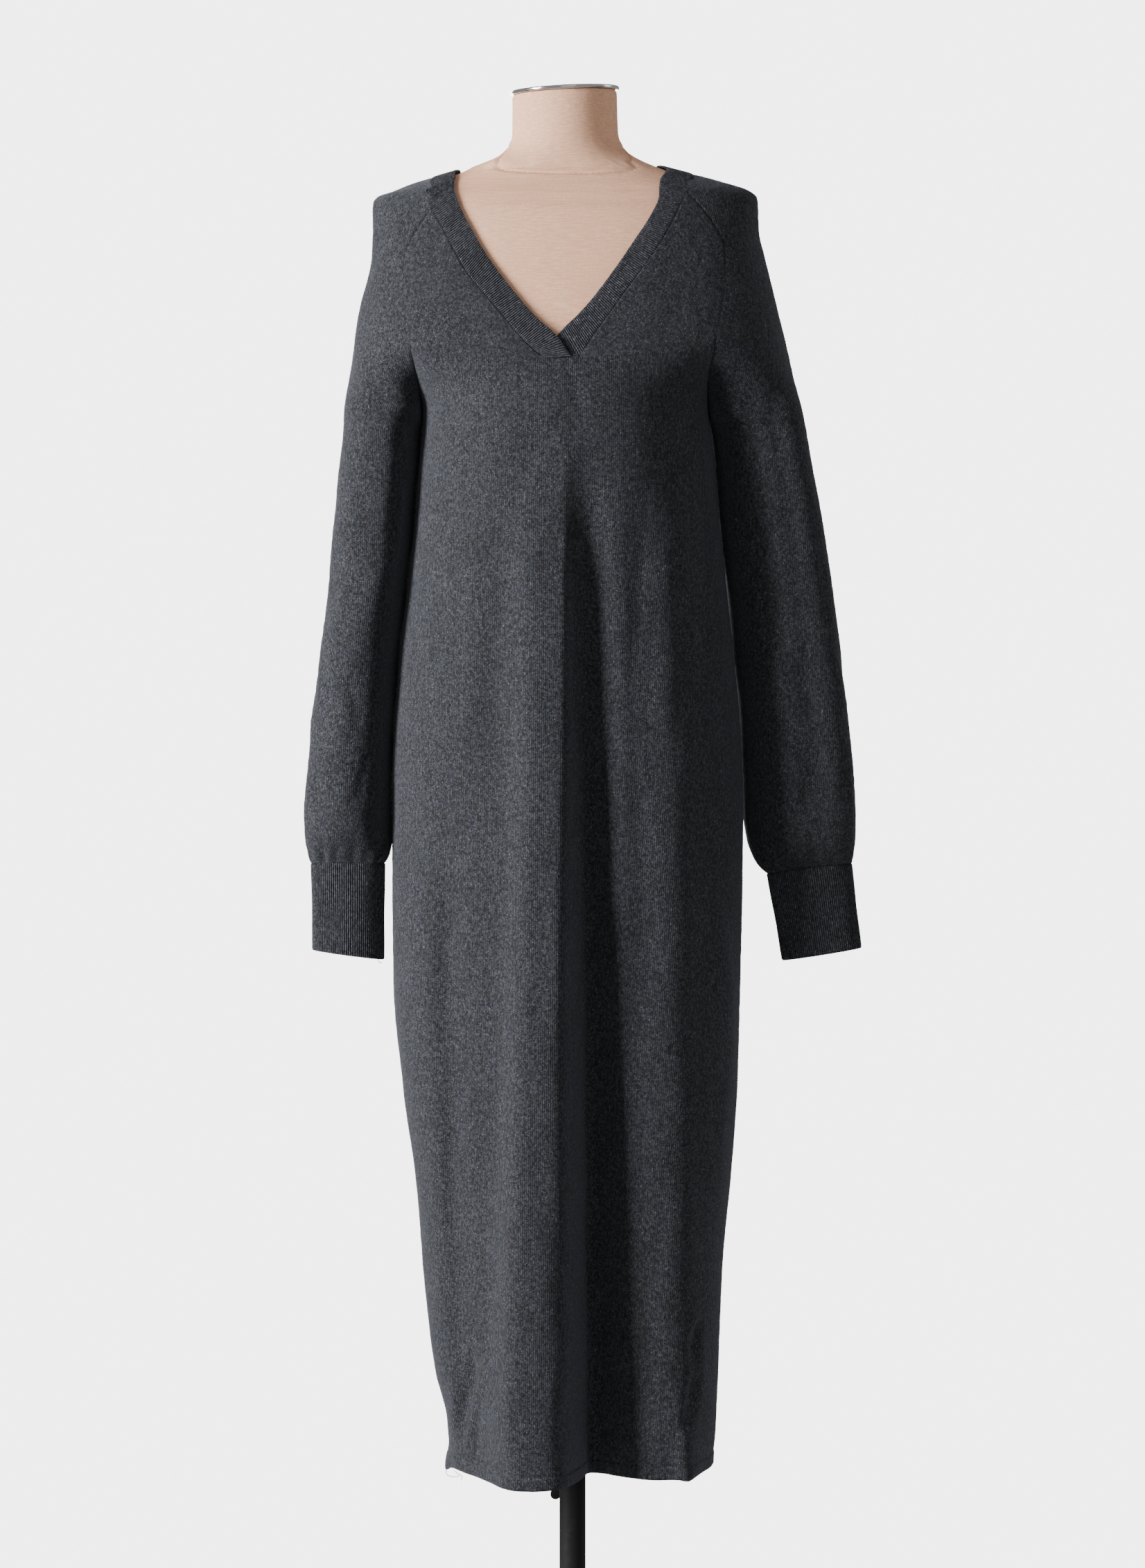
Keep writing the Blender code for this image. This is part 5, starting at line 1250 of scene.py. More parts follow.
def form_surface(z, turns):
    """Points of the form at levels z and angles, both arrays of one shape."""
    z_low, z_high = FORM["z"][-1], NECK["z"][0]
    hips = oval_section(FORM, np.minimum(z, z_low), turns)
    shoulders = shoulder_section(np.clip(z, SHOULDER_LOW, SHOULDER_HIGH), turns)
    neck = oval_section(NECK, np.maximum(z, z_high), turns)
    onto = np.clip((z - z_low) / (SHOULDER_LOW - z_low), 0.0, 1.0)[..., None]
    up = np.clip((z - SHOULDER_HIGH) / (z_high - SHOULDER_HIGH), 0.0, 1.0)[..., None]
    points = hips * (1 - onto) + shoulders * onto
    points = points * (1 - up) + neck * up
    rise = smooth((z - 1630 * MM) / (27 * MM))
    lid = neck_top(points[..., 0], points[..., 1]) - FIT_GAP - NECK_TOP
    points[..., 2] += lid * rise
    return points


def neck_seam_level(turns):
    """Height of the form's neck seam, lower in front and a little higher behind."""
    away = np.sin(turns)
    return NECK_SEAM + NECK_SAG[0] * away + NECK_SAG[1] * away ** 2


def form_net():
    """Grid of the form's cover, whose rows bend to run along the neck seam."""
    marks = np.array((-16, -11, -7.5, -5, -3.4, -2.3, -1.5, -0.9, -0.4, 0.0, 0.4, 0.9, 1.5, 2.3,
                      3.4, 5, 7.5, 11, 16)) * MM
    levels = np.concatenate((
        np.linspace(TORSO_LOW, 1380 * MM, 70), np.linspace(1384 * MM, 1520 * MM, 38)[:-1],
        np.linspace(1520 * MM, NECK_SEAM - 18 * MM, 30), NECK_SEAM + marks,
        np.linspace(NECK_SEAM + 19 * MM, NECK_TOP, 14)))
    turns = np.arange(160) * 2 * np.pi / 160
    turn, level_at = np.meshgrid(turns, levels)
    away = level_at - NECK_SEAM
    bend = 1.0 - smooth(np.where(away < 0.0, -away / (86 * MM), away / (48 * MM)))
    z = level_at + (neck_seam_level(turn) - NECK_SEAM) * bend
    return form_surface(z, turn), level_at, turn


def form_shell():
    """Closed linen-covered form with the groove of its neck seam."""
    points, level_at, turn = form_net()
    rows, columns = points.shape[:2]
    quads = grid_quads(rows, columns, closed=True)
    normals = vertex_normals(points.reshape(-1, 3), quads).reshape(points.shape)
    away = level_at - NECK_SEAM
    relief = -0.9 * MM * bump(away, 0.9 * MM) + 0.4 * MM * bump(np.abs(away) - 2.6 * MM, 1.8 * MM)
    angle = turn * 60 * MM
    relief += 0.22 * MM * ripple(11, angle, away, 9 * MM) * bump(away, 9 * MM)
    top = smooth((level_at - 1650 * MM) / (7 * MM))
    relief += 0.3 * MM * ripple(12, angle, away * 0.2, 16 * MM) * top
    relief -= 1.2 * MM * smooth((level_at - 1655 * MM) / (2 * MM))
    relief -= 1.2 * MM * (1.0 - smooth((level_at - TORSO_LOW) / (6 * MM)))
    points = points + normals * relief[..., None]
    reach = np.linalg.norm(points[:, :, :2] - points[:, :, :2].mean(axis=1, keepdims=True),
                           axis=-1).mean(axis=1, keepdims=True)
    uv = np.stack((turn * np.maximum(reach, 50 * MM), points[..., 2]), axis=-1)
    corner = uv.reshape(-1, 2)[quads].reshape(-1, 2)
    ends = [tuple(reversed(range(columns))),
            tuple(range((rows - 1) * columns, rows * columns))]
    flat = points.reshape(-1, 3)
    caps = np.array([flat[k][:2] for end in ends for k in end])
    made = new_object("form_linen", flat.tolist(), quads.tolist() + ends,
                      np.concatenate((corner, caps)))
    made.data.set_sharp_from_angle(angle=math.radians(55))
    return made


# ---------------------------------------------------------------- hard pieces by hand

def nothing_selected():
    """Leave edit mode and deselect every object."""
    if bpy.context.object and bpy.context.object.mode != "OBJECT":
        bpy.ops.object.mode_set(mode="OBJECT")
    bpy.ops.object.select_all(action="DESELECT")


def edit_where(made, parts, wanted):
    """Go on editing a piece with only its wanted "polygons" or "edges" selected."""
    bpy.ops.object.mode_set(mode="EDIT")
    bpy.ops.mesh.select_mode(type="EDGE" if parts == "edges" else "FACE")
    bpy.ops.mesh.select_all(action="DESELECT")
    bpy.ops.object.mode_set(mode="OBJECT")
    for part in getattr(made.data, parts):
        part.select = bool(wanted(part))
    bpy.ops.object.mode_set(mode="EDIT")


def soften(made, width, segments):
    """Round the sharp edges of the active piece."""
    bpy.ops.object.mode_set(mode="OBJECT")
    edges = made.modifiers.new("soft edges", "BEVEL")
    edges.width, edges.segments = width, segments
    edges.limit_method, edges.angle_limit = "ANGLE", math.radians(50)
    bpy.ops.object.modifier_apply(modifier=edges.name)


def set_down(made, name, place):
    """Name a piece, put its place into its mesh and round its shading."""
    made.name = made.data.name = name
    made.matrix_world = place
    bpy.ops.object.transform_apply(location=True, rotation=True, scale=True)
    bpy.ops.object.shade_smooth_by_angle(angle=math.radians(35))
    return made


def outline(radius, height, *steps):
    """Points of a profile, each in millimetres out and up from a radius and a height."""
    return [(radius + out * MM, height + up * MM) for out, up in steps]


def turned(name, profile, steps=80, place=Matrix.Identity(4)):
    """Piece turned on an axis: its profile is drawn point by point and then spun."""
    nothing_selected()
    bpy.ops.mesh.primitive_plane_add(size=MM, location=(0.0, 0.0, 0.0))
    made = bpy.context.object
    bpy.ops.object.mode_set(mode="EDIT")
    bpy.ops.mesh.select_mode(type="VERT")
    bpy.ops.mesh.select_all(action="SELECT")
    bpy.ops.mesh.merge(type="CENTER")
    bpy.ops.transform.translate(value=(profile[0][0], 0.0, profile[0][1]))
    for here, there in zip(profile[:-1], profile[1:]):
        step = (there[0] - here[0], 0.0, there[1] - here[1])
        bpy.ops.mesh.extrude_vertices_move(TRANSFORM_OT_translate={"value": step})
    bpy.ops.mesh.select_all(action="SELECT")
    bpy.ops.mesh.spin(steps=steps, angle=2 * math.pi, center=(0, 0, 0), axis=(0, 0, 1))
    bpy.ops.mesh.select_all(action="SELECT")
    bpy.ops.mesh.remove_doubles(threshold=0.02 * MM)
    bpy.ops.mesh.normals_make_consistent(inside=False)
    bpy.ops.object.mode_set(mode="OBJECT")
    return set_down(made, name, place)


def lever_piece(name, y_near, thick):
    """Flat tapered lever, drawn out of a block from its hub to its tip, with round ends."""
    run = Vector((LEVER_TIP[0], 0.0, LEVER_TIP[1] - CLAMP_Z))
    hub, tip = 7 * MM, 4.3 * MM
    reach = run.length + tip - hub
    nothing_selected()
    bpy.ops.mesh.primitive_cube_add(size=1.0, location=(0.0, 0.0, 0.0))
    made = bpy.context.object
    bpy.ops.object.mode_set(mode="EDIT")
    bpy.ops.mesh.select_all(action="SELECT")
    bpy.ops.transform.resize(value=(2 * hub, 2 * hub, thick), center_override=(0, 0, 0))
    edit_where(made, "polygons", lambda face: face.normal.x > 0.9)
    bpy.ops.mesh.extrude_region_move(TRANSFORM_OT_translate={"value": (reach, 0.0, 0.0)})
    bpy.ops.transform.resize(value=(1.0, tip / hub, 1.0), center_override=(hub + reach, 0, 0))

    def upright(edge, low, high):
        """Whether an edge runs along the thickness at an end between low and high."""
        a, b = (made.data.vertices[k].co for k in edge.vertices)
        return abs(a.z - b.z) > MM and (a - b).xy.length < 0.01 * MM and low < a.x < high

    for width, segments, low, high in ((hub, 8, -1.0, 0.0), (tip, 6, hub + reach - 0.1 * MM, 1.0)):
        edit_where(made, "edges", lambda edge: upright(edge, low, high))
        bpy.ops.mesh.bevel(offset=width * 0.97, segments=segments, affect="EDGES")
    soften(made, 0.7 * MM, 3)
    hang = Matrix.Rotation(-math.atan2(run.z, run.x), 4, "Y")
    flat = Matrix.Rotation(math.pi / 2, 4, "X")
    place = Matrix.Translation((0.0, y_near + thick / 2, CLAMP_Z)) @ hang @ flat
    return set_down(made, name, place)


# ---------------------------------------------------------------- materials

SOCKET_KINDS = {type(None): "Vector", tuple: "Color", float: "Float"}
BLACK = (0.0, 0.0, 0.0, 1.0)
DUST_GREY = (0.32, 0.32 * 0.97, 0.32 * 0.92, 1.0)


def add(tree, kind, inputs=None, **values):
    """Add a node, set its values and link or fill its inputs."""
    made = tree.nodes.new(kind)
    for name, value in values.items():
        setattr(made, name, value)
    for name, value in (inputs or {}).items():
        if isinstance(value, bpy.types.NodeSocket):
            tree.links.new(value, made.inputs[name])
        else:
            made.inputs[name].default_value = value
    return made


def maths(tree, operation, first, second=0.0, third=0.0):
    """Result of a Math node."""
    return add(tree, "ShaderNodeMath", {0: first, 1: second, 2: third},
               operation=operation).outputs[0]


def times(tree, first, second):
    """Product of two values."""
    return maths(tree, "MULTIPLY", first, second)


def plus(tree, first, second):
    """Sum of two values."""
    return maths(tree, "ADD", first, second)


def grey_of(tree, value):
    """Grey of a value."""
    return add(tree, "ShaderNodeCombineColor", {0: value, 1: value, 2: value}).outputs[0]


def mixed(tree, share, first, second, blend="MIX"):
    """Colour from two colours."""
    made = tree.nodes.new("ShaderNodeMix")
    made.data_type = "RGBA"
    made.blend_type = blend
    for name, value in (("Factor_Float", share), ("A_Color", first), ("B_Color", second)):
        socket = next(s for s in made.inputs if s.identifier == name)
        if isinstance(value, bpy.types.NodeSocket):
            tree.links.new(value, socket)
        else:
            socket.default_value = value
    return next(s for s in made.outputs if s.identifier == "Result_Color")


def ranged(tree, value, low, high, to_low=0.0, to_high=1.0):
    """A value moved from one range to another, held at its ends."""
    made = add(tree, "ShaderNodeMapRange", {0: value, 1: low, 2: high, 3: to_low, 4: to_high},
               interpolation_type="SMOOTHSTEP")
    return made.outputs[0]


def noise(tree, vector, scale, detail=2.0, roughness=0.5):
    """Factor of a Noise Texture."""
    return add(tree, "ShaderNodeTexNoise", {"Vector": vector, "Scale": scale, "Detail": detail,
                                            "Roughness": roughness}).outputs["Fac"]


def shifted(tree, vector, offset, scale=(1.0, 1.0, 1.0)):
    """A vector moved and stretched."""
    return add(tree, "ShaderNodeMapping", {"Vector": vector, "Location": offset,
                                           "Scale": scale}).outputs[0]


def node_group(name, inputs, outputs):
    """Empty shader group, its start and its end. An input's default sets its kind."""
    tree = bpy.data.node_groups.new(name, "ShaderNodeTree")
    for socket, value in inputs.items():
        kind = "NodeSocket" + SOCKET_KINDS[type(value)]
        made = tree.interface.new_socket(socket, in_out="INPUT", socket_type=kind)
        if value is not None:
            made.default_value = value
    for socket in outputs.split():
        kind = "NodeSocketColor" if socket == "Color" else "NodeSocketFloat"
        tree.interface.new_socket(socket, in_out="OUTPUT", socket_type=kind)
    return tree, tree.nodes.new("NodeGroupInput").outputs, tree.nodes.new("NodeGroupOutput")


def give(tree, end, **results):
    """Link a group's results to its end."""
    for name, value in results.items():
        tree.links.new(value, end.inputs[name])
    return tree


def heather_group():
    """Mixed dyed fibres, deep and main grey with cool, warm and pale flecks; the deep grey is also
    painted shade where the tufts are low.
    """
    tree, given, end = node_group("heather", {"Vector": None, "Deep": BLACK, "Main": BLACK,
                                              "Cool": BLACK, "Warm": BLACK, "Pale": BLACK},
                                  "Color Tuft")
    vector = given["Vector"]
    fine = noise(tree, vector, 760.0, 3.0, 0.75)
    hue = noise(tree, shifted(tree, vector, (3.1, 1.7, 0.4)), 900.0, 2.0, 0.6)
    speck = noise(tree, shifted(tree, vector, (0.3, 7.1, 2.4)), 950.0, 1.0, 0.5)
    # The deep-to-main mix follows the noise that also gives the tufts their height (the Tuft
    # output), so low places are painted darker as shade, on top of the dyed-fibre mix.
    colour = mixed(tree, ranged(tree, fine, 0.38, 0.64), given["Deep"], given["Main"])
    for value, low, high, most, fleck in (
            (hue, 0.54, 0.66, 0.75, "Cool"), (hue, 0.46, 0.36, 0.75, "Warm"),
            (speck, 0.64, 0.74, 0.8, "Pale")):
        colour = mixed(tree, ranged(tree, value, low, high, 0.0, most), colour, given[fleck])
    cloud = noise(tree, shifted(tree, vector, (5.0, 2.0, 9.0), (1.0, 1.0, 0.6)), 46.0, 4.0, 0.6)
    tuft = noise(tree, shifted(tree, vector, (1.0, 6.0, 2.0), (1.0, 1.0, 0.7)), 420.0, 2.0, 0.6)
    tone = times(tree, ranged(tree, cloud, 0.3, 0.7, 0.93, 1.07),
                 ranged(tree, tuft, 0.32, 0.68, 0.6, 1.45))
    return give(tree, end, Tuft=fine,
                Color=mixed(tree, 1.0, colour, grey_of(tree, tone), "MULTIPLY"))


def stitch_group():
    """Height of stocking stitch: a column of small chevrons for each wale."""
    tree, given, end = node_group("stitches", {"Vector": None, "Wale": 1.6 * MM,
                                               "Course": 1.3 * MM, "Wobble": 0.5}, "Height")
    parts = add(tree, "ShaderNodeSeparateXYZ", {0: given["Vector"]}).outputs
    wobble = noise(tree, shifted(tree, given["Vector"], (0, 0, 0), (1, 0.3, 1)), 90.0, 2.0)
    column = plus(tree, maths(tree, "DIVIDE", parts["X"], given["Wale"]),
                  times(tree, wobble, given["Wobble"]))
    middle = maths(tree, "FRACT", plus(tree, column, 0.5))
    side = maths(tree, "ABSOLUTE", maths(tree, "SUBTRACT", middle, 0.5))
    row = plus(tree, maths(tree, "DIVIDE", parts["Y"], given["Course"]), times(tree, side, 1.3))
    loop = maths(tree, "SINE", times(tree, row, 2 * math.pi))
    wale = maths(tree, "COSINE", times(tree, side, 2 * math.pi))
    wale = maths(tree, "MULTIPLY_ADD", wale, 0.5, 0.5)
    loop = maths(tree, "MULTIPLY_ADD", maths(tree, "MULTIPLY_ADD", loop, 0.5, 0.5), 0.55, 0.45)
    return give(tree, end, Height=times(tree, loop, wale))


def weave_group():
    """Height and gaps of a plain weave with uneven threads."""
    tree, given, end = node_group("weave", {"Vector": None, "Pitch": 0.9 * MM},
                                  "Height Gap Slub")
    parts = add(tree, "ShaderNodeSeparateXYZ", {0: given["Vector"]}).outputs
    bend = times(tree, noise(tree, given["Vector"], 55.0, 2.0), 1.2)
    waves = []
    for axis in ("X", "Y"):
        turn = plus(tree, maths(tree, "DIVIDE", parts[axis], given["Pitch"]), bend)
        waves.append(maths(tree, "SINE", times(tree, turn, math.pi)))
    across, along = (maths(tree, "ABSOLUTE", wave) for wave in waves)
    over = maths(tree, "MULTIPLY_ADD", times(tree, *waves), 0.5, 0.5)
    height = plus(tree, times(tree, across, over),
                  times(tree, along, maths(tree, "SUBTRACT", 1.0, over)))
    # The gap mask is used to paint shade into the spaces between threads.
    gap = ranged(tree, maths(tree, "MAXIMUM", across, along), 0.35, 0.75, 1.0, 0.0)
    slub = noise(tree, shifted(tree, given["Vector"], (0, 0, 0), (0.16, 1.0, 1.0)), 900.0, 3.0)
    return give(tree, end, Height=height, Gap=gap, Slub=slub)


def wear_group():
    """Dust and fine scratches on metal."""
    tree, given, end = node_group("wear", {"Vector": None, "Amount": 0.5}, "Dust Scratch")
    dust = ranged(tree, noise(tree, given["Vector"], 70.0, 6.0, 0.65), 0.48, 0.75)
    fine = noise(tree, shifted(tree, given["Vector"], (0, 0, 0), (1, 1, 0.05)), 1500.0, 2.0)
    return give(tree, end, Dust=times(tree, dust, given["Amount"]),
                Scratch=times(tree, ranged(tree, fine, 0.62, 0.72), given["Amount"]))


def placed_group(tree, name, inputs):
    """A shared node group in a material; the group is built the first time."""
    makers = {"heather": heather_group, "stitches": stitch_group, "weave": weave_group,
              "wear": wear_group}
    shared = bpy.data.node_groups.get(name) or makers[name]()
    return add(tree, "ShaderNodeGroup", inputs, node_tree=shared).outputs


def new_material(name):
    """Empty node material, its tree, its shader and the object's own coordinates."""
    made = bpy.data.materials.new(name)
    made.use_nodes = True
    tree = made.node_tree
    place = add(tree, "ShaderNodeTexCoord").outputs["Object"]
    return made, tree, tree.nodes["Principled BSDF"], place


def finish(tree, shader, colour, values, height=None, distance=0.0, strength=0.0):
    """Give a shader its colour, its plain values and, from a height, its bump."""
    tree.links.new(colour, shader.inputs["Base Color"])
    for socket, value in values.items():
        shader.inputs[socket].default_value = value
    if height:
        relief = add(tree, "ShaderNodeBump", {"Height": height, "Distance": distance,
                                              "Strength": strength})
        tree.links.new(relief.outputs[0], shader.inputs["Normal"])


def shade(colour, lighter, tint=(1.0, 1.0, 1.0)):
    """A colour with alpha, made darker or lighter and tinted."""
    return tuple(min(1.0, part * lighter * by) for part, by in zip(colour, tint)) + (1.0,)


def knit_material(name, wale, course, stitch, depth, wobble, lightness):
    """Brushed heathered knit: mixed fibres, stitches under a nap, a soft sheen, and painted shade
    in the stitches' grooves and between the tufts.
    """
    if name in bpy.data.materials:
        return bpy.data.materials[name]
    made, tree, shader, place = new_material(name)
    colour = tuple(channel * lightness for channel in settings().knit_colour)
    cloth = add(tree, "ShaderNodeUVMap", uv_map="cloth").outputs[0]
    fibres = placed_group(tree, "heather", {
        "Vector": place, "Deep": shade(colour, 0.3), "Main": shade(colour, 1.6),
        "Cool": shade(colour, 1.0, (1.1, 1.35, 1.7)),
        "Warm": shade(colour, 1.0, (1.75, 1.45, 1.1)), "Pale": shade(colour, 4.5)})
    loops = placed_group(tree, "stitches", {"Vector": cloth, "Wale": wale, "Course": course,
                                            "Wobble": wobble})
    # Painted shade: the colour darkens where the stitch height is low, in the grooves between
    # loops and ribs; depth sets how dark.
    painted_groove_shade = ranged(tree, loops["Height"], 0.0, 0.55, 1.0 - 0.42 * depth, 1.0)
    fuzz = noise(tree, shifted(tree, place, (0, 0, 0), (1, 1, 0.5)), 1500.0, 3.0, 0.7)
    height = plus(tree, times(tree, loops["Height"], stitch), times(tree, fibres["Tuft"], 0.7))
    finish(tree, shader, mixed(tree, 1.0, fibres["Color"], grey_of(tree, painted_groove_shade), "MULTIPLY"),
           {"Roughness": 0.95, "Specular IOR Level": 0.12, "Sheen Weight": settings().sheen,
            "Sheen Roughness": 0.45, "Sheen Tint": (0.62, 0.66, 0.76, 1.0)},
           plus(tree, height, times(tree, fuzz, 0.5)), 0.5 * MM, 0.75)
    return made


def thread_material(name, lighter):
    """Plain matt yarn with fine twist."""
    made, tree, shader, place = new_material(name)
    fibre = noise(tree, place, 1400.0, 2.0)
    colour = settings().knit_colour
    finish(tree, shader,
           mixed(tree, fibre, shade(colour, lighter * 0.5), shade(colour, lighter * 1.4)),
           {"Roughness": 0.9, "Specular IOR Level": 0.15}, fibre, 0.1 * MM, 0.6)
    return made


def linen_material(name, pitch):
    """Plain-woven pale linen with uneven threads, painted shade in the gaps between them, and soft
    stains of age.
    """
    made, tree, shader, place = new_material(name)
    colour = bpy.context.scene.dress_form.linen_colour
    cloth = add(tree, "ShaderNodeUVMap", uv_map="cloth").outputs[0]
    weave = placed_group(tree, "weave", {"Vector": cloth, "Pitch": pitch})
    cloud = ranged(tree, noise(tree, place, 24.0, 4.0, 0.6), 0.3, 0.7)
    tuft = ranged(tree, noise(tree, place, 420.0, 3.0, 0.7), 0.42, 0.62, 0.0, 0.7)
    tone = mixed(tree, cloud, shade(colour, 0.95), shade(colour, 1.04))
    # The last of these darkens the colour in the gaps between threads as painted shade.
    for share, tint in ((ranged(tree, weave["Slub"], 0.4, 0.62, 0.0, 0.9), (0.84, 0.74, 0.66)),
                        (tuft, (0.86, 0.78, 0.72)),
                        (times(tree, weave["Gap"], 0.55), (0.62, 0.48, 0.4))):
        tone = mixed(tree, share, tone, shade(colour, 1.0, tint))
    finish(tree, shader, tone, {"Roughness": 0.9, "Specular IOR Level": 0.1,
                                "Sheen Weight": 0.03, "Sheen Roughness": 0.5},
           plus(tree, weave["Height"], times(tree, weave["Slub"], 0.5)), 0.25 * MM, 0.55)
    return made


def metal_material(name, colour, roughness, metallic, dust):
    """Plated or coated metal with dust and fine scratches."""
    made, tree, shader, place = new_material(name)
    wear = placed_group(tree, "wear", {"Vector": place, "Amount": dust})
    tone = mixed(tree, times(tree, wear["Dust"], 0.35), shade(colour, 1.0), DUST_GREY)
    rough = plus(tree, times(tree, wear["Dust"], 0.25),
                 maths(tree, "MULTIPLY_ADD", wear["Scratch"], 0.06, roughness))
    tree.links.new(rough, shader.inputs["Roughness"])
    height = maths(tree, "SUBTRACT", times(tree, noise(tree, place, 900.0, 3.0), 0.3),
                   times(tree, wear["Scratch"], 0.4))
    finish(tree, shader, tone, {"Specular IOR Level": 0.5 if metallic else 0.15,
                                "Metallic": metallic, "Coat Roughness": 0.2},
           height, 0.05 * MM, 0.25 if metallic else 0.08)
    return made


def board_material(name):
    """Pressed grey board with short fibres."""
    made, tree, shader, place = new_material(name)
    fibre = noise(tree, shifted(tree, place, (0, 0, 0), (0.3, 1, 1)), 500.0, 4.0, 0.7)
    spots = noise(tree, place, 30.0, 4.0)
    tone = mixed(tree, fibre, (0.24, 0.22, 0.19, 1.0), (0.44, 0.41, 0.36, 1.0))
    tone = mixed(tree, ranged(tree, spots, 0.45, 0.7, 0.0, 0.4), tone, (0.3, 0.26, 0.2, 1.0))
    finish(tree, shader, tone, {"Roughness": 0.85}, fibre, 0.2 * MM, 0.5)
    return made


def main_knit():
    """The body's and sleeves' knit."""
    return knit_material("charcoal_knit", 1.9 * MM, 1.3 * MM, 0.8, 0.5, 0.6, 1.0)


def rib_knit():
    """The ribbed bands' knit, whose ribs are real, whose stitches are finer and whose grooves get
    deeper painted shade.
    """
    return knit_material("charcoal_rib", RIB_PITCH, 1.4 * MM, 0.6, 1.3, 0.0, 1.4)


# ---------------------------------------------------------------- settings

class SweaterDressSettings(bpy.types.PropertyGroup):
    """Cloth of the dress."""

    knit_colour: bpy.props.FloatVectorProperty(
        name="Knit colour", description="Base colour of the heathered yarn",
        subtype="COLOR", size=3, min=0.0, max=1.0, default=(0.033, 0.034, 0.0395))
    creases: bpy.props.FloatProperty(
        name="Creases", description="Strength of the small creases laid on the cloth",
        min=0.0, max=1.5, default=1.0, subtype="FACTOR")
    sheen: bpy.props.FloatProperty(
        name="Sheen", description="Light that the nap catches at its edges",
        min=0.0, max=1.0, default=0.22, subtype="FACTOR")
    fibres: bpy.props.IntProperty(
        name="Loose fibres", description="Number of loose fibres that stand off the cloth",
        min=0, max=16000, default=11000)
    fibre_length: bpy.props.FloatProperty(
        name="Fibre length", description="Usual length of a loose fibre",
        min=0.0005, max=0.006, default=0.0026, unit="LENGTH", subtype="DISTANCE")


class DressFormSettings(bpy.types.PropertyGroup):
    """Cover of the dress form."""

    linen_colour: bpy.props.FloatVectorProperty(
        name="Linen colour", description="Base colour of the form's linen cover",
        subtype="COLOR", size=3, min=0.0, max=1.0, default=(0.97, 0.6, 0.42))
    weave_pitch: bpy.props.FloatProperty(
        name="Weave pitch", description="Distance from one thread to the next",
        min=0.0003, max=0.004, default=0.0009, unit="LENGTH", subtype="DISTANCE")


class DressStandSettings(bpy.types.PropertyGroup):
    """Finishes of the stand."""

    coat_colour: bpy.props.FloatVectorProperty(
        name="Coat colour", description="Colour of the stand's powder coat",
        subtype="COLOR", size=3, min=0.0, max=1.0, default=(0.012, 0.012, 0.013))
    dust: bpy.props.FloatProperty(
        name="Dust", description="Dust and scratches on the stand's metal",
        min=0.0, max=1.0, default=0.35, subtype="FACTOR")


class DressStageSettings(bpy.types.PropertyGroup):
    """Studio round the dress."""

    backdrop: bpy.props.FloatProperty(
        name="Backdrop", description="Brightness of the plain backdrop",
        min=0.0, max=10.0, default=4.7)
    key_power: bpy.props.FloatProperty(
        name="Key light", description="Power of the large light on the left",
        min=0.0, max=2000.0, default=172.0, unit="POWER")
    fill_power: bpy.props.FloatProperty(
        name="Fill light", description="Power of the weak light in front",
        min=0.0, max=500.0, default=12.0, unit="POWER")
    rear_power: bpy.props.FloatProperty(
        name="Rear light", description="Power of the light behind the form",
        min=0.0, max=1000.0, default=150.0, unit="POWER")
    ambient: bpy.props.FloatProperty(
        name="Ambient", description="Strength of the light that comes from all round",
        min=0.0, max=1.0, default=0.27, subtype="FACTOR")


# ---------------------------------------------------------------- operators

class DRESS_OT_front(bpy.types.Operator):
    """Build the front panel with its folds, creases and turned-up hem"""

    bl_idname = "dress.front"
    bl_label = "Front"

    def execute(self, context):
        made = finish_piece(panel_shell("front_knit", -1), "figure", "knit", main_knit(),
                            "front")
        return {"FINISHED"}


class DRESS_OT_back(bpy.types.Operator):
    """Build the back panel with its folds, creases and turned-up hem"""

    bl_idname = "dress.back"
    bl_label = "Back"

    def execute(self, context):
        made = finish_piece(panel_shell("back_knit", 1), "figure", "knit", main_knit(),
                            "back")
        return {"FINISHED"}


class DRESS_OT_sleeves(bpy.types.Operator):
    """Build both raglan sleeves, gathered at the wrist"""

    bl_idname = "dress.sleeves"
    bl_label = "Sleeves"

    def execute(self, context):
        for side_name in ("left", "right"):
            made = finish_piece(sleeve_shell("sleeve_" + side_name + "_knit", side_name),
                                "figure", "knit", main_knit(), "sleeve_" + side_name)
        return {"FINISHED"}


class DRESS_OT_cuffs(bpy.types.Operator):
    """Build both ribbed cuffs"""

    bl_idname = "dress.cuffs"
    bl_label = "Cuffs"

    def execute(self, context):
        for side_name in ("left", "right"):
            made = finish_piece(cuff_shell("cuff_" + side_name + "_rib", side_name), "figure",
                                "knit", rib_knit(), "cuff_" + side_name)
        return {"FINISHED"}


class DRESS_OT_neckband(bpy.types.Operator):
    """Build the ribbed neckband, lapped at the point of the V"""

    bl_idname = "dress.neckband"
    bl_label = "Neckband"

    def execute(self, context):
        base, across, lift = neckband_base()
        made = ribbed_shell("neckband_rib", base, across, False, lift)
        finish_piece(made, "figure", "knit", rib_knit(), "neckband")
        return {"FINISHED"}


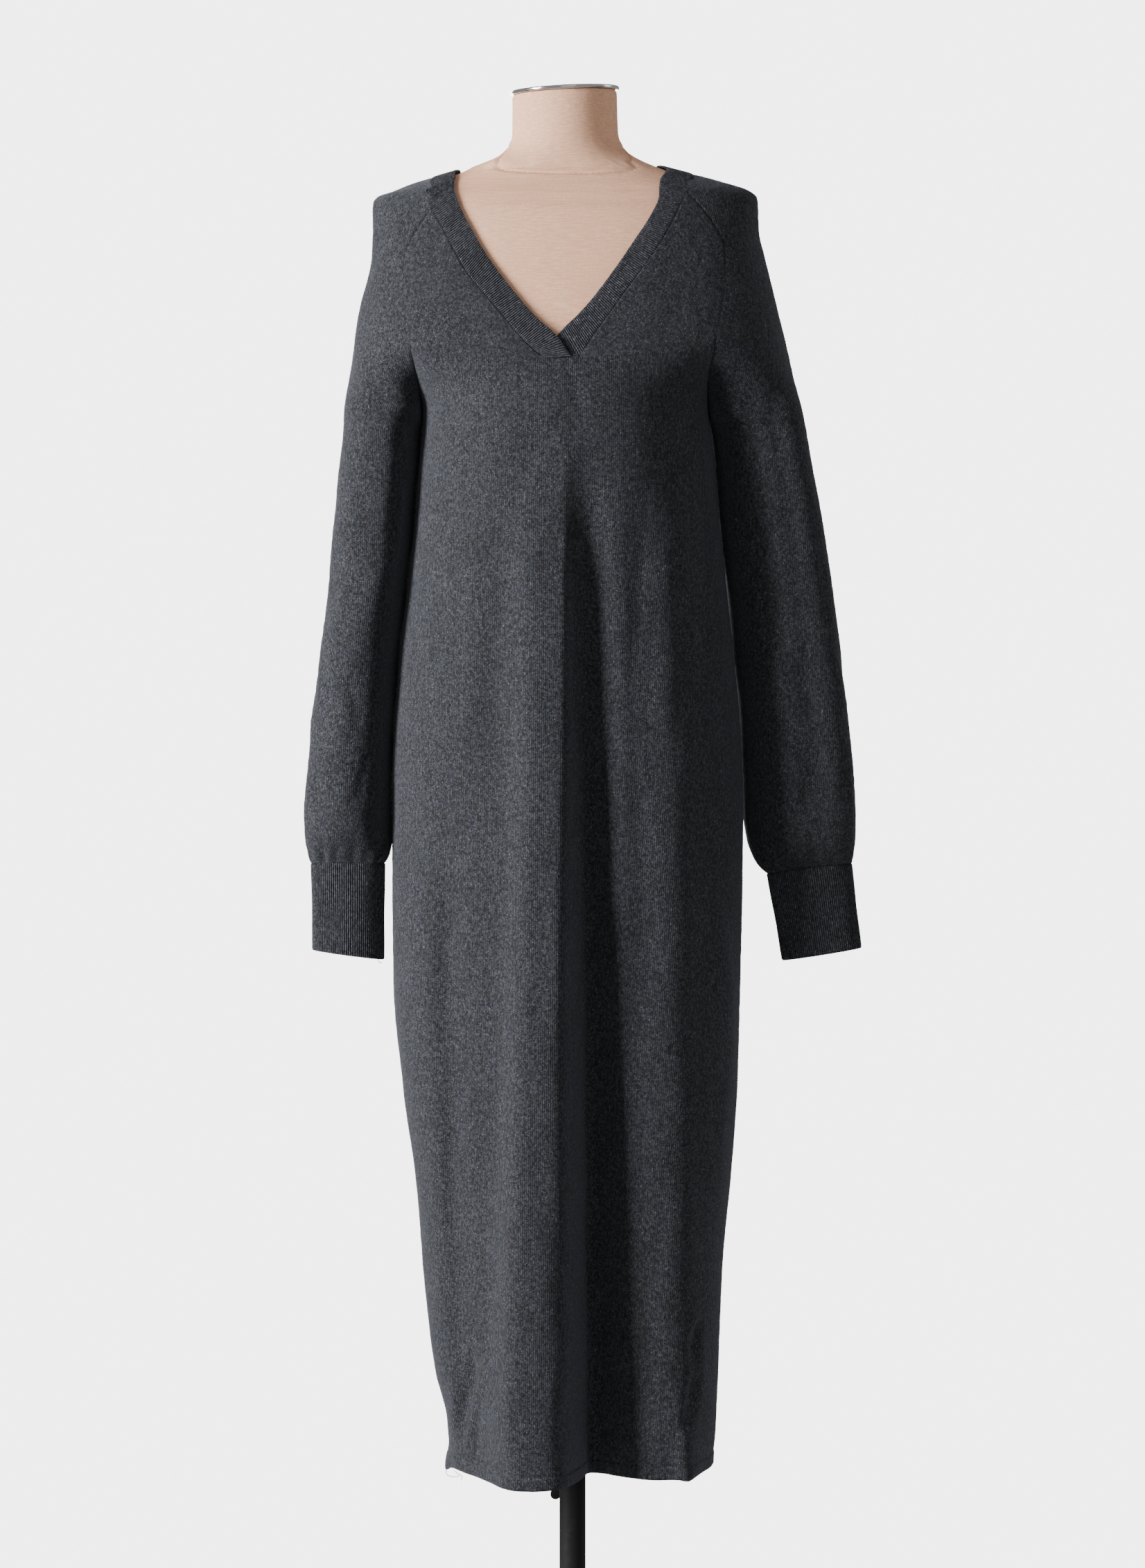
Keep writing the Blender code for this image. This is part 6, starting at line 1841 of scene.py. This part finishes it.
class DRESS_OT_sewing(bpy.types.Operator):
    """Build the linking stitches of all seams, the hem's stitches and the loose ends"""

    bl_idname = "dress.sewing"
    bl_label = "Sewing"

    def execute(self, context):
        verts, faces = [], []
        for line, normals, sink, pitch in seam_lines():
            linking_stitches(line, normals, sink, pitch, verts, faces)
        finish_piece(new_object("seam_stitches", verts, faces), "figure", "knit",
                     thread_material("seam_thread", 0.85))
        verts, faces = [], []
        for ends in LOOSE_ENDS:
            points = np.array(ends) * MM
            spots = np.linspace(0.0, len(points) - 1.0, 4 * len(points))
            line = np.stack([np.interp(spots, np.arange(len(points)), points[:, k])
                             for k in range(3)], axis=-1)
            for _ in range(3):
                line[1:-1] = (line[:-2] + line[1:-1] * 2 + line[2:]) / 4
            tube(line, 0.3 * MM, 6, verts, faces, tip=0.6)
        finish_piece(new_object("loose_thread_ends", verts, faces), "figure", "knit",
                     thread_material("loose_thread", 0.6))
        return {"FINISHED"}


class DRESS_OT_nap(bpy.types.Operator):
    """Scatter loose fibres over the cloth"""

    bl_idname = "dress.nap"
    bl_label = "Nap"

    def execute(self, context):
        made = finish_piece(nap_fibres("nap_fibres"), "figure", "knit",
                            thread_material("nap_yarn", 2.2))
        if not made.data.polygons:
            raise RuntimeError("no fibres were made")
        return {"FINISHED"}


class DRESS_OT_form(bpy.types.Operator):
    """Build the linen form with its neck seam, neck cap and bottom board"""

    bl_idname = "dress.form"
    bl_label = "Dress form"

    def execute(self, context):
        linen = linen_material("pale_linen_weave", context.scene.dress_form.weave_pitch)
        finish_piece(form_shell(), "figure", "linen", linen, "torso")
        finish_piece(form_stitches("form_neck_stitches"), "figure", "linen", linen_thread())
        finish_piece(neck_cap_piece("neck_cap_disc"), "figure", "cap",
                     metal_material("cap_chrome", (0.78, 0.78, 0.79), 0.13, 1.0, 0.3),
                     "neck_cap")
        finish_piece(bottom_board_piece("bottom_board_disc"), "figure", "board",
                     board_material("grey_board_fibre"), "bottom_board")
        return {"FINISHED"}


class DRESS_OT_stand(bpy.types.Operator):
    """Build the base, the telescoping pole and its clamp"""

    bl_idname = "dress.stand"
    bl_label = "Stand"

    def execute(self, context):
        given = context.scene.dress_stand
        black = metal_material("black_powder_coat", tuple(given.coat_colour), 0.6, 0.0,
                               given.dust * 0.2)
        bright = metal_material("bright_steel", (0.62, 0.62, 0.63), 0.2, 1.0, given.dust)
        build_base(black)
        build_tubes(black, bright)
        build_clamp(black, bright)
        return {"FINISHED"}


class DRESS_OT_stage(bpy.types.Operator):
    """Build the floor, the lights, the plain backdrop and the camera"""

    bl_idname = "dress.stage"
    bl_label = "Studio"

    def execute(self, context):
        given = context.scene.dress_stage
        build_floor(given)
        build_world(given)
        build_lights(given)
        build_camera()
        return {"FINISHED"}


class DRESS_PT_panel(bpy.types.Panel):
    """Settings and steps of the sweater dress"""

    bl_label = "Sweater dress"
    bl_idname = "DRESS_PT_panel"
    bl_space_type = "VIEW_3D"
    bl_region_type = "UI"
    bl_category = "Dress"

    def draw(self, context):
        layout = self.layout
        scene = context.scene
        for given in (scene.sweater_dress, scene.dress_form, scene.dress_stand,
                      scene.dress_stage):
            box = layout.box()
            for name in given.__annotations__:
                box.prop(given, name)
        for step in STEPS:
            layout.operator("dress." + step)


# ---------------------------------------------------------------- small pieces

# Loose ends of thread: two at the hem's left corner and one at the left cuff.
LOOSE_ENDS = (
    ((-118, -8, 352), (-120.5, -10, 347), (-119, -12, 343.5), (-113, -14, 342.5),
     (-107, -14, 343.5)),
    ((-112, -12, 348), (-108, -15, 345), (-104.5, -16, 344), (-105.5, -17, 339.5)),
    ((-184, -9, 836), (-184.5, -12, 832.5), (-183, -13, 830), (-180.5, -12, 830.5)))


def seam_lines():
    """Lines of all seams with outward directions, how deep stitches lie and their pitch."""
    lines = []
    depth = ROLL * 0.72
    for side in (-1, 1):
        levels = low_levels(HEM, UNDERARM, PANEL_STEP, HEM_MARKS)
        for side_name in ("left", "right"):
            surface, rows, _ = half_panel(side_name, side, levels)
            edge = surface(np.zeros_like(rows), rows)
            aim = rim_normal(edge, side, OUTWARD[side_name])
            under = len(levels) - 1
            if side < 0:
                lines.append((corner_flick(edge[:under + 1]), aim[:under + 1], depth,
                              SIDE_STITCH))
            lines.append((edge[under:], aim[under:], depth, RAGLAN_STITCH))
            hem = even_grid(surface, rows[13:15], np.linspace(0.0, 1.0, 400) ** 2, 60)
            line = corner_flick(hem["points"][0])
            normal = vertex_normals(hem["points"].reshape(-1, 3),
                                    grid_quads(*hem["points"].shape[:2]))[:len(line)]
            if (side_name == "right") == (side < 0):
                normal = -normal
            lines.append((line[6:], normal[6:], 0.25 * MM, HEM_STITCH))
    for side_name in ("left", "right"):
        surface, rows, _ = sleeve_surface(side_name)
        low = rows[:int(np.sum(sleeve_rows(side_name)["peak"] <= UNDERARM))]
        edge = surface(np.full_like(low, -1.0), low)
        aim = np.zeros_like(edge)
        aim[:, 0] = -OUTWARD[side_name]
        lines.append((edge, aim, depth, SIDE_STITCH))
        place = np.linspace(-1.0, 1.0, 240)
        ring = cuff_surface(side_name)(place, np.ones_like(place))
        middle = ring.mean(axis=0)
        lines.append((ring, level(ring - middle), 0.9 * MM, 1.9 * MM))
    ring = neck_seam(np.linspace(0.9, BAND_END, 900), 0.0)
    lines.append((ring, yoke_normals(ring), depth, RIB_PITCH))
    return lines


FIBRE_THICK = 0.075 * MM
NAP_SHARES = {"front_knit": 1.0, "back_knit": 0.6, "sleeve_left_knit": 1.0,
              "sleeve_right_knit": 1.0, "cuff_left_rib": 0.6, "cuff_right_rib": 0.6,
              "neckband_rib": 0.6}


def nap_fibres(name):
    """Loose fibres as thin bent spikes on the outer side of the cloth."""
    rng = np.random.default_rng(2024)
    starts, normals, areas = [], [], []
    for piece, share in NAP_SHARES.items():
        mesh = bpy.data.objects[piece].data
        count = len(mesh.polygons)
        outside = (count - len(rim_of_mesh(mesh))) // 2
        values = [np.empty(count * size) for size in (3, 3, 1)]
        for value, key in zip(values, ("center", "normal", "area")):
            mesh.polygons.foreach_get(key, value)
        starts.append(values[0].reshape(-1, 3)[:outside])
        normals.append(values[1].reshape(-1, 3)[:outside])
        areas.append(values[2][:outside] * share)
    starts, normals, areas = (np.concatenate(part) for part in (starts, normals, areas))
    count = settings().fibres
    pick = rng.choice(len(starts), size=count, p=areas / areas.sum())
    start, out = starts[pick], normals[pick]
    start = start + rng.normal(0.0, 1.2 * MM, (count, 3)) * (1.0 - np.abs(out))
    along = unit(np.cross(out, rng.normal(size=(count, 3))))
    length = settings().fibre_length * rng.uniform(0.45, 1.6, (count, 1))
    lean = rng.uniform(0.3, 1.2, (count, 1))
    middle = start + unit(out + along * lean * 0.5) * length * 0.5
    tip = middle + unit(out * 0.35 + along * lean + rng.normal(0, 0.35, (count, 3))) * length * 0.6
    start = start - out * 0.3 * MM
    side = np.cross(out, along)
    turns = (0.0, 2.094, 4.189)
    rings = [(start, FIBRE_THICK), (middle, FIBRE_THICK * 0.8)]
    verts = np.stack([spot + (along * math.cos(turn) + side * math.sin(turn)) * radius
                      for spot, radius in rings for turn in turns] + [tip], axis=1)
    base = np.arange(count)[:, None] * 7
    spike = [(k, (k + 1) % 3, 3 + (k + 1) % 3, 3 + k) for k in range(3)]
    spike += [(3 + k, 3 + (k + 1) % 3, 6) for k in range(3)] + [(2, 1, 0)]
    faces = [row for face in spike for row in (base + np.array(face)).tolist()]
    return new_object(name, verts.reshape(-1, 3).tolist(), faces)


def rim_of_mesh(mesh):
    """Faces of a cloth wall that join its outer and inner side."""
    half = len(mesh.vertices) // 2
    corners = np.empty(len(mesh.loops), dtype=np.int64)
    mesh.loops.foreach_get("vertex_index", corners)
    quads = corners.reshape(-1, 4)
    outer = (quads < half).sum(axis=1)
    return np.nonzero((outer > 0) & (outer < 4))[0]


def form_stitches(name):
    """Hand stitches across the form's neck seam."""
    turns = np.linspace(0.0, 2 * np.pi, 900)
    line = form_surface(neck_seam_level(turns), turns)
    above = form_surface(neck_seam_level(turns) + 0.5 * MM, turns)
    out = unit(np.cross(np.gradient(line, axis=0), above - line))
    verts, faces = [], []
    for place, aim, normal in zip(*walk(line, out, 5.4 * MM)):
        up = np.cross(normal, aim)
        bow = np.array((place - up * 0.9 * MM - normal * 0.3 * MM, place - normal * 0.25 * MM,
                        place + up * 0.9 * MM + aim * 0.5 * MM - normal * 0.3 * MM))
        tube(bow, 0.24 * MM, 4, verts, faces, tip=0.7)
    return new_object(name, verts, faces)


def linen_thread():
    """Waxed pale thread."""
    made, tree, shader, place = new_material("linen_thread")
    fibre = noise(tree, place, 1600.0, 2.0)
    finish(tree, shader, mixed(tree, fibre, (0.42, 0.29, 0.22, 1.0), (0.62, 0.46, 0.37, 1.0)),
           {"Roughness": 0.7})
    return made


def neck_cap_piece(name):
    """Round metal cap with a rolled edge, tilted with the neck's top."""
    profile = [(0.0, CAP_THICK)]
    profile += outline(CAP_R, CAP_THICK, (-3, 0), (-0.9, -0.35), (-0.15, -1.2), (0, -2))
    profile += outline(CAP_R, 0.0, (-0.15, 1.2), (-0.9, 0.35), (-3, 0)) + [(0.0, 0.0)]
    up = Vector((-NECK_TILT[0], -NECK_TILT[1], 1.0)).normalized()
    turn = Vector((0.0, 0.0, 1.0)).rotation_difference(up).to_matrix().to_4x4()
    x, y = NECK_CENTRE[:2]
    place = Matrix.Translation((x, y, neck_top(x, y)))
    return turned(name, profile, steps=96, place=place @ turn)


def bottom_board_piece(name):
    """Flat board that closes the form, cut to the form's outline from a round disc."""
    nothing_selected()
    low = TORSO_LOW - FIT_GAP - BOARD_THICK
    bpy.ops.mesh.primitive_cylinder_add(vertices=96, radius=1.0, depth=BOARD_THICK,
                                        location=(0.0, 0.0, low + BOARD_THICK / 2))
    made = bpy.context.object
    bpy.ops.object.transform_apply(location=True, rotation=True, scale=True)
    for vertex in made.data.vertices:
        turn = math.atan2(vertex.co.y, vertex.co.x)
        edge = oval_section(FORM, np.array(TORSO_LOW), np.array(turn))
        vertex.co.x, vertex.co.y = float(edge[0]) * BOARD_SHARE, float(edge[1]) * BOARD_SHARE
    edit_where(made, "polygons", lambda face: face.normal.z < -0.9)
    bpy.ops.mesh.inset(thickness=9 * MM)
    bpy.ops.mesh.extrude_region_move(TRANSFORM_OT_translate={"value": (0.0, 0.0, 0.8 * MM)})
    soften(made, 0.8 * MM, 2)
    return set_down(made, name, Matrix.Identity(4))


def black_piece(made, body, black, node):
    """Finish a powder-coated piece of the stand."""
    return finish_piece(made, body, "black_metal", black, node)


def bright_piece(made, body, bright, node):
    """Finish a bright steel piece of the stand."""
    return finish_piece(made, body, "bright_metal", bright, node)


def build_base(black):
    """Round plate on the floor, and the socket that holds the pole."""
    edge = outline(BASE_R, BASE_THICK, (-8, 0), (-5.4, -0.4), (-3, -1.2), (-1.5, -2.4),
                   (-0.6, -4), (-0.1, -5.6), (0, -7))
    edge += outline(BASE_R, 0.0, (0, 1.2), (-0.5, 0.3), (-1.4, 0))
    plate = turned("base_disc", [(0.0, BASE_THICK)] + edge + [(0.0, 0.0)], steps=128)
    black_piece(plate, "stand", black, "base_plate")
    bore, low = OUTER_TUBE_R + FIT_GAP, BASE_THICK + FIT_GAP
    profile = outline(bore, low, (0, 41.6), (0.5, 42))
    profile += outline(0.0, low, (16.6, 42), (17.6, 41), (18, 39.4), (18, 11), (19, 8.6),
                       (21.5, 7.2), (33, 5.2), (35, 4.2), (36, 2.4), (36, 0))
    profile += outline(bore, low, (0, 0), (0, 41.6))
    black_piece(turned("pole_socket_collar", profile), "stand", black, "pole_socket")


def build_tubes(black, bright):
    """Outer tube, inner tube and the socket under the form that turns on it."""
    top, low = OUTER_TUBE_TOP, BASE_THICK + FIT_GAP
    profile = outline(OUTER_TUBE_R, top, (-0.45, 0), (0, -0.45)) + [(OUTER_TUBE_R, low)]
    profile += [(TUBE_BORE_R, low)] + outline(TUBE_BORE_R, top, (0, -0.45), (0.45, 0))
    profile += [profile[0]]
    black_piece(turned("pole_outer", profile), "stand", black, "outer_tube")
    plate = TORSO_LOW - FIT_GAP - BOARD_THICK - FIT_GAP
    bore_top = plate - 5.5 * MM
    top, low = bore_top - FIT_GAP, INNER_TUBE_LOW
    profile = [(0.0, top)] + outline(INNER_TUBE_R, top, (-0.8, 0), (0, -0.8))
    profile += outline(INNER_TUBE_R, low, (0, 0.8), (-0.8, 0)) + [(0.0, low)]
    bright_piece(turned("mast_tube", profile), "mast", bright, "inner_tube")
    mouth = plate - 46 * MM
    profile = outline(0.0, plate, (0, 0), (41.4, 0), (42, -0.6), (42, -4), (41, -5), (17.6, -5),
                      (16, -6.6))
    profile += outline(0.0, mouth, (16, 0.8), (15.2, 0))
    profile += outline(TUBE_BORE_R, mouth, (0.6, 0), (0, 0.6))
    profile += [(TUBE_BORE_R, bore_top), (0.0, bore_top)]
    black_piece(turned("mast_socket_flange", profile), "figure", black, "mast_socket")


def build_clamp(black, bright):
    """Boss behind the pole's top, the screw in it and the lever on the screw."""
    place = Matrix.Translation((0.0, 0.0, CLAMP_Z)) @ Matrix.Rotation(-math.pi / 2, 4, "X")
    near = OUTER_TUBE_R + FIT_GAP
    profile = outline(0.0, near, (6.4, 11), (7, 10.4), (7, 0), (3.4, 0), (3.4, 10.7), (3.7, 11),
                      (6.4, 11))
    black_piece(turned("clamp_boss_ring", profile, steps=48, place=place), "stand", black,
                "clamp_boss")
    tip, head = near + 0.5 * MM, near + 11.3 * MM
    profile = outline(0.0, head, (0, 5), (4.9, 5), (5.5, 4.4), (5.5, 0.5), (5.1, 0), (3, 0))
    profile += outline(0.0, tip, (3, 0.5), (2.4, 0), (0, 0))
    bright_piece(turned("clamp_screw_pin", profile, steps=48, place=place), "clamp", bright,
                 "clamp_screw")
    black_piece(lever_piece("clamp_lever_arm", head + 5 * MM + FIT_GAP, 5 * MM), "clamp", black,
                "clamp_lever")


# ---------------------------------------------------------------- studio

def camera_only(tree, seen, unseen):
    """A strength that differs between what the camera sees and what lights the scene."""
    path = add(tree, "ShaderNodeLightPath")
    return add(tree, "ShaderNodeMix", {"Factor": path.outputs["Is Camera Ray"], "A": unseen,
                                       "B": seen}, data_type="FLOAT").outputs[0]


def build_floor(given):
    """Pale floor that fades into the backdrop away from the stand."""
    nothing_selected()
    bpy.ops.mesh.primitive_circle_add(vertices=128, radius=FLOOR_R, fill_type="NGON")
    floor = bpy.context.object
    bpy.ops.object.mode_set(mode="EDIT")
    bpy.ops.mesh.select_all(action="SELECT")
    bpy.ops.mesh.extrude_edges_move()
    bpy.ops.transform.resize(value=(FLOOR_GROWTH, FLOOR_GROWTH, 1.0),
                             center_override=(0, 0, 0))
    bpy.ops.object.mode_set(mode="OBJECT")
    floor.name = "studio_floor"
    made, tree, shader, place = new_material("pale_floor")
    away = add(tree, "ShaderNodeVectorMath", {0: place}, operation="LENGTH").outputs["Value"]
    grain = noise(tree, place, 300.0, 3.0)
    finish(tree, shader, mixed(tree, grain, (0.78, 0.78, 0.78, 1.0), (0.82, 0.82, 0.82, 1.0)),
           {"Roughness": 0.9, "Specular IOR Level": 0.05})
    glow = add(tree, "ShaderNodeEmission",
               {"Strength": camera_only(tree, given.backdrop, given.ambient)})
    blend = add(tree, "ShaderNodeMixShader", {0: ranged(tree, away, 0.4, 1.15, 0.72, 1.0)})
    tree.links.new(shader.outputs[0], blend.inputs[1])
    tree.links.new(glow.outputs[0], blend.inputs[2])
    tree.links.new(blend.outputs[0], tree.nodes["Material Output"].inputs["Surface"])
    floor.data.materials.append(made)


def build_world(given):
    """Plain light backdrop for the camera and weaker light from all round."""
    world = bpy.data.worlds.new("studio")
    bpy.context.scene.world = world
    world.use_nodes = True
    tree = world.node_tree
    back = tree.nodes["Background"]
    back.inputs["Color"].default_value = (1.0, 1.0, 1.0, 1.0)
    tree.links.new(camera_only(tree, given.backdrop, given.ambient), back.inputs["Strength"])


def build_lights(given):
    """Key light on the left, weak fill in front, one light behind and one on the right."""
    for name, place, aim, size, power in (
            ("key_light", (-2.15, -1.15, 1.45), (0.0, 0.0, 1.05), (0.7, 2.3), given.key_power),
            ("fill_light", (0.6, -3.8, 1.3), (0.0, 0.0, 1.0), (2.0, 2.4), given.fill_power),
            ("rear_light", (-0.9, 3.6, 1.9), (0.0, 0.0, 1.0), (2.4, 2.4), given.rear_power),
            ("side_light", (3.6, 0.9, 1.9), (0.0, 0.0, 1.0), (1.2, 2.4),
             given.rear_power * SIDE_SHARE)):
        data = bpy.data.lights.new(name, "AREA")
        data.shape = "RECTANGLE"
        data.size, data.size_y = size
        data.energy = power
        lamp = bpy.data.objects.new(name, data)
        bpy.context.scene.collection.objects.link(lamp)
        lamp.location = place
        lamp.visible_camera = False
        lamp.rotation_euler = (Vector(aim) - Vector(place)).to_track_quat("-Z", "Y").to_euler()


def build_camera():
    """Camera level in front of the dress, at the photograph's angle of view."""
    data = bpy.data.cameras.new("camera")
    data.sensor_width = CAMERA_SENSOR
    data.lens = CAMERA_LENS
    camera = bpy.data.objects.new("camera", data)
    bpy.context.scene.collection.objects.link(camera)
    camera.location = CAMERA_PLACE
    camera.rotation_euler = (math.pi / 2, 0.0, 0.0)
    bpy.context.scene.camera = camera


# ---------------------------------------------------------------- add-on

STEPS = ("front", "back", "sleeves", "cuffs", "neckband", "sewing", "nap", "form", "stand",
         "stage")
GROUPS = {"sweater_dress": SweaterDressSettings, "dress_form": DressFormSettings,
          "dress_stand": DressStandSettings, "dress_stage": DressStageSettings}
OPERATORS = (DRESS_OT_front, DRESS_OT_back, DRESS_OT_sleeves, DRESS_OT_cuffs,
             DRESS_OT_neckband, DRESS_OT_sewing, DRESS_OT_nap, DRESS_OT_form, DRESS_OT_stand,
             DRESS_OT_stage)


def register():
    """Register the settings, operators and panel."""
    for name, group in GROUPS.items():
        bpy.utils.register_class(group)
        setattr(bpy.types.Scene, name, bpy.props.PointerProperty(type=group))
    for operator in OPERATORS:
        bpy.utils.register_class(operator)
    bpy.utils.register_class(DRESS_PT_panel)


def unregister():
    """Take the panel, operators and settings out again."""
    bpy.utils.unregister_class(DRESS_PT_panel)
    for operator in reversed(OPERATORS):
        bpy.utils.unregister_class(operator)
    for name, group in GROUPS.items():
        delattr(bpy.types.Scene, name)
        bpy.utils.unregister_class(group)


def main():
    """Register the add-on and build every piece in order."""
    register()
    for step in STEPS:
        getattr(bpy.ops.dress, step)()


if __name__ == "__main__":
    main()
